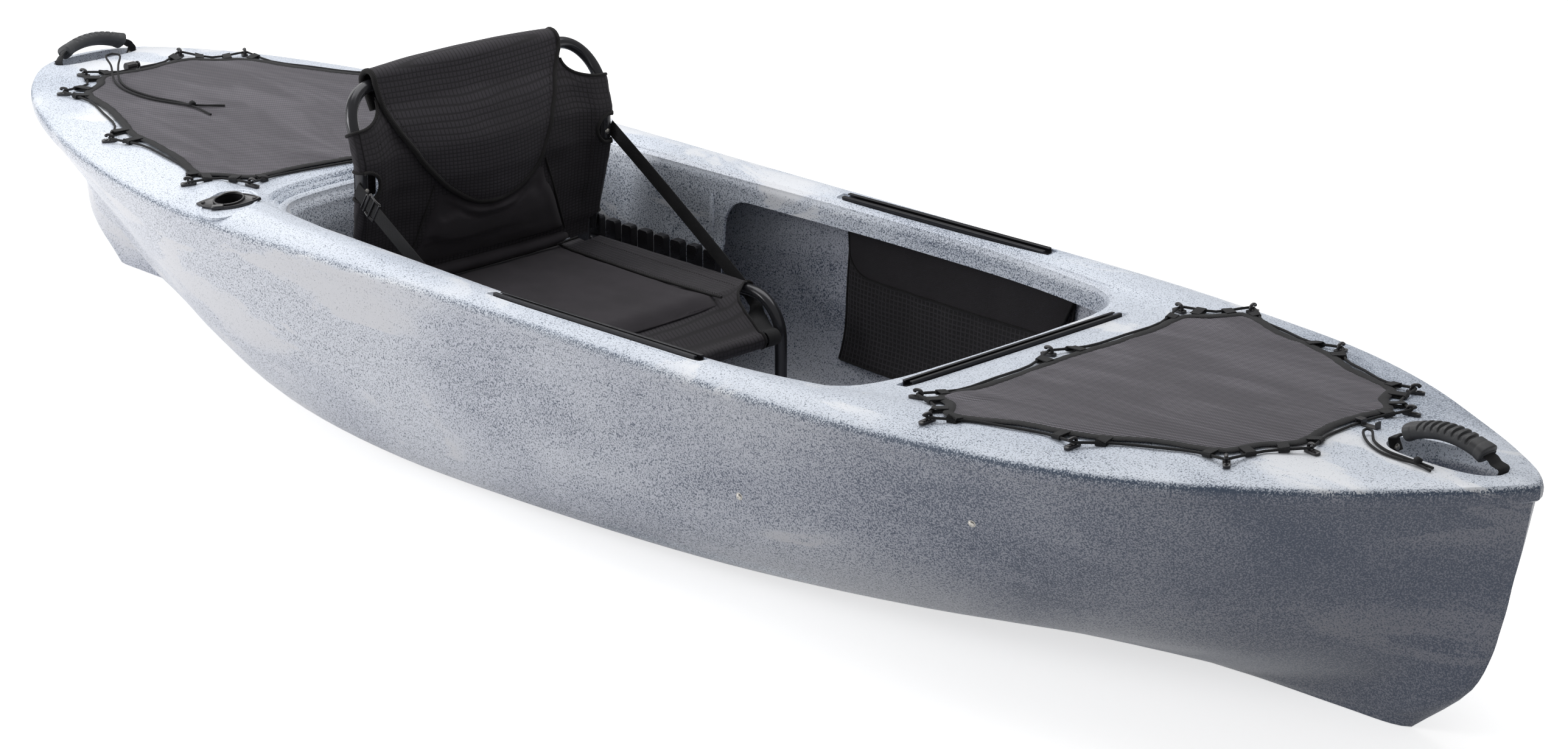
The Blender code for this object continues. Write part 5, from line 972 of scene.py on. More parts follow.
def dress_parts(name, pieces, surface, body="hull", smooth_angle=60):
    return dress(join_parts(name, pieces), surface, body, smooth_angle)


def add_bevel(piece, width, angle, segments=2):
    step = piece.modifiers.new("soften", "BEVEL")
    step.width = width
    step.segments = segments
    step.limit_method = "ANGLE"
    step.angle_limit = radians(angle)


def soften(piece, width, segments=2):
    add_bevel(piece, width, 35, segments)
    return apply_all(piece)


def thicken(piece, thickness, offset=1):
    step = piece.modifiers.new("thickness", "SOLIDIFY")
    step.thickness = thickness
    step.offset = offset
    return apply_all(piece)


def skin(name, rows, thickness, offset=1):
    """Sheet of cloth over rows of points."""
    shape = bmesh.new()
    lay_faces(shape, rows, False)
    return thicken(from_bmesh(name, shape, False), thickness, offset)


def mark(piece, name, values):
    """Point attribute that a material reads."""
    piece.data.attributes.new(name, "FLOAT", "POINT").data.foreach_set("value", np.array(values, np.float32))


# Places on the hull

class Deck:
    """Finds where things sit on finished pieces, above all on the hull."""

    def __init__(self, *pieces):
        shape = bmesh.new()
        for piece in pieces:
            shape.from_mesh(piece.data)
        self.tree = BVHTree.FromBMesh(shape)
        shape.free()

    def hit(self, start, way):
        """Point and normal of the first surface from a place along a direction."""
        return self.tree.ray_cast(Vector(start), Vector(way))[:2]

    def drop(self, x, y):
        """Point of the first surface under a place."""
        return self.hit((x, y, 1.0), (0, 0, -1))[0]

    def height(self, x, y, reach=0.0):
        """Highest surface under a place and the eight round it."""
        steps = (-reach, 0.0, reach) if reach else (0.0,)
        return max(self.drop(x + dx, y + dy).z for dx in steps for dy in steps)

    def frame(self, x, y, turn=0.0, reach=0.02):
        """Matrix whose origin is on the deck, local Z along its normal, local X turned from +X."""
        across_deck = self.drop(x, y + reach) - self.drop(x, y - reach)
        along_deck = self.drop(x + reach, y) - self.drop(x - reach, y)
        normal = along_deck.cross(across_deck).normalized()
        ahead = Vector((cos(turn), sin(turn), 0))
        ahead = (ahead - normal * ahead.dot(normal)).normalized()
        return upright_frame(ahead, normal.cross(ahead), normal, self.drop(x, y))

    def inner_side(self, x, z):
        """Inner face of the hull's own port side at a place, seen from inside."""
        start = Vector((x, 0.22, z))
        faces = []
        for _ in range(8):
            place, _ = self.hit(start, (0, 1, 0))
            if place is None:
                break
            faces.append(place)
            start = place + Vector((0, 0.0005, 0))
        return faces[-2]


def rod_holder_frame(deck, side):
    x, y = ROD_HOLDER_AT
    return deck.frame(x, y * side, radians(ROD_HOLDER_TURN) * side)


def track_places():
    """Centre, turn and length of each accessory track."""
    middle = SIDE_TRACK_AFT + SIDE_TRACK_LENGTH / 2
    tracks = [(middle, SIDE_TRACK_Y * side, 0.0, SIDE_TRACK_LENGTH) for side, _ in SIDES]
    return tracks + [(CROSS_TRACK_X, 0.0, pi / 2, CROSS_TRACK_LENGTH)]


def hook_places(hooks, edge_hook):
    """Place and turn of each hook of a cover: the one on the middle line, then pairs port and starboard."""
    places = [(edge_hook[0], 0.0, edge_hook[1])]
    for x, y, turn in hooks:
        places += [(x, y, turn), (x, -y, -turn)]
    return places


def hook_frames(deck):
    """Where each hook stands, a hair over the deck."""
    frames = {}
    for end, hooks, edge_hook in (("bow", BOW_HOOKS, BOW_EDGE_HOOK), ("stern", STERN_HOOKS, STERN_EDGE_HOOK)):
        frames[end] = []
        for x, y, turn in hook_places(hooks, edge_hook):
            place = deck.frame(x, y, radians(turn), 0.008)
            place.translation += place.to_3x3() @ Vector((0, 0, 2 * GAP))
            frames[end].append(place)
    return frames


# Hull

def hull_rings():
    """Rings of the hull's surface from the keel up, over the deck and down the cockpit wall."""
    fractions = crowded(RING_SPANS)
    lower = (KEEL, FIN, GARBOARD, BOTTOM, BILGE, UPPER_BILGE, SIDE)
    lines = [half_line(line, fractions) for line in lower]
    rim = half_line(RIM, fractions)
    towards_middle = rim * np.array([0.0, 1.0, 0.0])
    towards_middle[:, 0] = rim[:, 0] * 0.35
    towards_middle /= np.linalg.norm(towards_middle, axis=1)[:, None]
    down = np.array([0.0, 0.0, 1.0])
    overhang = np.interp(rim[:, 0], [-1.5, -1.2, 0.3, 1.0], [0.007, 0.003, 0.003, 0.008])[:, None]
    lines.append(rim - towards_middle * (overhang + 0.0015) - down * SEAM_BAND)
    halves = [across(lines, i / 4) for i in range(28)] + [lines[7]]
    halves.append(rim - towards_middle * (overhang * 0.35 + 0.0015) - down * (SEAM_BAND - 0.0004))
    for inset, drop in ((0.0012, SEAM_BAND - 0.003), (0.0002, 0.0125), (0.0, 0.0070), (0.0009, 0.0034),
                        (0.0034, 0.0), (0.0070, -0.002)):
        halves.append(rim - towards_middle * inset - down * drop)
    edge = halves[-1]
    cockpit = cockpit_half(0.010, 0.010, COCKPIT_RIM_Z + 0.0016)
    span = np.linalg.norm(cockpit - edge, axis=1)
    for t in (0.05, 0.15, 0.27, 0.38, 0.50, 0.62, 0.73, 0.85, 0.95):
        flat = edge * (1 - t) + cockpit * t
        rise = np.interp(t, (0, 0.15, 0.5, 0.85, 1), (0, 0.51, 1, 0.51, 0)) * 0.5 + 2 * t * (1 - t)
        rise = DECK_CROWN * rise * np.minimum(1.0, 0.35 + span / 0.6)
        halves.append(flat + down * rise[:, None])
    last, sunk = halves[-1], {}
    aft = np.clip((np.linalg.norm(cockpit - last, axis=1) - 0.014) / 0.016, 0, 1)
    aft *= np.clip((-0.585 - cockpit[:, 0]) / 0.018, 0, 1)
    for t in spread(0, 1, 12)[1:-1]:
        ledge = AFT_LEDGE_DEPTH * aft * (0.5 - 0.5 * cos(tau * 2 * t))
        halves.append(last * (1 - t) + cockpit * t - down * ledge[:, None])
        sunk[len(halves) - 1] = ledge / AFT_LEDGE_DEPTH
    halves.append(cockpit)
    halves.append(cockpit_half(0.0050, 0.0050, COCKPIT_RIM_Z + 0.0007))
    halves.append(cockpit_half(0.0015, 0.0015, COCKPIT_RIM_Z - 0.0018))
    halves.append(cockpit_half(0.0, 0.0, COCKPIT_RIM_Z - 0.0065))
    for height, side_inset, back_inset, widest in fine_wall():
        wall = cockpit_half(-side_inset, -back_inset, height)
        wall[:, 1] = np.minimum(wall[:, 1], widest)
        share = (LIP_Z - FORE_FOOT_Z) / (LIP_Z - WALL_FOOT_Z)
        depth = np.interp(wall[:, 0], FORE_FOOT_FROM, [1.0, share])
        wall[:, 2] = LIP_Z - (LIP_Z - height) * np.where(height < LIP_Z - 0.01, depth, 1.0)
        halves.append(wall)
    weights = [np.column_stack((half[:, :2], sunk.get(i, np.zeros(len(half)))))
               for i, half in enumerate(halves)]
    return [whole_ring(half) for half in halves], [whole_ring(weight) for weight in weights]


def fine_wall():
    """The wall's rings with steps between, and the moulded ledges across its back."""
    top, middle, foot = [np.array(ring) for ring in WALL]
    side = WALL[0][1]
    rings = [(0.325, side * 0.4, 0.003, 0.332), (0.319, side * 0.5, 0.011, 0.331),
             (0.316, side * 0.6, 0.0125, 0.331), (0.307, side * 0.8, 0.0145, 0.330)]
    return rings + [top + (middle - top) * t for t in (0.0, 0.2, 0.5, 0.8, 1.0)] + [(middle + foot) / 2, foot]


def make_hull():
    rings, grooves = hull_rings()
    shape = bmesh.new()
    rows = [[shape.verts.new(place) for place in ring] for ring in rings]
    count = len(rows[0])
    for lower, upper in zip(rows, rows[1:]):
        for i in range(count):
            j = (i + 1) % count
            shape.faces.new((lower[i], upper[i], upper[j], lower[j]))
    keel = rows[0]
    half = count // 2
    shape.faces.new((keel[0], keel[1], keel[-1]))
    for i in range(1, half - 1):
        shape.faces.new((keel[i], keel[i + 1], keel[-i - 1], keel[-i]))
    shape.faces.new((keel[half - 1], keel[half], keel[half + 1]))
    bmesh.ops.recalc_face_normals(shape, faces=shape.faces)
    lowest = min(shape.faces, key=lambda face: face.calc_center_median().z)
    if lowest.normal.z > 0:
        bmesh.ops.reverse_faces(shape, faces=shape.faces)
    hull = from_bmesh("hull_shell", shape, False)
    mark(hull, "groove", [place[2] for ring in grooves for place in ring])
    return thicken(hull, HULL_WALL, -1)


def mark_zones(hull):
    """How far each point of the hull is deck, and how far rim edge; inside the cockpit the deck share is
    lowered as painted shade, and the edge share is raised as painted shade in the ledge grooves and down the
    cockpit's inside.
    """
    rim = half_line(RIM, crowded(160))[::-1]
    x, y, z = np.array([v.co for v in hull.data.vertices], float).T
    above = z - np.interp(x, rim[:, 0], rim[:, 2])
    inboard = np.interp(x, rim[:, 0], rim[:, 1]) - np.abs(y)
    cockpit = np.array(COCKPIT)[::-1]
    opening = np.interp(x, cockpit[:, 0], cockpit[:, 1], left=-1, right=-1)
    inside = (np.abs(y) < opening + 0.012) & (z > 0.04)
    # Painted shade: the cockpit's inside takes part of the sides' darker colour.
    deck = np.where(inside, 0.70, np.clip((above + 0.009) / 0.006, 0, 1))
    edge = np.exp(-((above + 0.0035) / 0.0035) ** 2) * (inboard < 0.016)
    groove = np.zeros(len(x), dtype=np.float32)
    hull.data.attributes["groove"].data.foreach_get("value", groove)
    # Painted shade: more dark speckle in the ledge grooves behind the seat and down the cockpit's inside.
    edge = np.maximum(edge, 1.2 * groove * (z > COCKPIT_RIM_Z - 0.012))
    edge = np.maximum(edge, 0.42 * (inside & (z < COCKPIT_RIM_Z - 0.010)))
    mark(hull, "deck", deck)
    mark(hull, "edge", edge)


def dish(matrix, half_x, half_y, depth, floor, power):
    """Outer body and cutter of a moulded hollow in the deck."""
    waist = 0.7 + 0.3 * floor
    levels = [(0.0, 1.0), (0.25, 1 - (1 - waist) * 0.45), (SCOOP_WAIST, waist),
              (0.78, waist * 0.6 + floor * 0.4), (0.93, floor + (waist - floor) * 0.12), (1.0, floor - 0.04)]

    def ring(scale, grow, height):
        return [matrix @ Vector((x, y, height))
                for x, y in ellipse(half_x * scale + grow, half_y * scale + grow, 72, power)]

    wall = HULL_WALL * 0.8
    body = [ring(scale, wall, DISH_TOP - (depth + wall + DISH_TOP) * share) for share, scale in levels]
    cut = [ring(scale, 0.0, -depth * share) for share, scale in levels]
    return loft("dish", body), loft("dish_cut", [ring(1.0, 0.0, 0.03)] + cut)


def cover_corners(hooks, inset):
    """Corners of a deck cover on the port side, inside its hooks."""
    middle_x = sum(hook[0] for hook in hooks) / len(hooks)
    corners = []
    for x, y, _ in hooks:
        pull = Vector((middle_x - x, -y)).normalized()
        corners.append((x + pull.x * inset, y + pull.y * inset))
    return corners


def wall_cutter():
    """Prism that cuts the cockpit wall away forward of the seat, leaving the lip."""
    corner = (WALL_CUT_FROM + WALL_CUT_CORNER, LIP_Z - WALL_CUT_CORNER)
    front = COCKPIT[0][0] + 0.02
    under = 0.05
    outline = [(WALL_CUT_FROM, WALL_FOOT_Z - 0.004)]
    outline += arc(corner, WALL_CUT_CORNER, 180, 90, 5)
    outline += [(front, LIP_Z), (front, FORE_FOOT_Z - under)]
    outline += [(FORE_FOOT_FROM[1] + under, FORE_FOOT_Z - under),
                (FORE_FOOT_FROM[1] - under, WALL_FOOT_Z + under)]
    return plate("wall_cut", outline, 2 * WALL_CUT_HALF, Matrix.Rotation(radians(90), 4, "X"))


def refine_hull(hull):
    """Scoops, pockets and openings of the deck."""
    deck = Deck(hull)
    dishes = [
        dish(deck.frame(BOW_HANDLE_X, 0.0), *BOW_SCOOP, SCOOP_DEPTH, SCOOP_FLOOR, SCOOP_POWER),
        dish(deck.frame(STERN_HANDLE_X, 0.0, pi / 2), *STERN_SCOOP, SCOOP_DEPTH, SCOOP_FLOOR, SCOOP_POWER),
    ]
    bores = []
    for side, _ in SIDES:
        place = rod_holder_frame(deck, side)
        half = [size + ROD_HOLDER_LIP for size in ROD_HOLDER_FLANGE]
        dishes.append(dish(place, *half, FLANGE_THICK, 0.97, 2.0))
        shift = Matrix.Translation((ROD_BORE_SHIFT[0], ROD_BORE_SHIFT[1] * side, 0))
        bores.append(rod("bore", ROD_BORE + ROD_TUBE_WALL + 0.006, 0.06, place @ shift))
    for x, y, turn, length in track_places():
        half = (length / 2 + 0.014, TRACK_WIDTH / 2 + 0.002)
        dishes.append(dish(deck.frame(x, y, turn, 0.012), *half, TRACK_RECESS, 0.98, 12.0))
    holds = []
    for hooks, inset in ((BOW_HOOKS, BOW_COVER_INSET), (STERN_HOOKS, STERN_COVER_INSET)):
        corners = cover_corners(hooks, inset + HOLD_INSET)
        corners = [corners[0], corners[2], corners[3]]
        outline = corners + [(x, -y) for x, y in reversed(corners)]
        if hooks is BOW_HOOKS:
            outline.reverse()
        above = Matrix.Translation((0, 0, HULL_HEIGHT))
        holds.append(plate("hold", rounded(outline, HOLD_CORNER), 0.14, above))
    outers, inners = zip(*dishes)
    for tools, operation in ((outers, "UNION"), (inners, "DIFFERENCE"), (bores, "DIFFERENCE"),
                             (holds + [wall_cutter()], "DIFFERENCE")):
        boolean(hull, join_parts("tool", tools, True), operation)
    return hull


# Deck hooks and shock cords

def hook_mesh():
    """Moulded hook: a rounded pad with its screw, and a curled post with a fat tip."""
    half = HOOK_PAD_WIDTH / 2
    corners = [(-0.006, -half * 0.85), (HOOK_PAD_LENGTH, -half * 0.80), (HOOK_PAD_LENGTH, half * 0.80),
               (-0.006, half * 0.85)]
    outline = rounded(corners, half * 0.62, 5)
    pad = plate("hook", outline, HOOK_PAD_THICK, Matrix.Translation((0, 0, HOOK_PAD_THICK / 2)))
    soften(pad, 0.0009)
    head = rod("head", 0.0034, 0.0014, Matrix.Translation((0.0115, 0, HOOK_PAD_THICK + 0.0002)), 20)
    soften(head, 0.0005)
    top = HOOK_PAD_THICK + SHOCK_CORD + HOOK_WIRE * 2
    bend = [(0, 0, 0.001), (-0.0002, 0, top - 0.005), (0.0012, 0, top - 0.0018), (0.0050, 0, top - 0.0004),
            (0.0088, 0, top - 0.0006), (0.0112, 0, top - 0.0030)]
    bend = smooth(bend, (0, 0, -0.003), (0.012, 0, top - 0.007), 4)
    swell = [1.45, 1.2] + [1.0] * (len(bend) - 8) + [1.0, 1.05, 1.15, 1.25, 1.25, 1.0]
    rings = []
    for i, place in enumerate(bend):
        behind, ahead = neighbours(bend, i)
        up = (Vector(ahead) - Vector(behind)).normalized().cross(Vector((0, 1, 0)))
        rings.append([Vector(place) + (up * c + Vector((0, 1.15 * s, 0))) * HOOK_WIRE * swell[i]
                      for c, s in circle(12)])
    return join_parts("hook", [pad, head, loft("post", rings)])


def make_hooks(frames, surface):
    master = hook_mesh()
    for end, places in frames.items():
        for number, place in enumerate(places, 1):
            mesh = master.data.copy()
            mesh.transform(place)
            hook = dress(new_object(f"{end}_deck_hook_{number}", mesh), surface)
            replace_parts(hook, f"{end}_hook_{number}")
    bpy.data.objects.remove(master)


def round_hook(frame, back, on):
    """Three places of the cord where it bends round the outside of a hook's post."""
    inverse = frame.inverted()
    towards = [(inverse @ place).to_2d().normalized() for place in (back, on)]
    outward = -(towards[0] + towards[1]).normalized()
    half_turn = (pi - towards[0].angle(towards[1])) / 2
    if outward.angle_signed(towards[0]) < 0:
        half_turn = -half_turn
    clear = (HOOK_WIRE + SHOCK_CORD / 2 + GAP) / cos(half_turn / 2) + 0.0010
    places = []
    for share in (-1, 0, 1):
        way = Matrix.Rotation(half_turn * share, 2) @ outward * clear
        places.append(frame @ Vector((way.x, way.y, HOOK_PAD_THICK + SHOCK_CORD / 2 + 0.0012)))
    return places


def cord_inset(cover_inset):
    """How far inside the line of the hooks the cord runs, beside the cover's edge."""
    return cover_inset - SHOCK_CORD - 0.004


def cord_route(deck, frames, end_share, inset):
    """Places of the shock cord: round the outside of each hook, and along the cover's edge between."""
    ring = [frames[i] for i in (9, 7, 5, 3, 1, 0, 2, 4, 6, 8, 10)]
    middle = sum((place.translation for place in ring), Vector()) / len(ring)

    def edge_place(start, end, share, amount):
        run = end.translation - start.translation
        run.z = 0
        inward = Vector((-run.y, run.x, 0)).normalized()
        if inward.dot(middle - start.translation) < 0:
            inward = -inward
        flat = start.translation + run * share + inward * (inset * amount)
        return Vector((flat.x, flat.y, deck.height(flat.x, flat.y, 0.003) + SHOCK_CORD / 2 + 2 * GAP))

    legs = []
    for place, following in zip(ring, ring[1:]):
        far = (following.translation - place.translation).length > 0.12
        stops = ((0.22, 0.9), (0.5, 1.0), (0.78, 0.9)) if far else ((0.5, 0.8),)
        legs.append([edge_place(place, following, share, amount) for share, amount in stops])
    first, last = ring[0], ring[-1]
    legs.insert(0, [edge_place(first, last, end_share[0], 1.0), edge_place(first, last, 0.25, 0.9)])
    legs.append([edge_place(last, first, 0.25, 0.9), edge_place(last, first, end_share[1], 1.0)])
    route = list(legs[0])
    for place, before, after in zip(ring, legs, legs[1:]):
        route += round_hook(place, before[-1], after[0]) + after
    return route


def cord_points(deck, frames, end_share, inset):
    points = cord_route(deck, frames, end_share, inset)
    return [(x, y, max(z, deck.height(x, y, 0.002) + SHOCK_CORD / 2 + GAP)) for x, y, z in points]


# Deck covers

def cover_outline(hooks, edge_hook, inset):
    """Corners by the hooks, and between them the edge drawn in a little."""
    port = cover_corners(hooks, inset)
    towards_hold = -1 if hooks is STERN_HOOKS else 1
    corners = port + [(x, -y) for x, y in reversed(port)] + [(edge_hook[0] + towards_hold * inset, 0.0)]
    if hooks is BOW_HOOKS:
        corners.reverse()
    outline = []
    for here, on in zip(corners, corners[1:] + corners[:1]):
        here, on = Vector(here), Vector(on)
        run = on - here
        outward = Vector((run.y, -run.x)).normalized()
        parts = max(2, round(run.length / 0.085))
        drawn_in = min(COVER_SCALLOP, run.length * 0.06)
        for t in spread(0, 1, parts)[:-1]:
            outline.append(here + run * t - outward * drawn_in * 4 * t * (1 - t))
    return outline


def cover_edge(outline, count):
    """Dense edge of a cover, its corners slightly rounded."""
    points = [np.array((p.x, p.y, 0.0)) for p in outline]
    size = len(points)
    dense = [spline_point(points[i - 1], points[i], points[(i + 1) % size], points[(i + 2) % size], step / 6)
             for i in range(size) for step in range(6)]
    return spaced(np.array(dense + dense[:1]), [i / count for i in range(count)])


def cover_level(xy, share, rim, middle, posts):
    """Height of a cover's cloth: sagging to its middle, with folds that gather by the hooks."""
    level = middle + (rim - middle) * share - COVER_SAG * (1 - share ** 2) + 0.003 * (1 - share)
    pull = sum(exp(-float(((xy - post) ** 2).sum()) / 0.0060) for post in posts)
    fold = fold_noise(xy[0] * 5 + xy[1] * 4, xy[1] * 15 - xy[0] * 8, 0.3, 0.0062)
    fold += fold_noise(xy[0] * 34, xy[1] * 20, 4.3, 0.0010 + 0.0024 * min(pull, 1.0))
    return level + fold * min(1.0, (1 - share) * 9)


def make_cover(end, deck, outline, cloth, trim, cord, hooks):
    """Mesh cover with its bound edge and the webbing tabs that hold it to the shock cord."""
    edge = cover_edge(outline, COVER_SPANS)
    edge[:, 2] = np.array([deck.height(x, y, 0.003) for x, y, _ in edge]) + 0.0022
    centre = edge[:, :2].mean(axis=0)
    middle = edge[:, 2].mean()
    posts = [np.array(place.translation[:2]) for place in hooks]
    places = []
    for share in [1.0, 0.985, 0.965] + [0.94 - 0.0235 * i for i in range(40)]:
        row = []
        for p in edge:
            xy = centre + (p[:2] - centre) * share
            level = cover_level(xy, share, p[2], middle, posts)
            row.append((xy[0], xy[1], max(level, deck.height(xy[0], xy[1]) + 0.0016)))
        places.append(row)
    shape = bmesh.new()
    rows = lay_faces(shape, places, True)
    level = sum(vert.co.z for vert in rows[-1]) / COVER_SPANS
    for vert in rows[-1]:
        vert.co.z = level
    hub = shape.verts.new((centre[0], centre[1], level))
    for i in range(COVER_SPANS):
        shape.faces.new((rows[-1][i], rows[-1][(i + 1) % COVER_SPANS], hub))
    bmesh.ops.smooth_vert(shape, verts=[v for row in rows[2:-2] for v in row], factor=0.5, use_axis_z=True)
    cover = from_bmesh(f"{end}_mesh_cover", shape)
    if cover.data.polygons[0].normal.z < 0:
        cover.data.flip_normals()
    sheet = dress(thicken(cover, 0.0014), cloth)
    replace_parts(sheet, f"{end}_cover")
    binding = make_binding(f"{end}_cover_binding", edge, centre, trim)
    tabs = make_tabs(end, edge, cord, hooks, trim)
    return sheet


def make_binding(name, edge, centre, surface):
    """Folded tape round the cover's edge."""
    rings = []
    for i in range(len(edge)):
        here = Vector(edge[i])
        run = (Vector(edge[(i + 1) % len(edge)]) - Vector(edge[i - 1])).normalized()
        inward = Vector((-run.y, run.x, 0)).normalized()
        if inward.dot(Vector((centre[0], centre[1])).to_3d() - here.xy.to_3d()) < 0:
            inward = -inward
        ripple = 0.0006 * sin(i * 1.7) + 0.0005 * sin(i * 0.61)
        rings.append([here + inward * (0.0056 + ripple + 0.0072 * c) + Vector((0, 0, 0.0010 + 0.0019 * s))
                      for c, s in circle(10)])
    shape = bmesh.new()
    lay_faces(shape, rings, True, True)
    return dress(from_bmesh(name, shape), surface)


def make_tabs(end, edge, cord, hooks, surface):
    """Short webbing loops from the bound edge round the shock cord, one on each side of each hook."""
    lengths = run_lengths(cord)
    radius = SHOCK_CORD / 2 + 0.0010
    pieces = []
    for place in hooks:
        nearest = int(np.argmin(np.linalg.norm(cord - np.array(place.translation), axis=1)))
        for hand in (-1, 1):
            at = lengths[nearest] + hand * 0.034
            if not 0.01 < at < lengths[-1] - 0.01:
                continue
            spot = at_length(at, lengths, cord)
            run = (at_length(at + 0.004, lengths, cord) - spot).normalized()
            home = Vector(edge[int(np.argmin(np.linalg.norm(edge[:, :2] - np.array(spot[:2]), axis=1)))])
            out = spot - home
            out.z = 0
            if out.length < 0.001:
                continue
            out.normalize()
            loop = [home - out * 0.004 + Vector((0, 0, 0.0034)), home + Vector((0, 0, 0.0034))]
            for turn in (110, 60, 15, -30, -80):
                a = radians(turn)
                loop.append(spot + out * radius * cos(a) + Vector((0, 0, radius * sin(a))))
            loop.append(home + out * 0.001 + Vector((0, 0, 0.0004)))
            pieces.append(ribbon("tab", loop, run, (0.014, 0.0011)))
    return dress_parts(f"{end}_cover_tabs", pieces, surface, smooth_angle=35)


# Loose cords

def make_knot(name, place, surface):
    """Round knot with a slow twist."""
    ball = bmesh.new()
    bmesh.ops.create_icosphere(ball, subdivisions=4, radius=KNOT / 2 * 0.86)
    for vert in ball.verts:
        turn = atan2(vert.co.y, vert.co.x)
        vert.co *= 1.0 + 0.16 * sin(2 * turn + vert.co.z * 520) * (1 - (vert.co.z / KNOT * 2) ** 2)
        vert.co.z *= 0.92
        vert.co = place + vert.co
    return dress(from_bmesh(name, ball), surface, smooth_angle=60)


def make_tail(end, ground, legs, apart, knot, ends, surface):
    """Two lanes of a doubled cord, each from the loop at its fitting to a loose end, and their knot."""
    radius = SHOCK_CORD / 2
    diameter = SHOCK_CORD - 0.0004

    def rest(x, y, lift=0.0):
        return (x, y, ground.height(x, y, radius / 2) + radius + GAP + lift)

    run = (Vector(legs[0][:2]) - Vector(knot)).normalized()
    side = Vector((-run.y, run.x)) * (radius + 0.0004)
    last = Vector(legs[-1][:2])
    lead = (last - Vector(legs[-2][:2])).normalized() * apart[-1] * 0.42
    apex = rest(last.x + lead.x, last.y + lead.y, legs[-1][2] + 0.001)
    centre = ground.height(*knot, KNOT / 2) + KNOT / 2 + 2 * GAP
    knot_piece = make_knot(f"{end}_tail_knot", Vector((*knot, centre)), surface)
    for word, hand, tip in (("a", 1, ends[0]), ("b", -1, ends[1])):
        lane = []
        for i, (x, y, lift) in enumerate(legs):
            behind, ahead = neighbours(legs, i)
            ahead = Vector(ahead[:2]) - Vector(behind[:2])
            out = Vector((-ahead.y, ahead.x)).normalized() * apart[i] / 2 * hand
            lane.append(rest(x + out.x, y + out.y, lift))
        beside = rest(knot[0] + side.x * hand, knot[1] + side.y * hand, 0.001)
        route = [apex] + lane[::-1] + [beside, rest(*tip)]
        low = [(x, y, max(z, ground.height(x, y, radius / 2) + radius + GAP * 0.5))
               for x, y, z in smooth(route, steps=5)]
        strand = dress(tube(f"{end}_tail_{word}", low, diameter, 4), surface, smooth_angle=60)
        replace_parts(strand, f"{end}_tail_cord")


# Cloth


def stitches(name, lines, surface, body):
    """Rows of thread along lines of points with their outward directions."""
    shape = bmesh.new()
    size = Matrix.Diagonal((STITCH / 2, STITCH_RADIUS, STITCH_RADIUS, 1))
    pitch = STITCH + STITCH_GAP
    for points, outs in lines:
        dense, outs = np.array(points), np.array(outs)
        lengths = run_lengths(dense)
        for k in range(int(lengths[-1] / pitch)):
            a, b = [at_length(end, lengths, dense) for end in (k * pitch, k * pitch + STITCH)]
            out = at_length(k * pitch, lengths, outs).normalized()
            run = (b - a).normalized()
            place = upright_frame(run, run.cross(out), out, (a + b) / 2 + out * 0.0002)
            bmesh.ops.create_icosphere(shape, subdivisions=1, radius=1.0, matrix=place @ size)
    return dress(from_bmesh(name, shape), surface, body, 60)


def puff(piece, pressure, cap):
    """Blow a closed form up with Cloth, each point moved no further than the cap, then subdivide it."""
    before = [v.co.copy() for v in piece.data.vertices]
    cloth = piece.modifiers.new("cloth", "CLOTH")
    cloth.settings.quality = 5
    cloth.settings.mass = 0.3
    cloth.settings.tension_stiffness = 25
    cloth.settings.compression_stiffness = 25
    cloth.settings.bending_stiffness = 0.3
    cloth.settings.use_pressure = True
    cloth.settings.uniform_pressure_force = pressure
    cloth.settings.effector_weights.gravity = 0
    cloth.point_cache.frame_start = 1
    cloth.point_cache.frame_end = PUFF_STEPS
    scene = bpy.context.scene
    for step in range(1, PUFF_STEPS + 1):
        scene.frame_set(step)
    apply_all(piece)
    scene.frame_set(1)
    for vert, was in zip(piece.data.vertices, before):
        move = vert.co - was
        if move.length > cap:
            vert.co = was + move * (cap / move.length)
    even = piece.modifiers.new("even", "SMOOTH")
    even.factor = 0.5
    even.iterations = 2
    finer = piece.modifiers.new("finer", "SUBSURF")
    finer.levels = finer.render_levels = 1
    return apply_all(piece)


def make_pad(name, rings, blow, cloth, body, anchor):
    """Padded piece, blown up by (pressure, cap) when that is given."""
    pad = loft(name, rings)
    if blow:
        puff(pad, *blow)
    dress(pad, cloth, body, 80)
    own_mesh(pad)


# Seat back

def back_half_width(z):
    return between(z, [BACK_LEAN[1][1], BACK_LEAN[3][1]], [SEAT_HALF_WIDTH, BACK_HALF_WIDTH])


def back_axis(z):
    """Centre of the back's tubes at a height, and the forward direction there, seen from the side."""
    xs, heights = np.array(BACK_LEAN + [BACK_TOP]).T
    low, x, high = [between(z + step, heights, xs) for step in (-0.012, 0.0, 0.012)]
    run = Vector((high - low, 0.024)).normalized()
    return Vector((x, z)), Vector((run.y, -run.x))


def back_place(y, z, stand):
    """Place that stands a distance before the tubes' centre."""
    centre, normal = back_axis(z)
    place = centre + normal * stand
    return Vector((place.x, y, place.y))


def back_out(z):
    normal = back_axis(z)[1]
    return Vector((normal.x, 0, normal.y))


def tube_side(z, hand, radius, turn):
    """Place round one of the back's tubes, turned outwards from its front."""
    centre, normal = back_axis(z)
    a = radians(turn)
    out = normal * radius * cos(a)
    return Vector((centre.x + out.x, hand * (back_half_width(z) + radius * sin(a)), centre.y + out.y))


def main_stand(y, z):
    """How far the back's main cloth stands before the tubes' centre, a little less above the pad."""
    crown = between(z, *zip(*PAD_CURVE)) * BACK_PAD * 0.62
    inward = min(1.0, max(0.0, (back_half_width(z) - 0.016 - abs(y)) / 0.055))
    inward = inward * inward * (3 - 2 * inward)
    hang = 0.0085 * inward * (1 - between(z, [0.26, 0.36], [1, 0]))
    return CLOTH_STAND - hang + crown * max(0.0, 1 - (y / 0.200) ** 2)


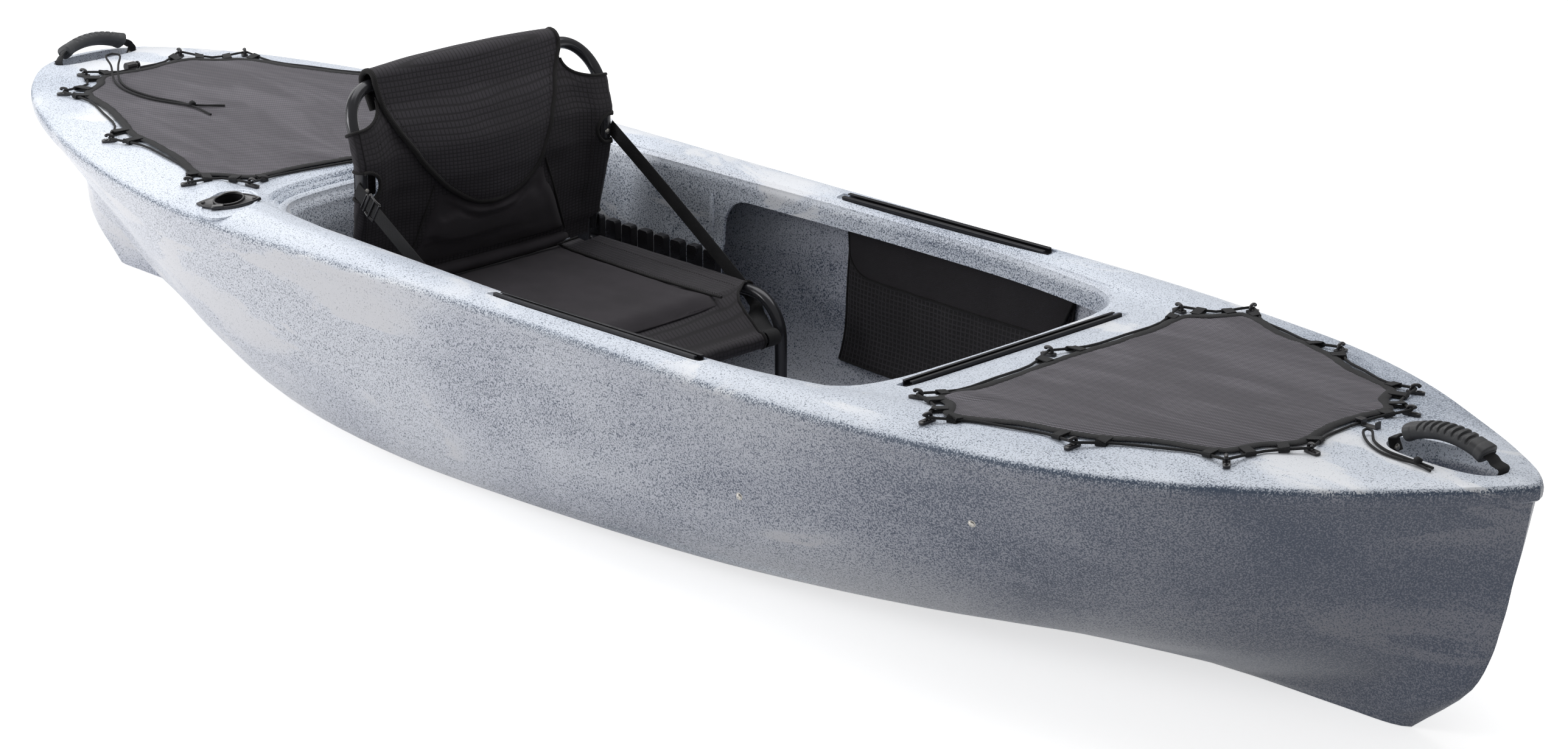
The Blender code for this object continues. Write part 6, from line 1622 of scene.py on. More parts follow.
@cache
def flap_line(hand):
    """Dense outline of one half of the flap, foot to top."""
    points = [(y, 0.0, z) for y, z in FLAP_EDGE[hand]]
    return smooth(points, (-points[1][0], 0.0, points[1][2]), (points[-1][0], 0.0, points[-1][2] + 0.02), 6)


def flap_levels():
    return sorted(place[2] for place in flap_line(1)[1:-3])


def flap_half(z, hand):
    line = flap_line(hand)
    return between(z, line[:, 2], line[:, 0])


def flap_stand(y, z):
    crown = between(z, [0.326, 0.36, 0.42, 0.47, 0.51, 0.53], [0.007, 0.008, 0.007, 0.005, 0.004, 0.004])
    rim = flap_half(z, 1 if y > 0 else -1) + 0.010
    clear = between(z, [0.49, 0.5235], [0.0, 1.0])
    low = main_stand(y, min(z, 0.47)) * (1 - clear) + CLOTH_STAND * clear
    return low + 0.0032 + crown * max(0.0, 1 - (y / rim) ** 2)


def notch_z(turn):
    """Height on the curved edge of the notch at the rivet, from -90 at its foot to 90 degrees."""
    return NOTCH_MID_Z + NOTCH_HALF * sin(radians(turn))


def corner_z(turn):
    """Height on the curved top corner, from 0 at the sleeve to 90 degrees."""
    return CORNER_TOP_Z - (CORNER_TOP_Z - SLEEVE_TOP_Z) * cos(radians(turn))


def edge_half(z, hand=1):
    """Half width of the back's main cloth: drawn in at the rivets, and curved up beside the flap."""
    half = back_half_width(z)
    notch = (z - NOTCH_MID_Z) / NOTCH_HALF
    if abs(notch) < 1:
        return half - NOTCH_DEPTH * sqrt(1 - notch ** 2)
    if z > SLEEVE_TOP_Z:
        rise = max(0.0, min(1.0, (CORNER_TOP_Z - z) / (CORNER_TOP_Z - SLEEVE_TOP_Z)))
        return half - (half - CORNER_HALF[hand]) * sqrt(max(0.0, 1 - rise ** 2))
    return half


def back_cloth_rows():
    """Main cloth of the back, with finer rows where its edge curves."""
    heights = [0.246 + 0.004 * i for i in range(66)] + [notch_z(turn) for turn in range(-90, 91, 10)]
    heights += [corner_z(turn) for turn in range(0, 91, 9)]
    rows = []
    for z in sorted({round(height, 5) for height in heights}):
        row = []
        for k in range(-44, 45):
            half = edge_half(z, 1 if k > 0 else -1)
            y = half * sin(radians(90 * k / 44)) if abs(k) > 30 else half * 0.8775 * k / 30
            fold = fold_noise(y * 16, z * 30, 1.0, 0.0022) * min(1.0, (half - abs(y)) * 30)
            row.append(back_place(y, z, main_stand(y, z) + fold))
        rows.append(row)
    lowest = [p.y * 0.93 for p in rows[0]]
    foot = (0.215, 0.221, 0.228, 0.234, 0.240)
    return [[back_place(y, z, main_stand(y, z) - 0.001) for y in lowest] for z in foot] + rows


def sleeve_pieces(hand):
    """Sleeves round one tube, open at the rivet, and the patch behind that opening."""
    pieces = []
    for low, high in ((SLEEVE_FOOT_Z, NOTCH_MID_Z - NOTCH_HALF), (NOTCH_MID_Z + NOTCH_HALF, SLEEVE_TOP_Z)):
        rows = [[tube_side(z, hand, SLEEVE_RADIUS + fold_noise(z * 60, turn / 40, hand * 3.0, 0.0010), turn)
                 for turn in range(0, 221, 10)] for z in spread(low, high, 24)]
        pieces.append(skin("sleeve", rows, 0.0014))
    reach = NOTCH_HALF + 0.003
    offs = (-0.036, -0.024, -0.010, 0.004)
    rows = [[back_place(hand * (back_half_width(z) + off), z, -0.0118) for off in offs]
            for z in spread(NOTCH_MID_Z - reach, NOTCH_MID_Z + reach, 8)]
    return pieces + [skin("patch", rows, 0.0014)]


def back_edges(hand):
    """Bound edges of the notch, of the top corner with its sleeve's end, and of the other sleeve ends."""
    notch = []
    for turn in range(-100, 101, 8):
        z = notch_z(turn)
        inward = cos(radians(turn))
        y = back_half_width(z) - NOTCH_DEPTH * inward
        notch.append(back_place(hand * y, z, main_stand(y, z) + 0.0016 + 0.004 * max(0.0, -inward)))
    corner = [tube_side(SLEEVE_TOP_Z, hand, SLEEVE_RADIUS + 0.0012, turn) for turn in range(200, 0, -20)]
    for turn in range(0, 91, 6):
        z = corner_z(turn)
        half = back_half_width(z)
        y = half - (half - CORNER_HALF[hand]) * sin(radians(turn))
        corner.append(back_place(hand * y, z, main_stand(y, z) + 0.0012))
    edges = [tube("notch", notch, 0.0062, 3), tube("corner", corner, 0.0052, 3)]
    for z in (SLEEVE_FOOT_Z, NOTCH_MID_Z - NOTCH_HALF, NOTCH_MID_Z + NOTCH_HALF):
        hem = [tube_side(z, hand, SLEEVE_RADIUS + 0.001, turn) for turn in range(0, 221, 20)]
        edges.append(tube("hem", hem, 0.0040, 2))
    return edges


def flap_rows():
    """Rows of the flap up the back, over the top tube and a little down behind it."""
    rows = []
    for z in flap_levels():
        row = []
        for k in range(-36, 37):
            y = flap_half(z, 1 if k > 0 else -1) * k / 36
            wave = fold_noise(y * 13, z * 24, 7.0, 0.0022) * (1 - abs(k) / 36)
            row.append(back_place(y, z, flap_stand(y, z) + wave))
        rows.append(row)
    top = Vector(BACK_TOP)
    run = (top - Vector(BACK_LEAN[-1])).normalized()
    front = Vector((run.y, -run.x))
    for turn in range(0, 181, 12):
        c, s = cos(radians(turn)), sin(radians(turn))
        row = []
        for k in range(-36, 37):
            y = FLAP_EDGE[1 if k > 0 else -1][-1][0] * k / 36
            stand = 0.0138 + 0.0095 * s + (0.0046 + 0.0015 * s) * (1 - (k / 36) ** 2)
            out = (front * c + run * s) * (stand + fold_noise(y * 13, turn / 50 + 3, 7.0, 0.0012))
            row.append(Vector((top.x + out.x, y, top.y + out.y)))
        rows.append(row)
    crest = rows[-1]
    return rows + [[p + Vector((-run.x * drop, 0, -run.y * drop)) for p in crest]
                   for drop in (0.012, 0.024, BACK_FOLD)]


def back_pad_rings():
    """Moulded pad under the flap, u across and v up, with a ridge along the flap's edge and its own sides."""
    hem = flap_line(1)
    rings = []
    for v in spread(0, 1, 34):
        front, back = [], []
        for u in spread(-1, 1, 48):
            y = (0.158 - 0.050 * v) * u
            z = 0.238 + (0.096 + 0.026 * abs(u) ** 2.2) * v
            edge = (1 - abs(u) ** 6) * (1 - abs(2 * v - 1) ** 6)
            below = between(abs(y), hem[:, 0], hem[:, 2]) - z - 0.010
            ridge = 0.0052 * exp(-(below / 0.0065) ** 2) + 0.0030 * exp(-((abs(u) - 0.93) / 0.06) ** 2)
            stand = main_stand(y, z) + 0.0005
            front.append(back_place(y, z, stand + 0.002 + (0.0052 + ridge) * edge ** 0.6))
            back.append(back_place(y, z, stand))
        rings.append(front + back[::-1])
    return rings


def back_roll_rings():
    """Roll at the foot of the back."""
    rings = []
    for y in spread(-0.170, 0.170, 34):
        swell = 0.0128 * (1 - abs(y / 0.176) ** 8) ** 0.5 + fold_noise(y * 40, 0.0, 5.0, 0.0010)
        centre = back_place(y, ROLL_Z, CLOTH_STAND + 0.006 * (1 - (y / 0.2) ** 2))
        rings.append([centre + Vector((swell * c * 1.05, 0, swell * 0.86 * s)) for c, s in circle(20)])
    return rings


def back_stitch_lines():
    """Two rows of thread beside each tube, and one along each edge of the flap."""
    lines = []
    sides, levels = [0.252 + 0.004 * i for i in range(51)], flap_levels()[2:]
    for hand in (1, -1):
        for off in (0.030, 0.036):
            points = []
            for z in sides:
                y = back_half_width(z) - off
                inside = hand * min(y, edge_half(z, hand) - 0.009)
                points.append(back_place(inside, z, main_stand(y, z) + 0.0019))
            lines.append((points, [back_out(z) for z in sides]))
    for hand in (1, -1):
        points = []
        for z in levels:
            y = hand * (flap_half(z, hand) - 0.0105)
            points.append(back_place(y, z, flap_stand(y, z) + 0.0030))
        lines.append((points, [back_out(z) for z in levels]))
    return lines


def make_rivets(surface):
    """Domed rivets that hold the straps."""
    rivets = []
    for hand in (1, -1):
        centre = back_place(hand * (BACK_HALF_WIDTH - 0.002), RIVET_Z - 0.004, SEAT_TUBE / 2 - 0.0008)
        rings = [[centre + Vector((RIVET_RISE * reach * c, reach * s, level)) for c, s in circle(20)]
                 for level, reach in arc((0, 0), RIVET_RADIUS, 0, 180, 12)[1:-1]]
        dome = bmesh.new()
        rows = lay_faces(dome, rings, True)
        for row, level in ((rows[0], RIVET_RADIUS), (rows[-1], -RIVET_RADIUS)):
            pole = dome.verts.new(centre + UP * level)
            for i in range(20):
                dome.faces.new((row[i], row[i - 1], pole))
        rivets.append(from_bmesh("rivet", dome))
    dress_parts("strap_rivets", rivets, surface, "backrest")


def make_back(cloth, flap_cloth, pad_cloth, trim, thread, metal):
    """Cloth back on its tubes, with its flap, pad, roll, bindings, sewing and rivets."""
    pieces, edges, seams = [skin("back_cloth", back_cloth_rows(), 0.0016)], [], []
    for hand in (1, -1):
        pieces += sleeve_pieces(hand)
        edges += back_edges(hand)
    back = dress_parts("back_panel", pieces, cloth, "backrest", 50)
    dress_parts("back_binding", edges, trim, "backrest")
    rows = flap_rows()
    flap = dress(skin("back_flap", rows, 0.0026), flap_cloth, "backrest", 60)
    rim = [row[0] for row in rows[::-1]] + [row[-1] for row in rows[1:]]
    rim = [p + back_out(min(p.z, 0.52)) * 0.0012 for p in rim]
    flap_trim = dress(tube("flap_binding", rim, 0.0090, 3), trim, "backrest", 60)
    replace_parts(flap, "back_fabric")
    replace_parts(back, "back_fabric")
    make_pad("back_pad", back_pad_rings(), (3.0, 0.004), pad_cloth, "backrest",
             back_place(0.0, 0.29, main_stand(0.0, 0.29)))
    for hand in (1, -1):
        seam = []
        for t in spread(0, 1, 12):
            z = 0.238 + 0.128 * t
            seam.append(back_place(hand * (0.162 - 0.050 * t), z, main_stand(0.14, z) + 0.0030))
        seams.append(tube("seam", seam, 0.0034, 2))
    dress_parts("back_pad_seams", seams, trim, "backrest")
    make_pad("back_roll", back_roll_rings(), None, pad_cloth, "backrest",
             back_place(0.0, ROLL_Z, 0.002))
    stitches("back_stitching", back_stitch_lines(), thread, "backrest")
    make_rivets(metal)


def make_tubes(paint, plastic):
    """Round tubes of the seat and its back, in place of the faceted ones."""
    for side, word in SIDES:
        y = SEAT_HALF_WIDTH * side
        bend = arc((SEAT_LEG_X - SEAT_BEND, SEAT_RAIL_Z - SEAT_BEND), SEAT_BEND, 90, 0, 24)
        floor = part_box(f"seat_rail_{word}")[0][2]
        places = [(SEAT_RAIL_AFT, y, SEAT_RAIL_Z)] + [(x, y, z) for x, z in bend] + [(SEAT_LEG_X, y, floor)]
        rail = dress(tube(f"side_rail_{word}", places, SEAT_TUBE, 7), paint, "seat", 60)
        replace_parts(rail, f"seat_rail_{word}")
        end = Matrix.Translation((SEAT_RAIL_AFT - 0.001, y, SEAT_RAIL_Z))
        end = end @ Matrix.Rotation(radians(90), 4, "Y")
        plug = soften(rod(f"rail_plug_{word}", SEAT_TUBE / 2 + 0.0012, 0.007, end, 28), 0.0014, 3)
        dress(plug, plastic, "seat", 60)
    half = [(x, back_half_width(z), z) for x, z in BACK_LEAN]
    low, top = Vector(BACK_LEAN[-1]), Vector(BACK_TOP)
    for across_corner, up in arc((0, 0), 1.0, 0, 90, 18)[1:]:
        place = low.lerp(top, up)
        half.append((place.x, BACK_HALF_WIDTH - BACK_CORNER * (1 - across_corner), place.y))
    frame_tube = tube("back_frame_tube", half + [mirrored(p) for p in reversed(half)], SEAT_TUBE, 7)
    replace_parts(dress(frame_tube, paint, "backrest", 60), "back_tube")


# Seat base

SLING_XS = spread(SLING_AFT, SLING_CORNER_X, 44)


def sling_drop(x, y):
    """How far the seat cloth hangs under the level of the rails' tops."""
    share = max(0.0, 1 - (abs(y) / SEAT_HALF_WIDTH) ** 2.2)
    along = between(x, [SEAT_CLOTH_AFT, -0.43, -0.25, -0.12, -0.06], [0.30, 0.70, 1.0, 0.75, 0.45])
    return SLING_SAG * share * along


def sling_z(x, y):
    """Height of the seat cloth, with its wrinkles."""
    wrinkle = 0.0016 * exp(-((abs(y) - 0.17) / 0.05) ** 2) + 0.0010
    return RAIL_TOP_Z - sling_drop(x, y) + fold_noise(x * 26 + abs(y) * 18, y * 9, 2.0, wrinkle)


def seat_side_rows():
    """Seat cloth from rail to rail, wrapped round both."""
    rows = []
    half = SEAT_HALF_WIDTH * 0.97
    for x in SLING_XS:
        wrap = []
        for turn in range(-120, 91, 14):
            a = radians(turn)
            swell = SLING_RADIUS + fold_noise(x * 50, turn / 30, 9.0, 0.0008)
            wrap.append((SEAT_HALF_WIDTH + swell * cos(a), SEAT_RAIL_Z + swell * sin(a)))
        flat = [(y, sling_z(x, y)) for y in spread(half, -half, 60)]
        rows.append([Vector((x, y, z)) for y, z in wrap + flat + [(-y, z) for y, z in reversed(wrap)]])
    return rows


def seat_front_rows():
    """Front of the seat cloth: it narrows past the rails' bends and rolls over the front tube."""
    rows = []
    wide, narrow = SEAT_HALF_WIDTH * 0.97, SLING_FRONT_HALF
    for x, share in ((SLING_CORNER_X, 0.0), (-0.100, 0.12), (-0.088, 0.30), (-0.072, 0.55),
                     (SEAT_LEG_X - 0.016, 0.86)):
        half = wide + (narrow - wide) * min(1.0, (x - SLING_CORNER_X) / 0.03) ** 0.5
        rows.append([Vector((x, y, sling_z(x, y) * (1 - share) + (FRONT_TOP_Z + 0.0055) * share))
                     for y in spread(half, -half, 60)])
    for turn in range(100, -111, -15):
        a = radians(turn)
        z = FRONT_TUBE_Z + (SLING_RADIUS + 0.001) * sin(a)
        row = []
        for y in spread(narrow, -narrow, 60):
            reach = SLING_RADIUS + fold_noise(y * 60, turn / 40, 4.0, 0.0010)
            row.append(Vector((SEAT_LEG_X + reach * cos(a), y, z)))
        rows.append(row)
    return rows


def seat_pad_rings():
    """Smoother middle panel, a little padded."""
    rings = []
    for i, x in enumerate(spread(SEAT_CLOTH_AFT + 0.004, SLING_CORNER_X + 0.028, 40)):
        upper, lower = [], []
        for y in spread(SEAT_SEAM, -SEAT_SEAM, 40):
            edge = max(0.0, 1 - abs(y / SEAT_SEAM) ** 6) * (1 - abs(i / 20 - 1) ** 8)
            level = RAIL_TOP_Z - sling_drop(x, y) + 0.0016
            if x > SLING_CORNER_X:
                share = (x - SLING_CORNER_X) / 0.075
                level = level * (1 - share) + (FRONT_TOP_Z + 0.012) * share
            crease = fold_noise(x * 30 + y * 22, y * 30 - x * 10, 11.0, 0.0026) * edge
            upper.append(Vector((x, y, level + 0.0010 + 0.0062 * edge ** 0.7 + crease)))
            lower.append(Vector((x, y, level)))
        rings.append(upper + lower[::-1])
    return rings


def make_base(cloth, pad_cloth, trim, thread):
    """Seat cloth sewn round the rails and over the front tube, with its middle pad, bindings and sewing."""
    front_rows = seat_front_rows()
    rear_rows = [[Vector((x, y, sling_z(x, y))) for y in spread(SLING_REAR_HALF, -SLING_REAR_HALF, 60)]
                 for x in spread(SEAT_CLOTH_AFT, SLING_AFT, 3)]
    pieces = [skin(name, rows, 0.0018, -1)
              for name, rows in (("side", seat_side_rows()), ("rear", rear_rows), ("front", front_rows))]
    base = dress_parts("seat_cloth_panel", pieces, cloth, "seat")
    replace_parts(base, "seat_sling")
    make_pad("seat_pad", seat_pad_rings(), (2.0, 0.003), pad_cloth, "seat",
             (-0.25, 0.0, sling_z(-0.25, 0.0)))
    cords, threads = [], []
    for hand in (1, -1):
        seam = [Vector((x, hand * (SEAT_SEAM + 0.001), RAIL_TOP_Z - sling_drop(x, SEAT_SEAM) + 0.0030))
                for x in spread(SEAT_CLOTH_AFT + 0.006, SLING_CORNER_X + 0.024, 39)]
        edge_y = SEAT_HALF_WIDTH - 0.022
        inner = [Vector((x, hand * edge_y, sling_z(x, edge_y) + 0.0006)) for x in SLING_XS]
        for line in [[p + Vector((0, hand * off, 0.0002)) for p in seam] for off in (0.006, 0.010)] + [inner]:
            threads.append((line, [UP] * len(line)))
        rim = [Vector((SLING_CORNER_X, hand * (SEAT_HALF_WIDTH + 0.006), RAIL_TOP_Z - 0.002))]
        rim += [row[0] if hand > 0 else row[-1] for row in front_rows]
        hem = []
        for turn in range(-110, 91, 20):
            a, reach = radians(turn), SLING_RADIUS + 0.001
            y = hand * (SEAT_HALF_WIDTH + reach * cos(a))
            hem.append((SLING_CORNER_X, y, SEAT_RAIL_Z + reach * sin(a)))
        cords += [tube("seam", seam, 0.0042, 3), tube("rim", [p + UP * 0.0006 for p in rim], 0.0048, 3),
                  tube("hem", hem, 0.0042, 2)]
    rear = [(SEAT_CLOTH_AFT + 0.001, y, sling_z(SEAT_CLOTH_AFT, y) + 0.0006)
            for y in spread(SLING_REAR_HALF, -SLING_REAR_HALF, 40)]
    dress_parts("seat_binding", cords + [tube("rear", rear, 0.0044, 3)], trim, "seat")
    stitches("seat_stitching", threads, thread, "seat")


# Straps

def strap_route(side):
    """Places of a strap, rivet to loop round the front tube, each with the strap's side direction."""
    y = BACK_HALF_WIDTH + SEAT_TUBE / 2 + GAP + STRAP[1] / 2
    upright = (0.53, 0.0, 0.85)
    route = [
        ((-0.4440, y, RIVET_Z), upright), ((-0.380, y, 0.3455), upright),
        ((-0.300, y - 0.001, 0.2960), upright), ((-0.200, y - 0.004, 0.2340), upright),
        ((-0.135, y - 0.0055, 0.1920), upright),
        ((-0.108, SEAT_HALF_WIDTH + 0.0125, 0.1745), (0.5, 0.25, 0.8)),
        ((-0.082, SEAT_HALF_WIDTH - 0.0090, 0.1650), (0.25, 0.85, 0.35)),
        ((-0.062, SEAT_HALF_WIDTH - 0.0180, 0.1605), (0.0, 1.0, 0.1))]
    radius = SEAT_TUBE / 2 + 0.0012 + STRAP[1]
    loop_y = SEAT_HALF_WIDTH - SEAT_TUBE / 2 - STRAP[0] / 2 - 0.002
    for turn in range(112, -150, -20):
        a = radians(turn)
        place = (SEAT_LEG_X + radius * cos(a), loop_y, FRONT_TUBE_Z + radius * sin(a))
        route.append((place, (0.0, 1.0, 0.0)))
    return [tuple(Vector((x, y * side, z)) for x, y, z in pair) for pair in route]


def fine_ribbon(name, route, size, steps, surface):
    """Strap with rounded edges on a smooth run of points and side directions, riding on no body yet."""
    width, thick = size
    points, sides = zip(*route)
    dense = [Vector(p) for p in smooth(points, steps=steps)]
    rings = []
    for i, here in enumerate(dense):
        behind, ahead = neighbours(dense, i)
        run = (ahead - behind).normalized()
        t = min(i / steps, len(sides) - 1.0001)
        side = sides[int(t)].lerp(sides[int(t) + 1], t - int(t))
        side = (side - run * side.dot(run)).normalized()
        out = run.cross(side)
        rings.append([here + side * width * s + out * thick * h for s, h in STRAP_PROFILE])
    return dress(loft(name, rings), surface, None, 50)


def make_straps(surface):
    for side, word in SIDES:
        strap = fine_ribbon(f"back_tension_strap_{word}", strap_route(side), STRAP, 5, surface)
        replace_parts(strap, f"back_strap_{word}")
        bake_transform(strap)


def make_ladder_lock(surface):
    """Buckle on the starboard strap: a curved frame with two bars, set along the strap's first run."""
    (start, side), (end, _) = strap_route(-1)[:2]
    run = (end - start).normalized()
    side = (side - run * side.dot(run)).normalized()
    long, wide = 0.0125, STRAP[0] / 2 + 0.0042
    bars = []
    for hand in (1, -1):
        rail = [(x, hand * wide, 0.0012 - 14 * x * x) for x in spread(-long, long, 12)]
        bars.append(tube("rail", rail, 0.0036, 3))
    for x, lift, thick in ((long, 0.0004, 0.0040), (0.0018, 0.0024, 0.0032), (-long + 0.001, 0.0008, 0.0046)):
        bars.append(tube("bar", [(x, y, lift) for y in spread(-wide, wide, 4)], thick, 3))
    lip = [(-long - 0.0035, y, 0.0035) for y in spread(-wide * 0.8, wide * 0.8, 2)]
    bars.append(tube("lip", lip, 0.0030, 3))
    bars.append(box("tab", (0.0050, wide * 1.6, 0.0018), (-long - 0.0012, 0, 0.0022), 0.0006))
    lock = join_parts("ladder_lock", bars)
    lock.data.transform(upright_frame(run, side, run.cross(side), start.lerp(end, 0.55)))
    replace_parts(dress(lock, surface, "backrest", 50), "strap_buckle")


# Carry handles and rod holders

def scoop_reach(scoop, y, depth):
    """How far a scoop reaches along its length at an offset from its middle and at a depth."""
    waist = 0.7 + 0.3 * SCOOP_FLOOR
    scale = 1 - (1 - waist) * depth / (SCOOP_WAIST * SCOOP_DEPTH)
    half_x, half_y = scoop[0] * scale, scoop[1] * scale
    return half_x * (1 - (y / half_y) ** SCOOP_POWER) ** (1 / SCOOP_POWER)


def screw_head(radius, matrix):
    """Domed head with a cross recess and a washer under it, along the matrix's local Z."""
    profile = [(1.28, 0.0), (1.28, 0.10), (1.0, 0.16), (1.0, 0.34), (0.86, 0.52), (0.60, 0.64), (0.36, 0.69)]
    turns = circle(32)
    rings = [[(c * reach, s * reach, height) for c, s in turns] for reach, height in profile]
    lobes = [0.10 + 0.24 * max(0.0, cos(2 * tau * i / 32)) ** 3 for i in range(32)]
    for scale, height in ((1.0, 0.70), (0.9, 0.30)):
        rings.append([(c * lobe * scale, s * lobe * scale, height) for (c, s), lobe in zip(turns, lobes)])
    head = loft("screw_head", rings)
    head.data.transform(matrix @ Matrix.Scale(radius, 4))
    return head


def make_grip(end, frame, lean, rubber):
    """Moulded grip, thick at its ends, with wide slots across its back."""
    tipped = frame @ Matrix.Translation((0, 0, HANDLE_PIVOT_LIFT)) @ Matrix.Rotation(radians(lean), 4, "X")
    tipped = tipped @ Matrix.Translation((0, 0, -HANDLE_PIVOT_LIFT))
    pitch = GRIP_HALF_LENGTH * 1.36 / GRIP_NOTCHES

    def up_at(s):
        return Vector((2 * GRIP_RISE * s / GRIP_HALF_LENGTH ** 2, 0, 1)).normalized()

    rings, collars = [], []
    for s in spread(-GRIP_HALF_LENGTH, GRIP_HALF_LENGTH, 176):
        share = s / GRIP_HALF_LENGTH
        centre = Vector((s, 0, GRIP_END_LIFT + GRIP_RISE * (1 - share ** 2)))
        swell = 1.0 + 0.12 * max(0.0, (abs(share) - 0.80) / 0.20) ** 0.6
        swell *= min(1.0, 0.82 + 0.18 * sqrt(min(1.0, (1 - abs(share)) / 0.035)))
        step = s / pitch + (GRIP_NOTCHES - 1) / 2
        near = abs(step - round(step)) * pitch
        depth = 0.0030 * min(1.0, max(0.0, (0.0027 - near) / 0.0008))
        if not 0 <= round(step) < GRIP_NOTCHES:
            depth = 0.0
        ring = []
        for y, z in ellipse(GRIP_WIDTH / 2 * swell, GRIP_HEIGHT / 2 * swell, 48, 2.8):
            if z > 0:
                z -= depth * min(1.0, max(0.0, (z - 0.0015) / 0.004))
            ring.append(tipped @ (centre + Vector((0, y, 0)) + up_at(s) * z))
        rings.append(ring)
    grip = dress(loft(f"{end}_carry_grip", rings), rubber, f"{end}_grip", 50)
    for hand in (-1, 1):
        s = hand * GRIP_HALF_LENGTH
        ring = [tipped @ (Vector((s + hand * 0.0002, y, GRIP_END_LIFT)) + up_at(s) * z)
                for y, z in ellipse(0.0135, 0.0050, 32, 3.0)]
        collars.append(tube("collar", ring + ring[:1], 0.0016, 2))
    dress_parts(f"{end}_grip_collars", collars, rubber, f"{end}_grip")
    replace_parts(grip, f"{end}_grip")
    return tipped


def make_carry(end, frame, scoop, lean, rubber, surface, screw):
    """Grip, and the two ends of its webbing strap, each folded down into its scoop and screwed there."""
    tipped = make_grip(end, frame, lean, rubber)
    width, thick = WEBBING
    clear = thick + GAP + 0.0012
    upright, tipped_side = [matrix.to_3x3() @ Vector((0, 1, 0)) for matrix in (frame, tipped)]
    heads = []
    for hand, word in ((-1, "a"), (1, "b")):
        route = []
        for h in (-0.0140, -0.0085, -0.003, HANDLE_PIVOT_LIFT):
            reach = scoop_reach(scoop, width / 2, max(0.0, -h)) + thick / 2 - clear
            route.append((frame @ Vector((hand * reach, 0, h)), upright))
        for past, drop in ((0.012, 0.0022), (0.007, 0.0), (0.0, 0.0), (-0.006, 0.0)):
            rise = GRIP_END_LIFT - past * 2 * GRIP_RISE / GRIP_HALF_LENGTH - drop
            route.append((tipped @ Vector((hand * (GRIP_HALF_LENGTH + past), 0, rise)), tipped_side))
        strap = fine_ribbon(f"{end}_carry_strap_{word}", route, WEBBING, 6, surface)
        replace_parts(strap, f"{end}_handle_strap")
        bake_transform(strap)
        reach = scoop_reach(scoop, width / 2, 0.009) - clear
        turn = Matrix.Rotation(radians(-90 * hand), 4, "Y")
        heads.append(screw_head(0.0042, frame @ Matrix.Translation((hand * reach, 0, -0.009)) @ turn))
    dress_parts(f"{end}_carry_screws", heads, screw, smooth_angle=50)


def make_rod_holder(name, frame, side, surface):
    """Pointed lens flange with a rolled edge and a latch tab, over a leaning tube with a raised mouth."""
    long, wide = ROD_HOLDER_FLANGE[0], LENS_HALF_WIDTH
    axis = frame.to_3x3().inverted() @ Vector((cos(LENS_TURN), -side * sin(LENS_TURN), 0))
    turned = Matrix.Rotation(atan2(axis.y, axis.x), 3, "Z")
    shift = Vector((LENS_SHIFT[0], LENS_SHIFT[1] * side, 0))
    outline = []
    for hand in (1, -1):
        for t in spread(1, -1, 48)[:-1]:
            bow = wide * (1 - t * t) + 0.0022 * (1 - t ** 8)
            outline.append(turned @ Vector((hand * t * long, hand * bow, 0)) + shift)
    profile = [(1.0, -FLANGE_THICK), (1.0, -0.0006), (0.985, 0.0004), (0.955, 0.0008), (0.925, 0.0004),
               (0.905, -0.0004), (0.88, -0.0007)]
    holder = loft("flange", [[frame @ Vector((p.x * share, p.y * share, height + GAP)) for p in outline]
                             for share, height in profile])
    lean = Vector((ROD_TUBE_LEAN[0], ROD_TUBE_LEAN[1] * side, -1)).normalized()
    turn = lean.to_track_quat("-Z", "Y").to_matrix().to_4x4()
    top = frame @ Vector((ROD_BORE_SHIFT[0], ROD_BORE_SHIFT[1] * side, -0.002))
    for radius, length, up, operation in ((ROD_BORE + ROD_TUBE_WALL, ROD_TUBE_LENGTH, 0.0, "UNION"),
                                          (ROD_BORE, ROD_TUBE_LENGTH + 0.018, 0.015, "DIFFERENCE")):
        middle = Matrix.Translation(top + lean * (ROD_TUBE_LENGTH / 2 - up)) @ turn
        boolean(holder, rod("tube", radius, length, middle, 56), operation)
    soften(holder, 0.0006)
    into = frame.inverted()
    local_lean = into.to_3x3() @ lean
    u = local_lean.cross(Vector((0, 1, 0))).normalized()
    v = local_lean.cross(u)
    ring = []
    for c, s in circle(64):
        place = into @ top + (u * c + v * s) * (ROD_BORE + 0.0012)
        ring.append(frame @ (place - local_lean * ((place.z - 0.0004) / local_lean.z)))
    inner = turned.to_4x4()
    inner.translation = shift + UP * GAP
    inner = frame @ inner
    outboard = 1 if (inner.to_3x3() @ Vector((0, 1, 0))).y * side > 0 else -1
    parts = [holder, tube("lip", ring + ring[:2], 0.0036, 4),
             box("tab", (0.019, 0.010, 0.006), (-0.013, outboard * (wide - 0.002), -0.0005), 0.0012, inner)]
    parts += [screw_head(0.0034, inner @ Matrix.Translation((x, 0, -0.0006))) for x in (-0.040, 0.040)]
    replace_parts(dress_parts(f"{name}_moulded", parts, surface, smooth_angle=40), name)


# Storage pouch, screws and beads

def make_ring(deck, surface):
    """Small split ring and its tab, hung from the lip over the pouch."""
    x, z = RING_AT
    y = deck.inner_side(x, z).y
    bpy.ops.object.select_all(action="DESELECT")
    bpy.ops.mesh.primitive_torus_add(
        major_radius=0.0062, minor_radius=0.0011, major_segments=40, minor_segments=10,
        location=(x, y - 0.0045, z - 0.0085), rotation=(radians(84), 0, radians(12)))
    ring = bpy.context.object
    bpy.ops.object.transform_apply(location=True, rotation=True, scale=True)
    eye = box("eye", (0.006, 0.005, 0.009), (x, y - 0.0030, z), 0.0012)
    dress_parts("pouch_ring", [ring, eye], surface, smooth_angle=35)


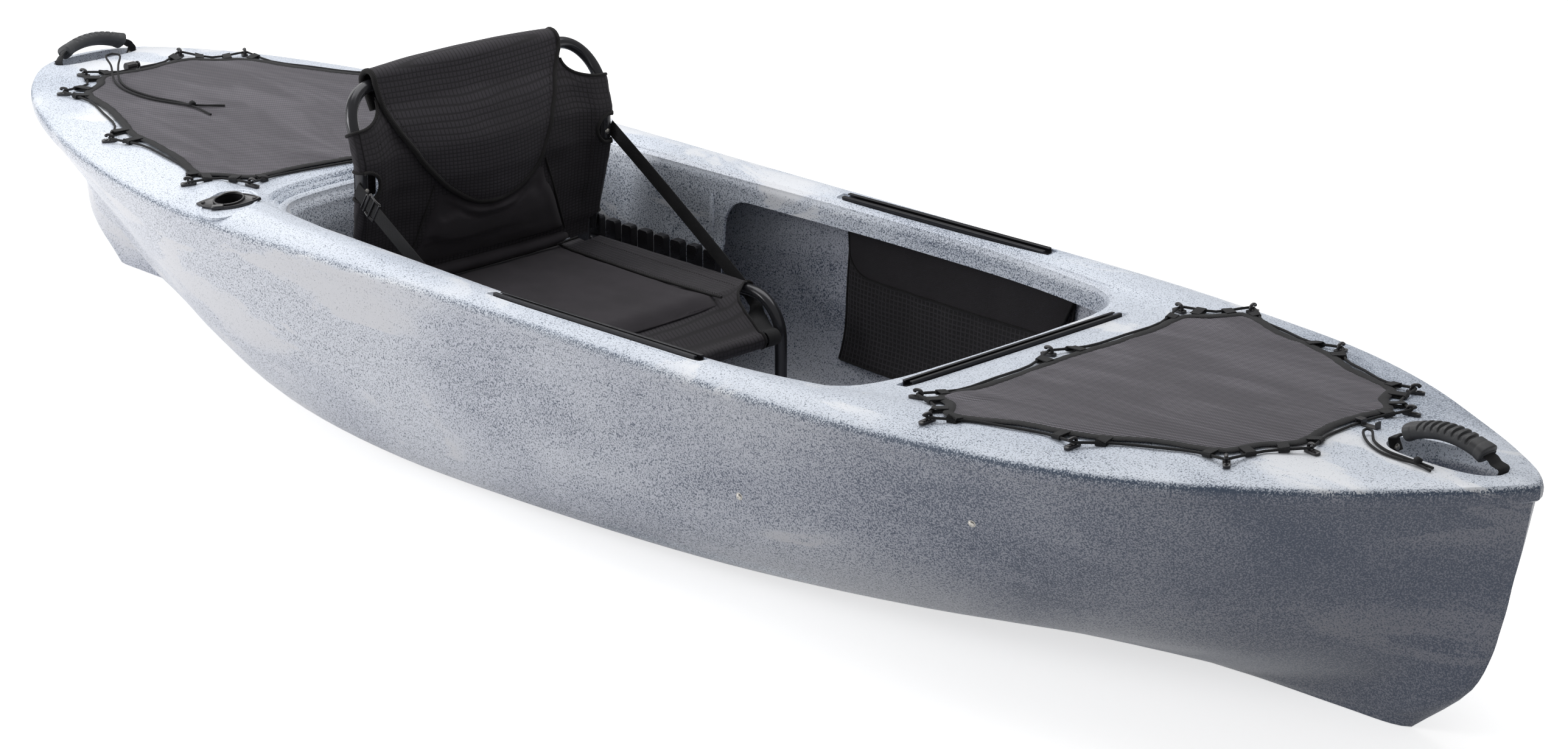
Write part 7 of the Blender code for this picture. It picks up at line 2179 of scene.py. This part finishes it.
def pouch_place(deck, u, v, lift=None):
    """Place on the pouch, u along and v down: at its back, or at its bellied front and lifted off that."""
    x, z = POUCH_FROM + (POUCH_TO - POUCH_FROM) * u, POUCH_TOP_Z + (POUCH_FOOT_Z - POUCH_TOP_Z) * v
    place = Vector((x, deck.inner_side(x, z).y - 0.0012, z))
    if lift is None:
        return place
    belly = (1 - abs(2 * u - 1) ** 5) ** 0.6
    belly *= 0.30 + 0.70 * sin(pi * min(1.0, v * 0.9 + 0.1)) ** 0.7
    depth = 0.0025 + (POUCH_THICK - 0.0045) * belly + fold_noise(x * 22, z * 16, 13.0, 0.0030) * belly
    if lift:
        lift = max(0.0008, lift + fold_noise(x * 16, z * 30, 17.0, 0.0016))
    return place - Vector((0, depth + lift, 0))


def make_pouch(deck, body_cloth, flap_cloth, trim):
    """Mesh pouch that bellies inward, with a plain flap over its top and piping round both."""
    columns, levels = spread(0, 1, 46), spread(0, 1, 22)
    rings = [[pouch_place(deck, u, v, 0.0) for v in levels] + [pouch_place(deck, u, v) for v in levels[::-1]]
             for u in columns]
    pouch = dress(loft("pouch_bag", rings), body_cloth, "hull", 70)
    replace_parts(pouch, "storage_pouch")
    rows = []
    for u in columns:
        corner = min(1.0, min(u, 1 - u) / 0.13)
        drop = POUCH_FLAP * (0.18 + 0.82 * sqrt(1 - (1 - corner) ** 2))
        rows.append([pouch_place(deck, u, drop * t, 0.0018 + 0.0012 * t) for t in spread(0, 1, 14)])
    flap = dress(skin("pouch_flap", rows, 0.0012), flap_cloth, "hull", 60)
    rim = rows[0][::2] + [row[-1] for row in rows[1:-1]] + rows[-1][::-2]
    pipe = dress(tube("pouch_piping", [p - Vector((0, 0.0008, 0)) for p in rim], 0.0042, 3), trim, "hull", 60)
    foot = len(levels) - 1
    lines = [[p - Vector((0, 0.0006, 0)) for p in ring[:foot + 1]] for ring in (rings[0], rings[-1])]
    lines.append([ring[foot] - Vector((0, 0.0004, 0)) for ring in rings])
    dress_parts("pouch_binding", [tube("edge", line, 0.0036, 3) for line in lines], trim)


def make_side_screws(deck, screw):
    heads = []
    for x, z in SIDE_SCREWS:
        spot, normal = deck.hit((x, -1.0, z), (0, 1, 0))
        turn = normal.to_track_quat("Z", "Y").to_matrix().to_4x4()
        turn.translation = spot - normal * 0.0004
        heads.append(screw_head(0.0044, turn))
    dress_parts("side_screws", heads, screw, smooth_angle=50)


def make_wall_ribs(deck, surface):
    """Moulded beads on the port wall, just aft of the cut-away: one by the lip and a stub by the rack."""
    beads = []
    for foot, top in WALL_RIBS:
        rings = []
        for t in spread(0, 1, 16):
            place = deck.hit((WALL_RIB_X, 0.10, foot + (top - foot) * t), (0, 1, 0))[0]
            ends = sqrt(sin(pi * (0.04 + 0.92 * t)))
            rings.append([place + Vector((WALL_RIB_HALF * ends * c, -0.0042 * ends * s, 0))
                          for c, s in circle(16)])
        beads.append(loft("bead", rings))
    ribs = join_parts("port_wall_ribs", beads)
    mark(ribs, "deck", [1.0] * len(ribs.data.vertices))
    dress(ribs, surface, "hull", 60)


make_camera()
make_studio()

make_effects()
polyethylene = hull_finish()
black_plastic = plastic_finish("black_plastic", (0.012, 0.011, 0.013), 0.29)
anodised = metal_finish("black_anodised", (0.022, 0.022, 0.025), 0.36, 0.7)
painted = metal_finish("black_painted_tube", (0.030, 0.030, 0.034), 0.19, 0.35)
steel = metal_finish("screw_steel", (0.40, 0.385, 0.36), 0.32, 1.0)
webbing = cloth_finish("black_webbing", (0.012, 0.012, 0.013), 0.0022, 0.5)
cover_mesh = mesh_cover_finish()
seat_cloth = grid_finish("seat_cloth", (0.0195, 0.0172, 0.0208), 0.0074, 0.0056, 0.3)
flap_cloth = grid_finish("flap_cloth", (0.0240, 0.0215, 0.0262), 0.0074, 0.0056, 0.3)
pad_cloth = cloth_finish("pad_cloth", (0.0185, 0.0160, 0.0192), 0.0010, 0.30)
trim_cloth = twill_finish("twill_binding", (0.0115, 0.0105, 0.0110), 0.0021, 0.8)
thread = cloth_finish("sewing_thread", (0.026, 0.024, 0.025), 0.0008, 0.5)
cord_cloth = cloth_finish("shock_cord", (0.013, 0.013, 0.014), 0.0016, 0.6)
grip_rubber = plastic_finish("grip_rubber", (0.030, 0.031, 0.034), 0.52, 1500.0, 0.2)
pouch_mesh = grid_finish("pouch_mesh", (0.0200, 0.0180, 0.0205), 0.0085, 0.0075, 0.7, True)
pouch_cloth = twill_finish("pouch_cloth", (0.0170, 0.0150, 0.0175), 0.0030, 0.4)

shell = make_hull()
bare = Deck(shell)
holder_frames = {word: rod_holder_frame(bare, side) for side, word in SIDES}
bow_frame = bare.frame(BOW_HANDLE_X, 0.0)
stern_frame = bare.frame(STERN_HANDLE_X, 0.0, pi / 2)
refine_hull(shell)
deck = Deck(shell)
mark_zones(shell)
dress(shell, polyethylene, smooth_angle=32)
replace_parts(shell, "hull")

frames = hook_frames(deck)
end_y = STERN_HOOKS[-1][1]
lock_span = (CORD_LOCK_LENGTH / 2 + CORD_LOCK_TRAVEL + 0.004, CORD_LOCK_LENGTH / 2 + 0.001)
lock_ends = ((end_y - CORD_LOCK_AT[1] - lock_span[0]) / (2 * end_y),
             (end_y + CORD_LOCK_AT[1] - lock_span[1]) / (2 * end_y))
covers = []
for end, ends, hooks, edge_hook, inset in (
        ("bow", (0.495, 0.495), BOW_HOOKS, BOW_EDGE_HOOK, BOW_COVER_INSET),
        ("stern", lock_ends, STERN_HOOKS, STERN_EDGE_HOOK, STERN_COVER_INSET)):
    cord_line = smooth(cord_points(bare, frames[end], ends, cord_inset(inset)), steps=3)
    cord = dress(tube(f"{end}_deck_cord", cord_line, SHOCK_CORD - 0.0002, 3), cord_cloth, smooth_angle=60)
    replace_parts(cord, f"{end}_shock_cord")
    outline = cover_outline(hooks, edge_hook, inset)
    covers.append(make_cover(end, bare, outline, cover_mesh, webbing, cord_line, frames[end]))
make_hooks(frames, black_plastic)
ground = Deck(shell, *covers)
make_tail("stern", ground, STERN_TAIL, STERN_TAIL_APART, STERN_TAIL_KNOT, STERN_TAIL_ENDS, cord_cloth)
make_tail("bow", ground, BOW_TAIL, BOW_TAIL_APART, BOW_TAIL_KNOT, BOW_TAIL_ENDS, cord_cloth)
make_tubes(painted, black_plastic)
make_back(seat_cloth, flap_cloth, pad_cloth, trim_cloth, thread, steel)
make_base(seat_cloth, pad_cloth, trim_cloth, thread)
make_straps(webbing)
make_carry("bow", bow_frame, BOW_SCOOP, BOW_HANDLE_LEAN, grip_rubber, webbing, steel)
make_carry("stern", stern_frame, STERN_SCOOP, STERN_HANDLE_LEAN, grip_rubber, webbing, steel)
for side, word in SIDES:
    make_rod_holder(f"rod_holder_{word}", holder_frames[word], side, black_plastic)
make_pouch(bare, pouch_mesh, pouch_cloth, trim_cloth)
make_ladder_lock(black_plastic)
make_wall_ribs(bare, polyethylene)
make_ring(bare, steel)
make_side_screws(bare, steel)

finishes = {
    "seat_sling": seat_cloth, "back_fabric": seat_cloth, "storage_pouch": pouch_cloth,
    "bow_grip": grip_rubber, "stern_grip": grip_rubber, "bow_handle_strap": webbing,
    "stern_handle_strap": webbing, "track_cross": anodised, "seat_front_tube": painted,
    "seat_rear_rod": painted, "back_tube": painted,
}
for _, word in SIDES:
    finishes |= {f"back_strap_{word}": webbing, f"track_{word}": anodised,
                 f"foot_brace_rail_{word}": anodised, f"seat_rail_{word}": painted,
                 f"hinge_bracket_{word}": painted}
for name, piece in nodes.items():
    piece.data.materials.clear()
    piece.data.materials.append(finishes.get(name, black_plastic))
    weld = piece.modifiers.new("weld", "WELD")
    weld.merge_threshold = 0.00002
    add_bevel(piece, 0.0006, 40)
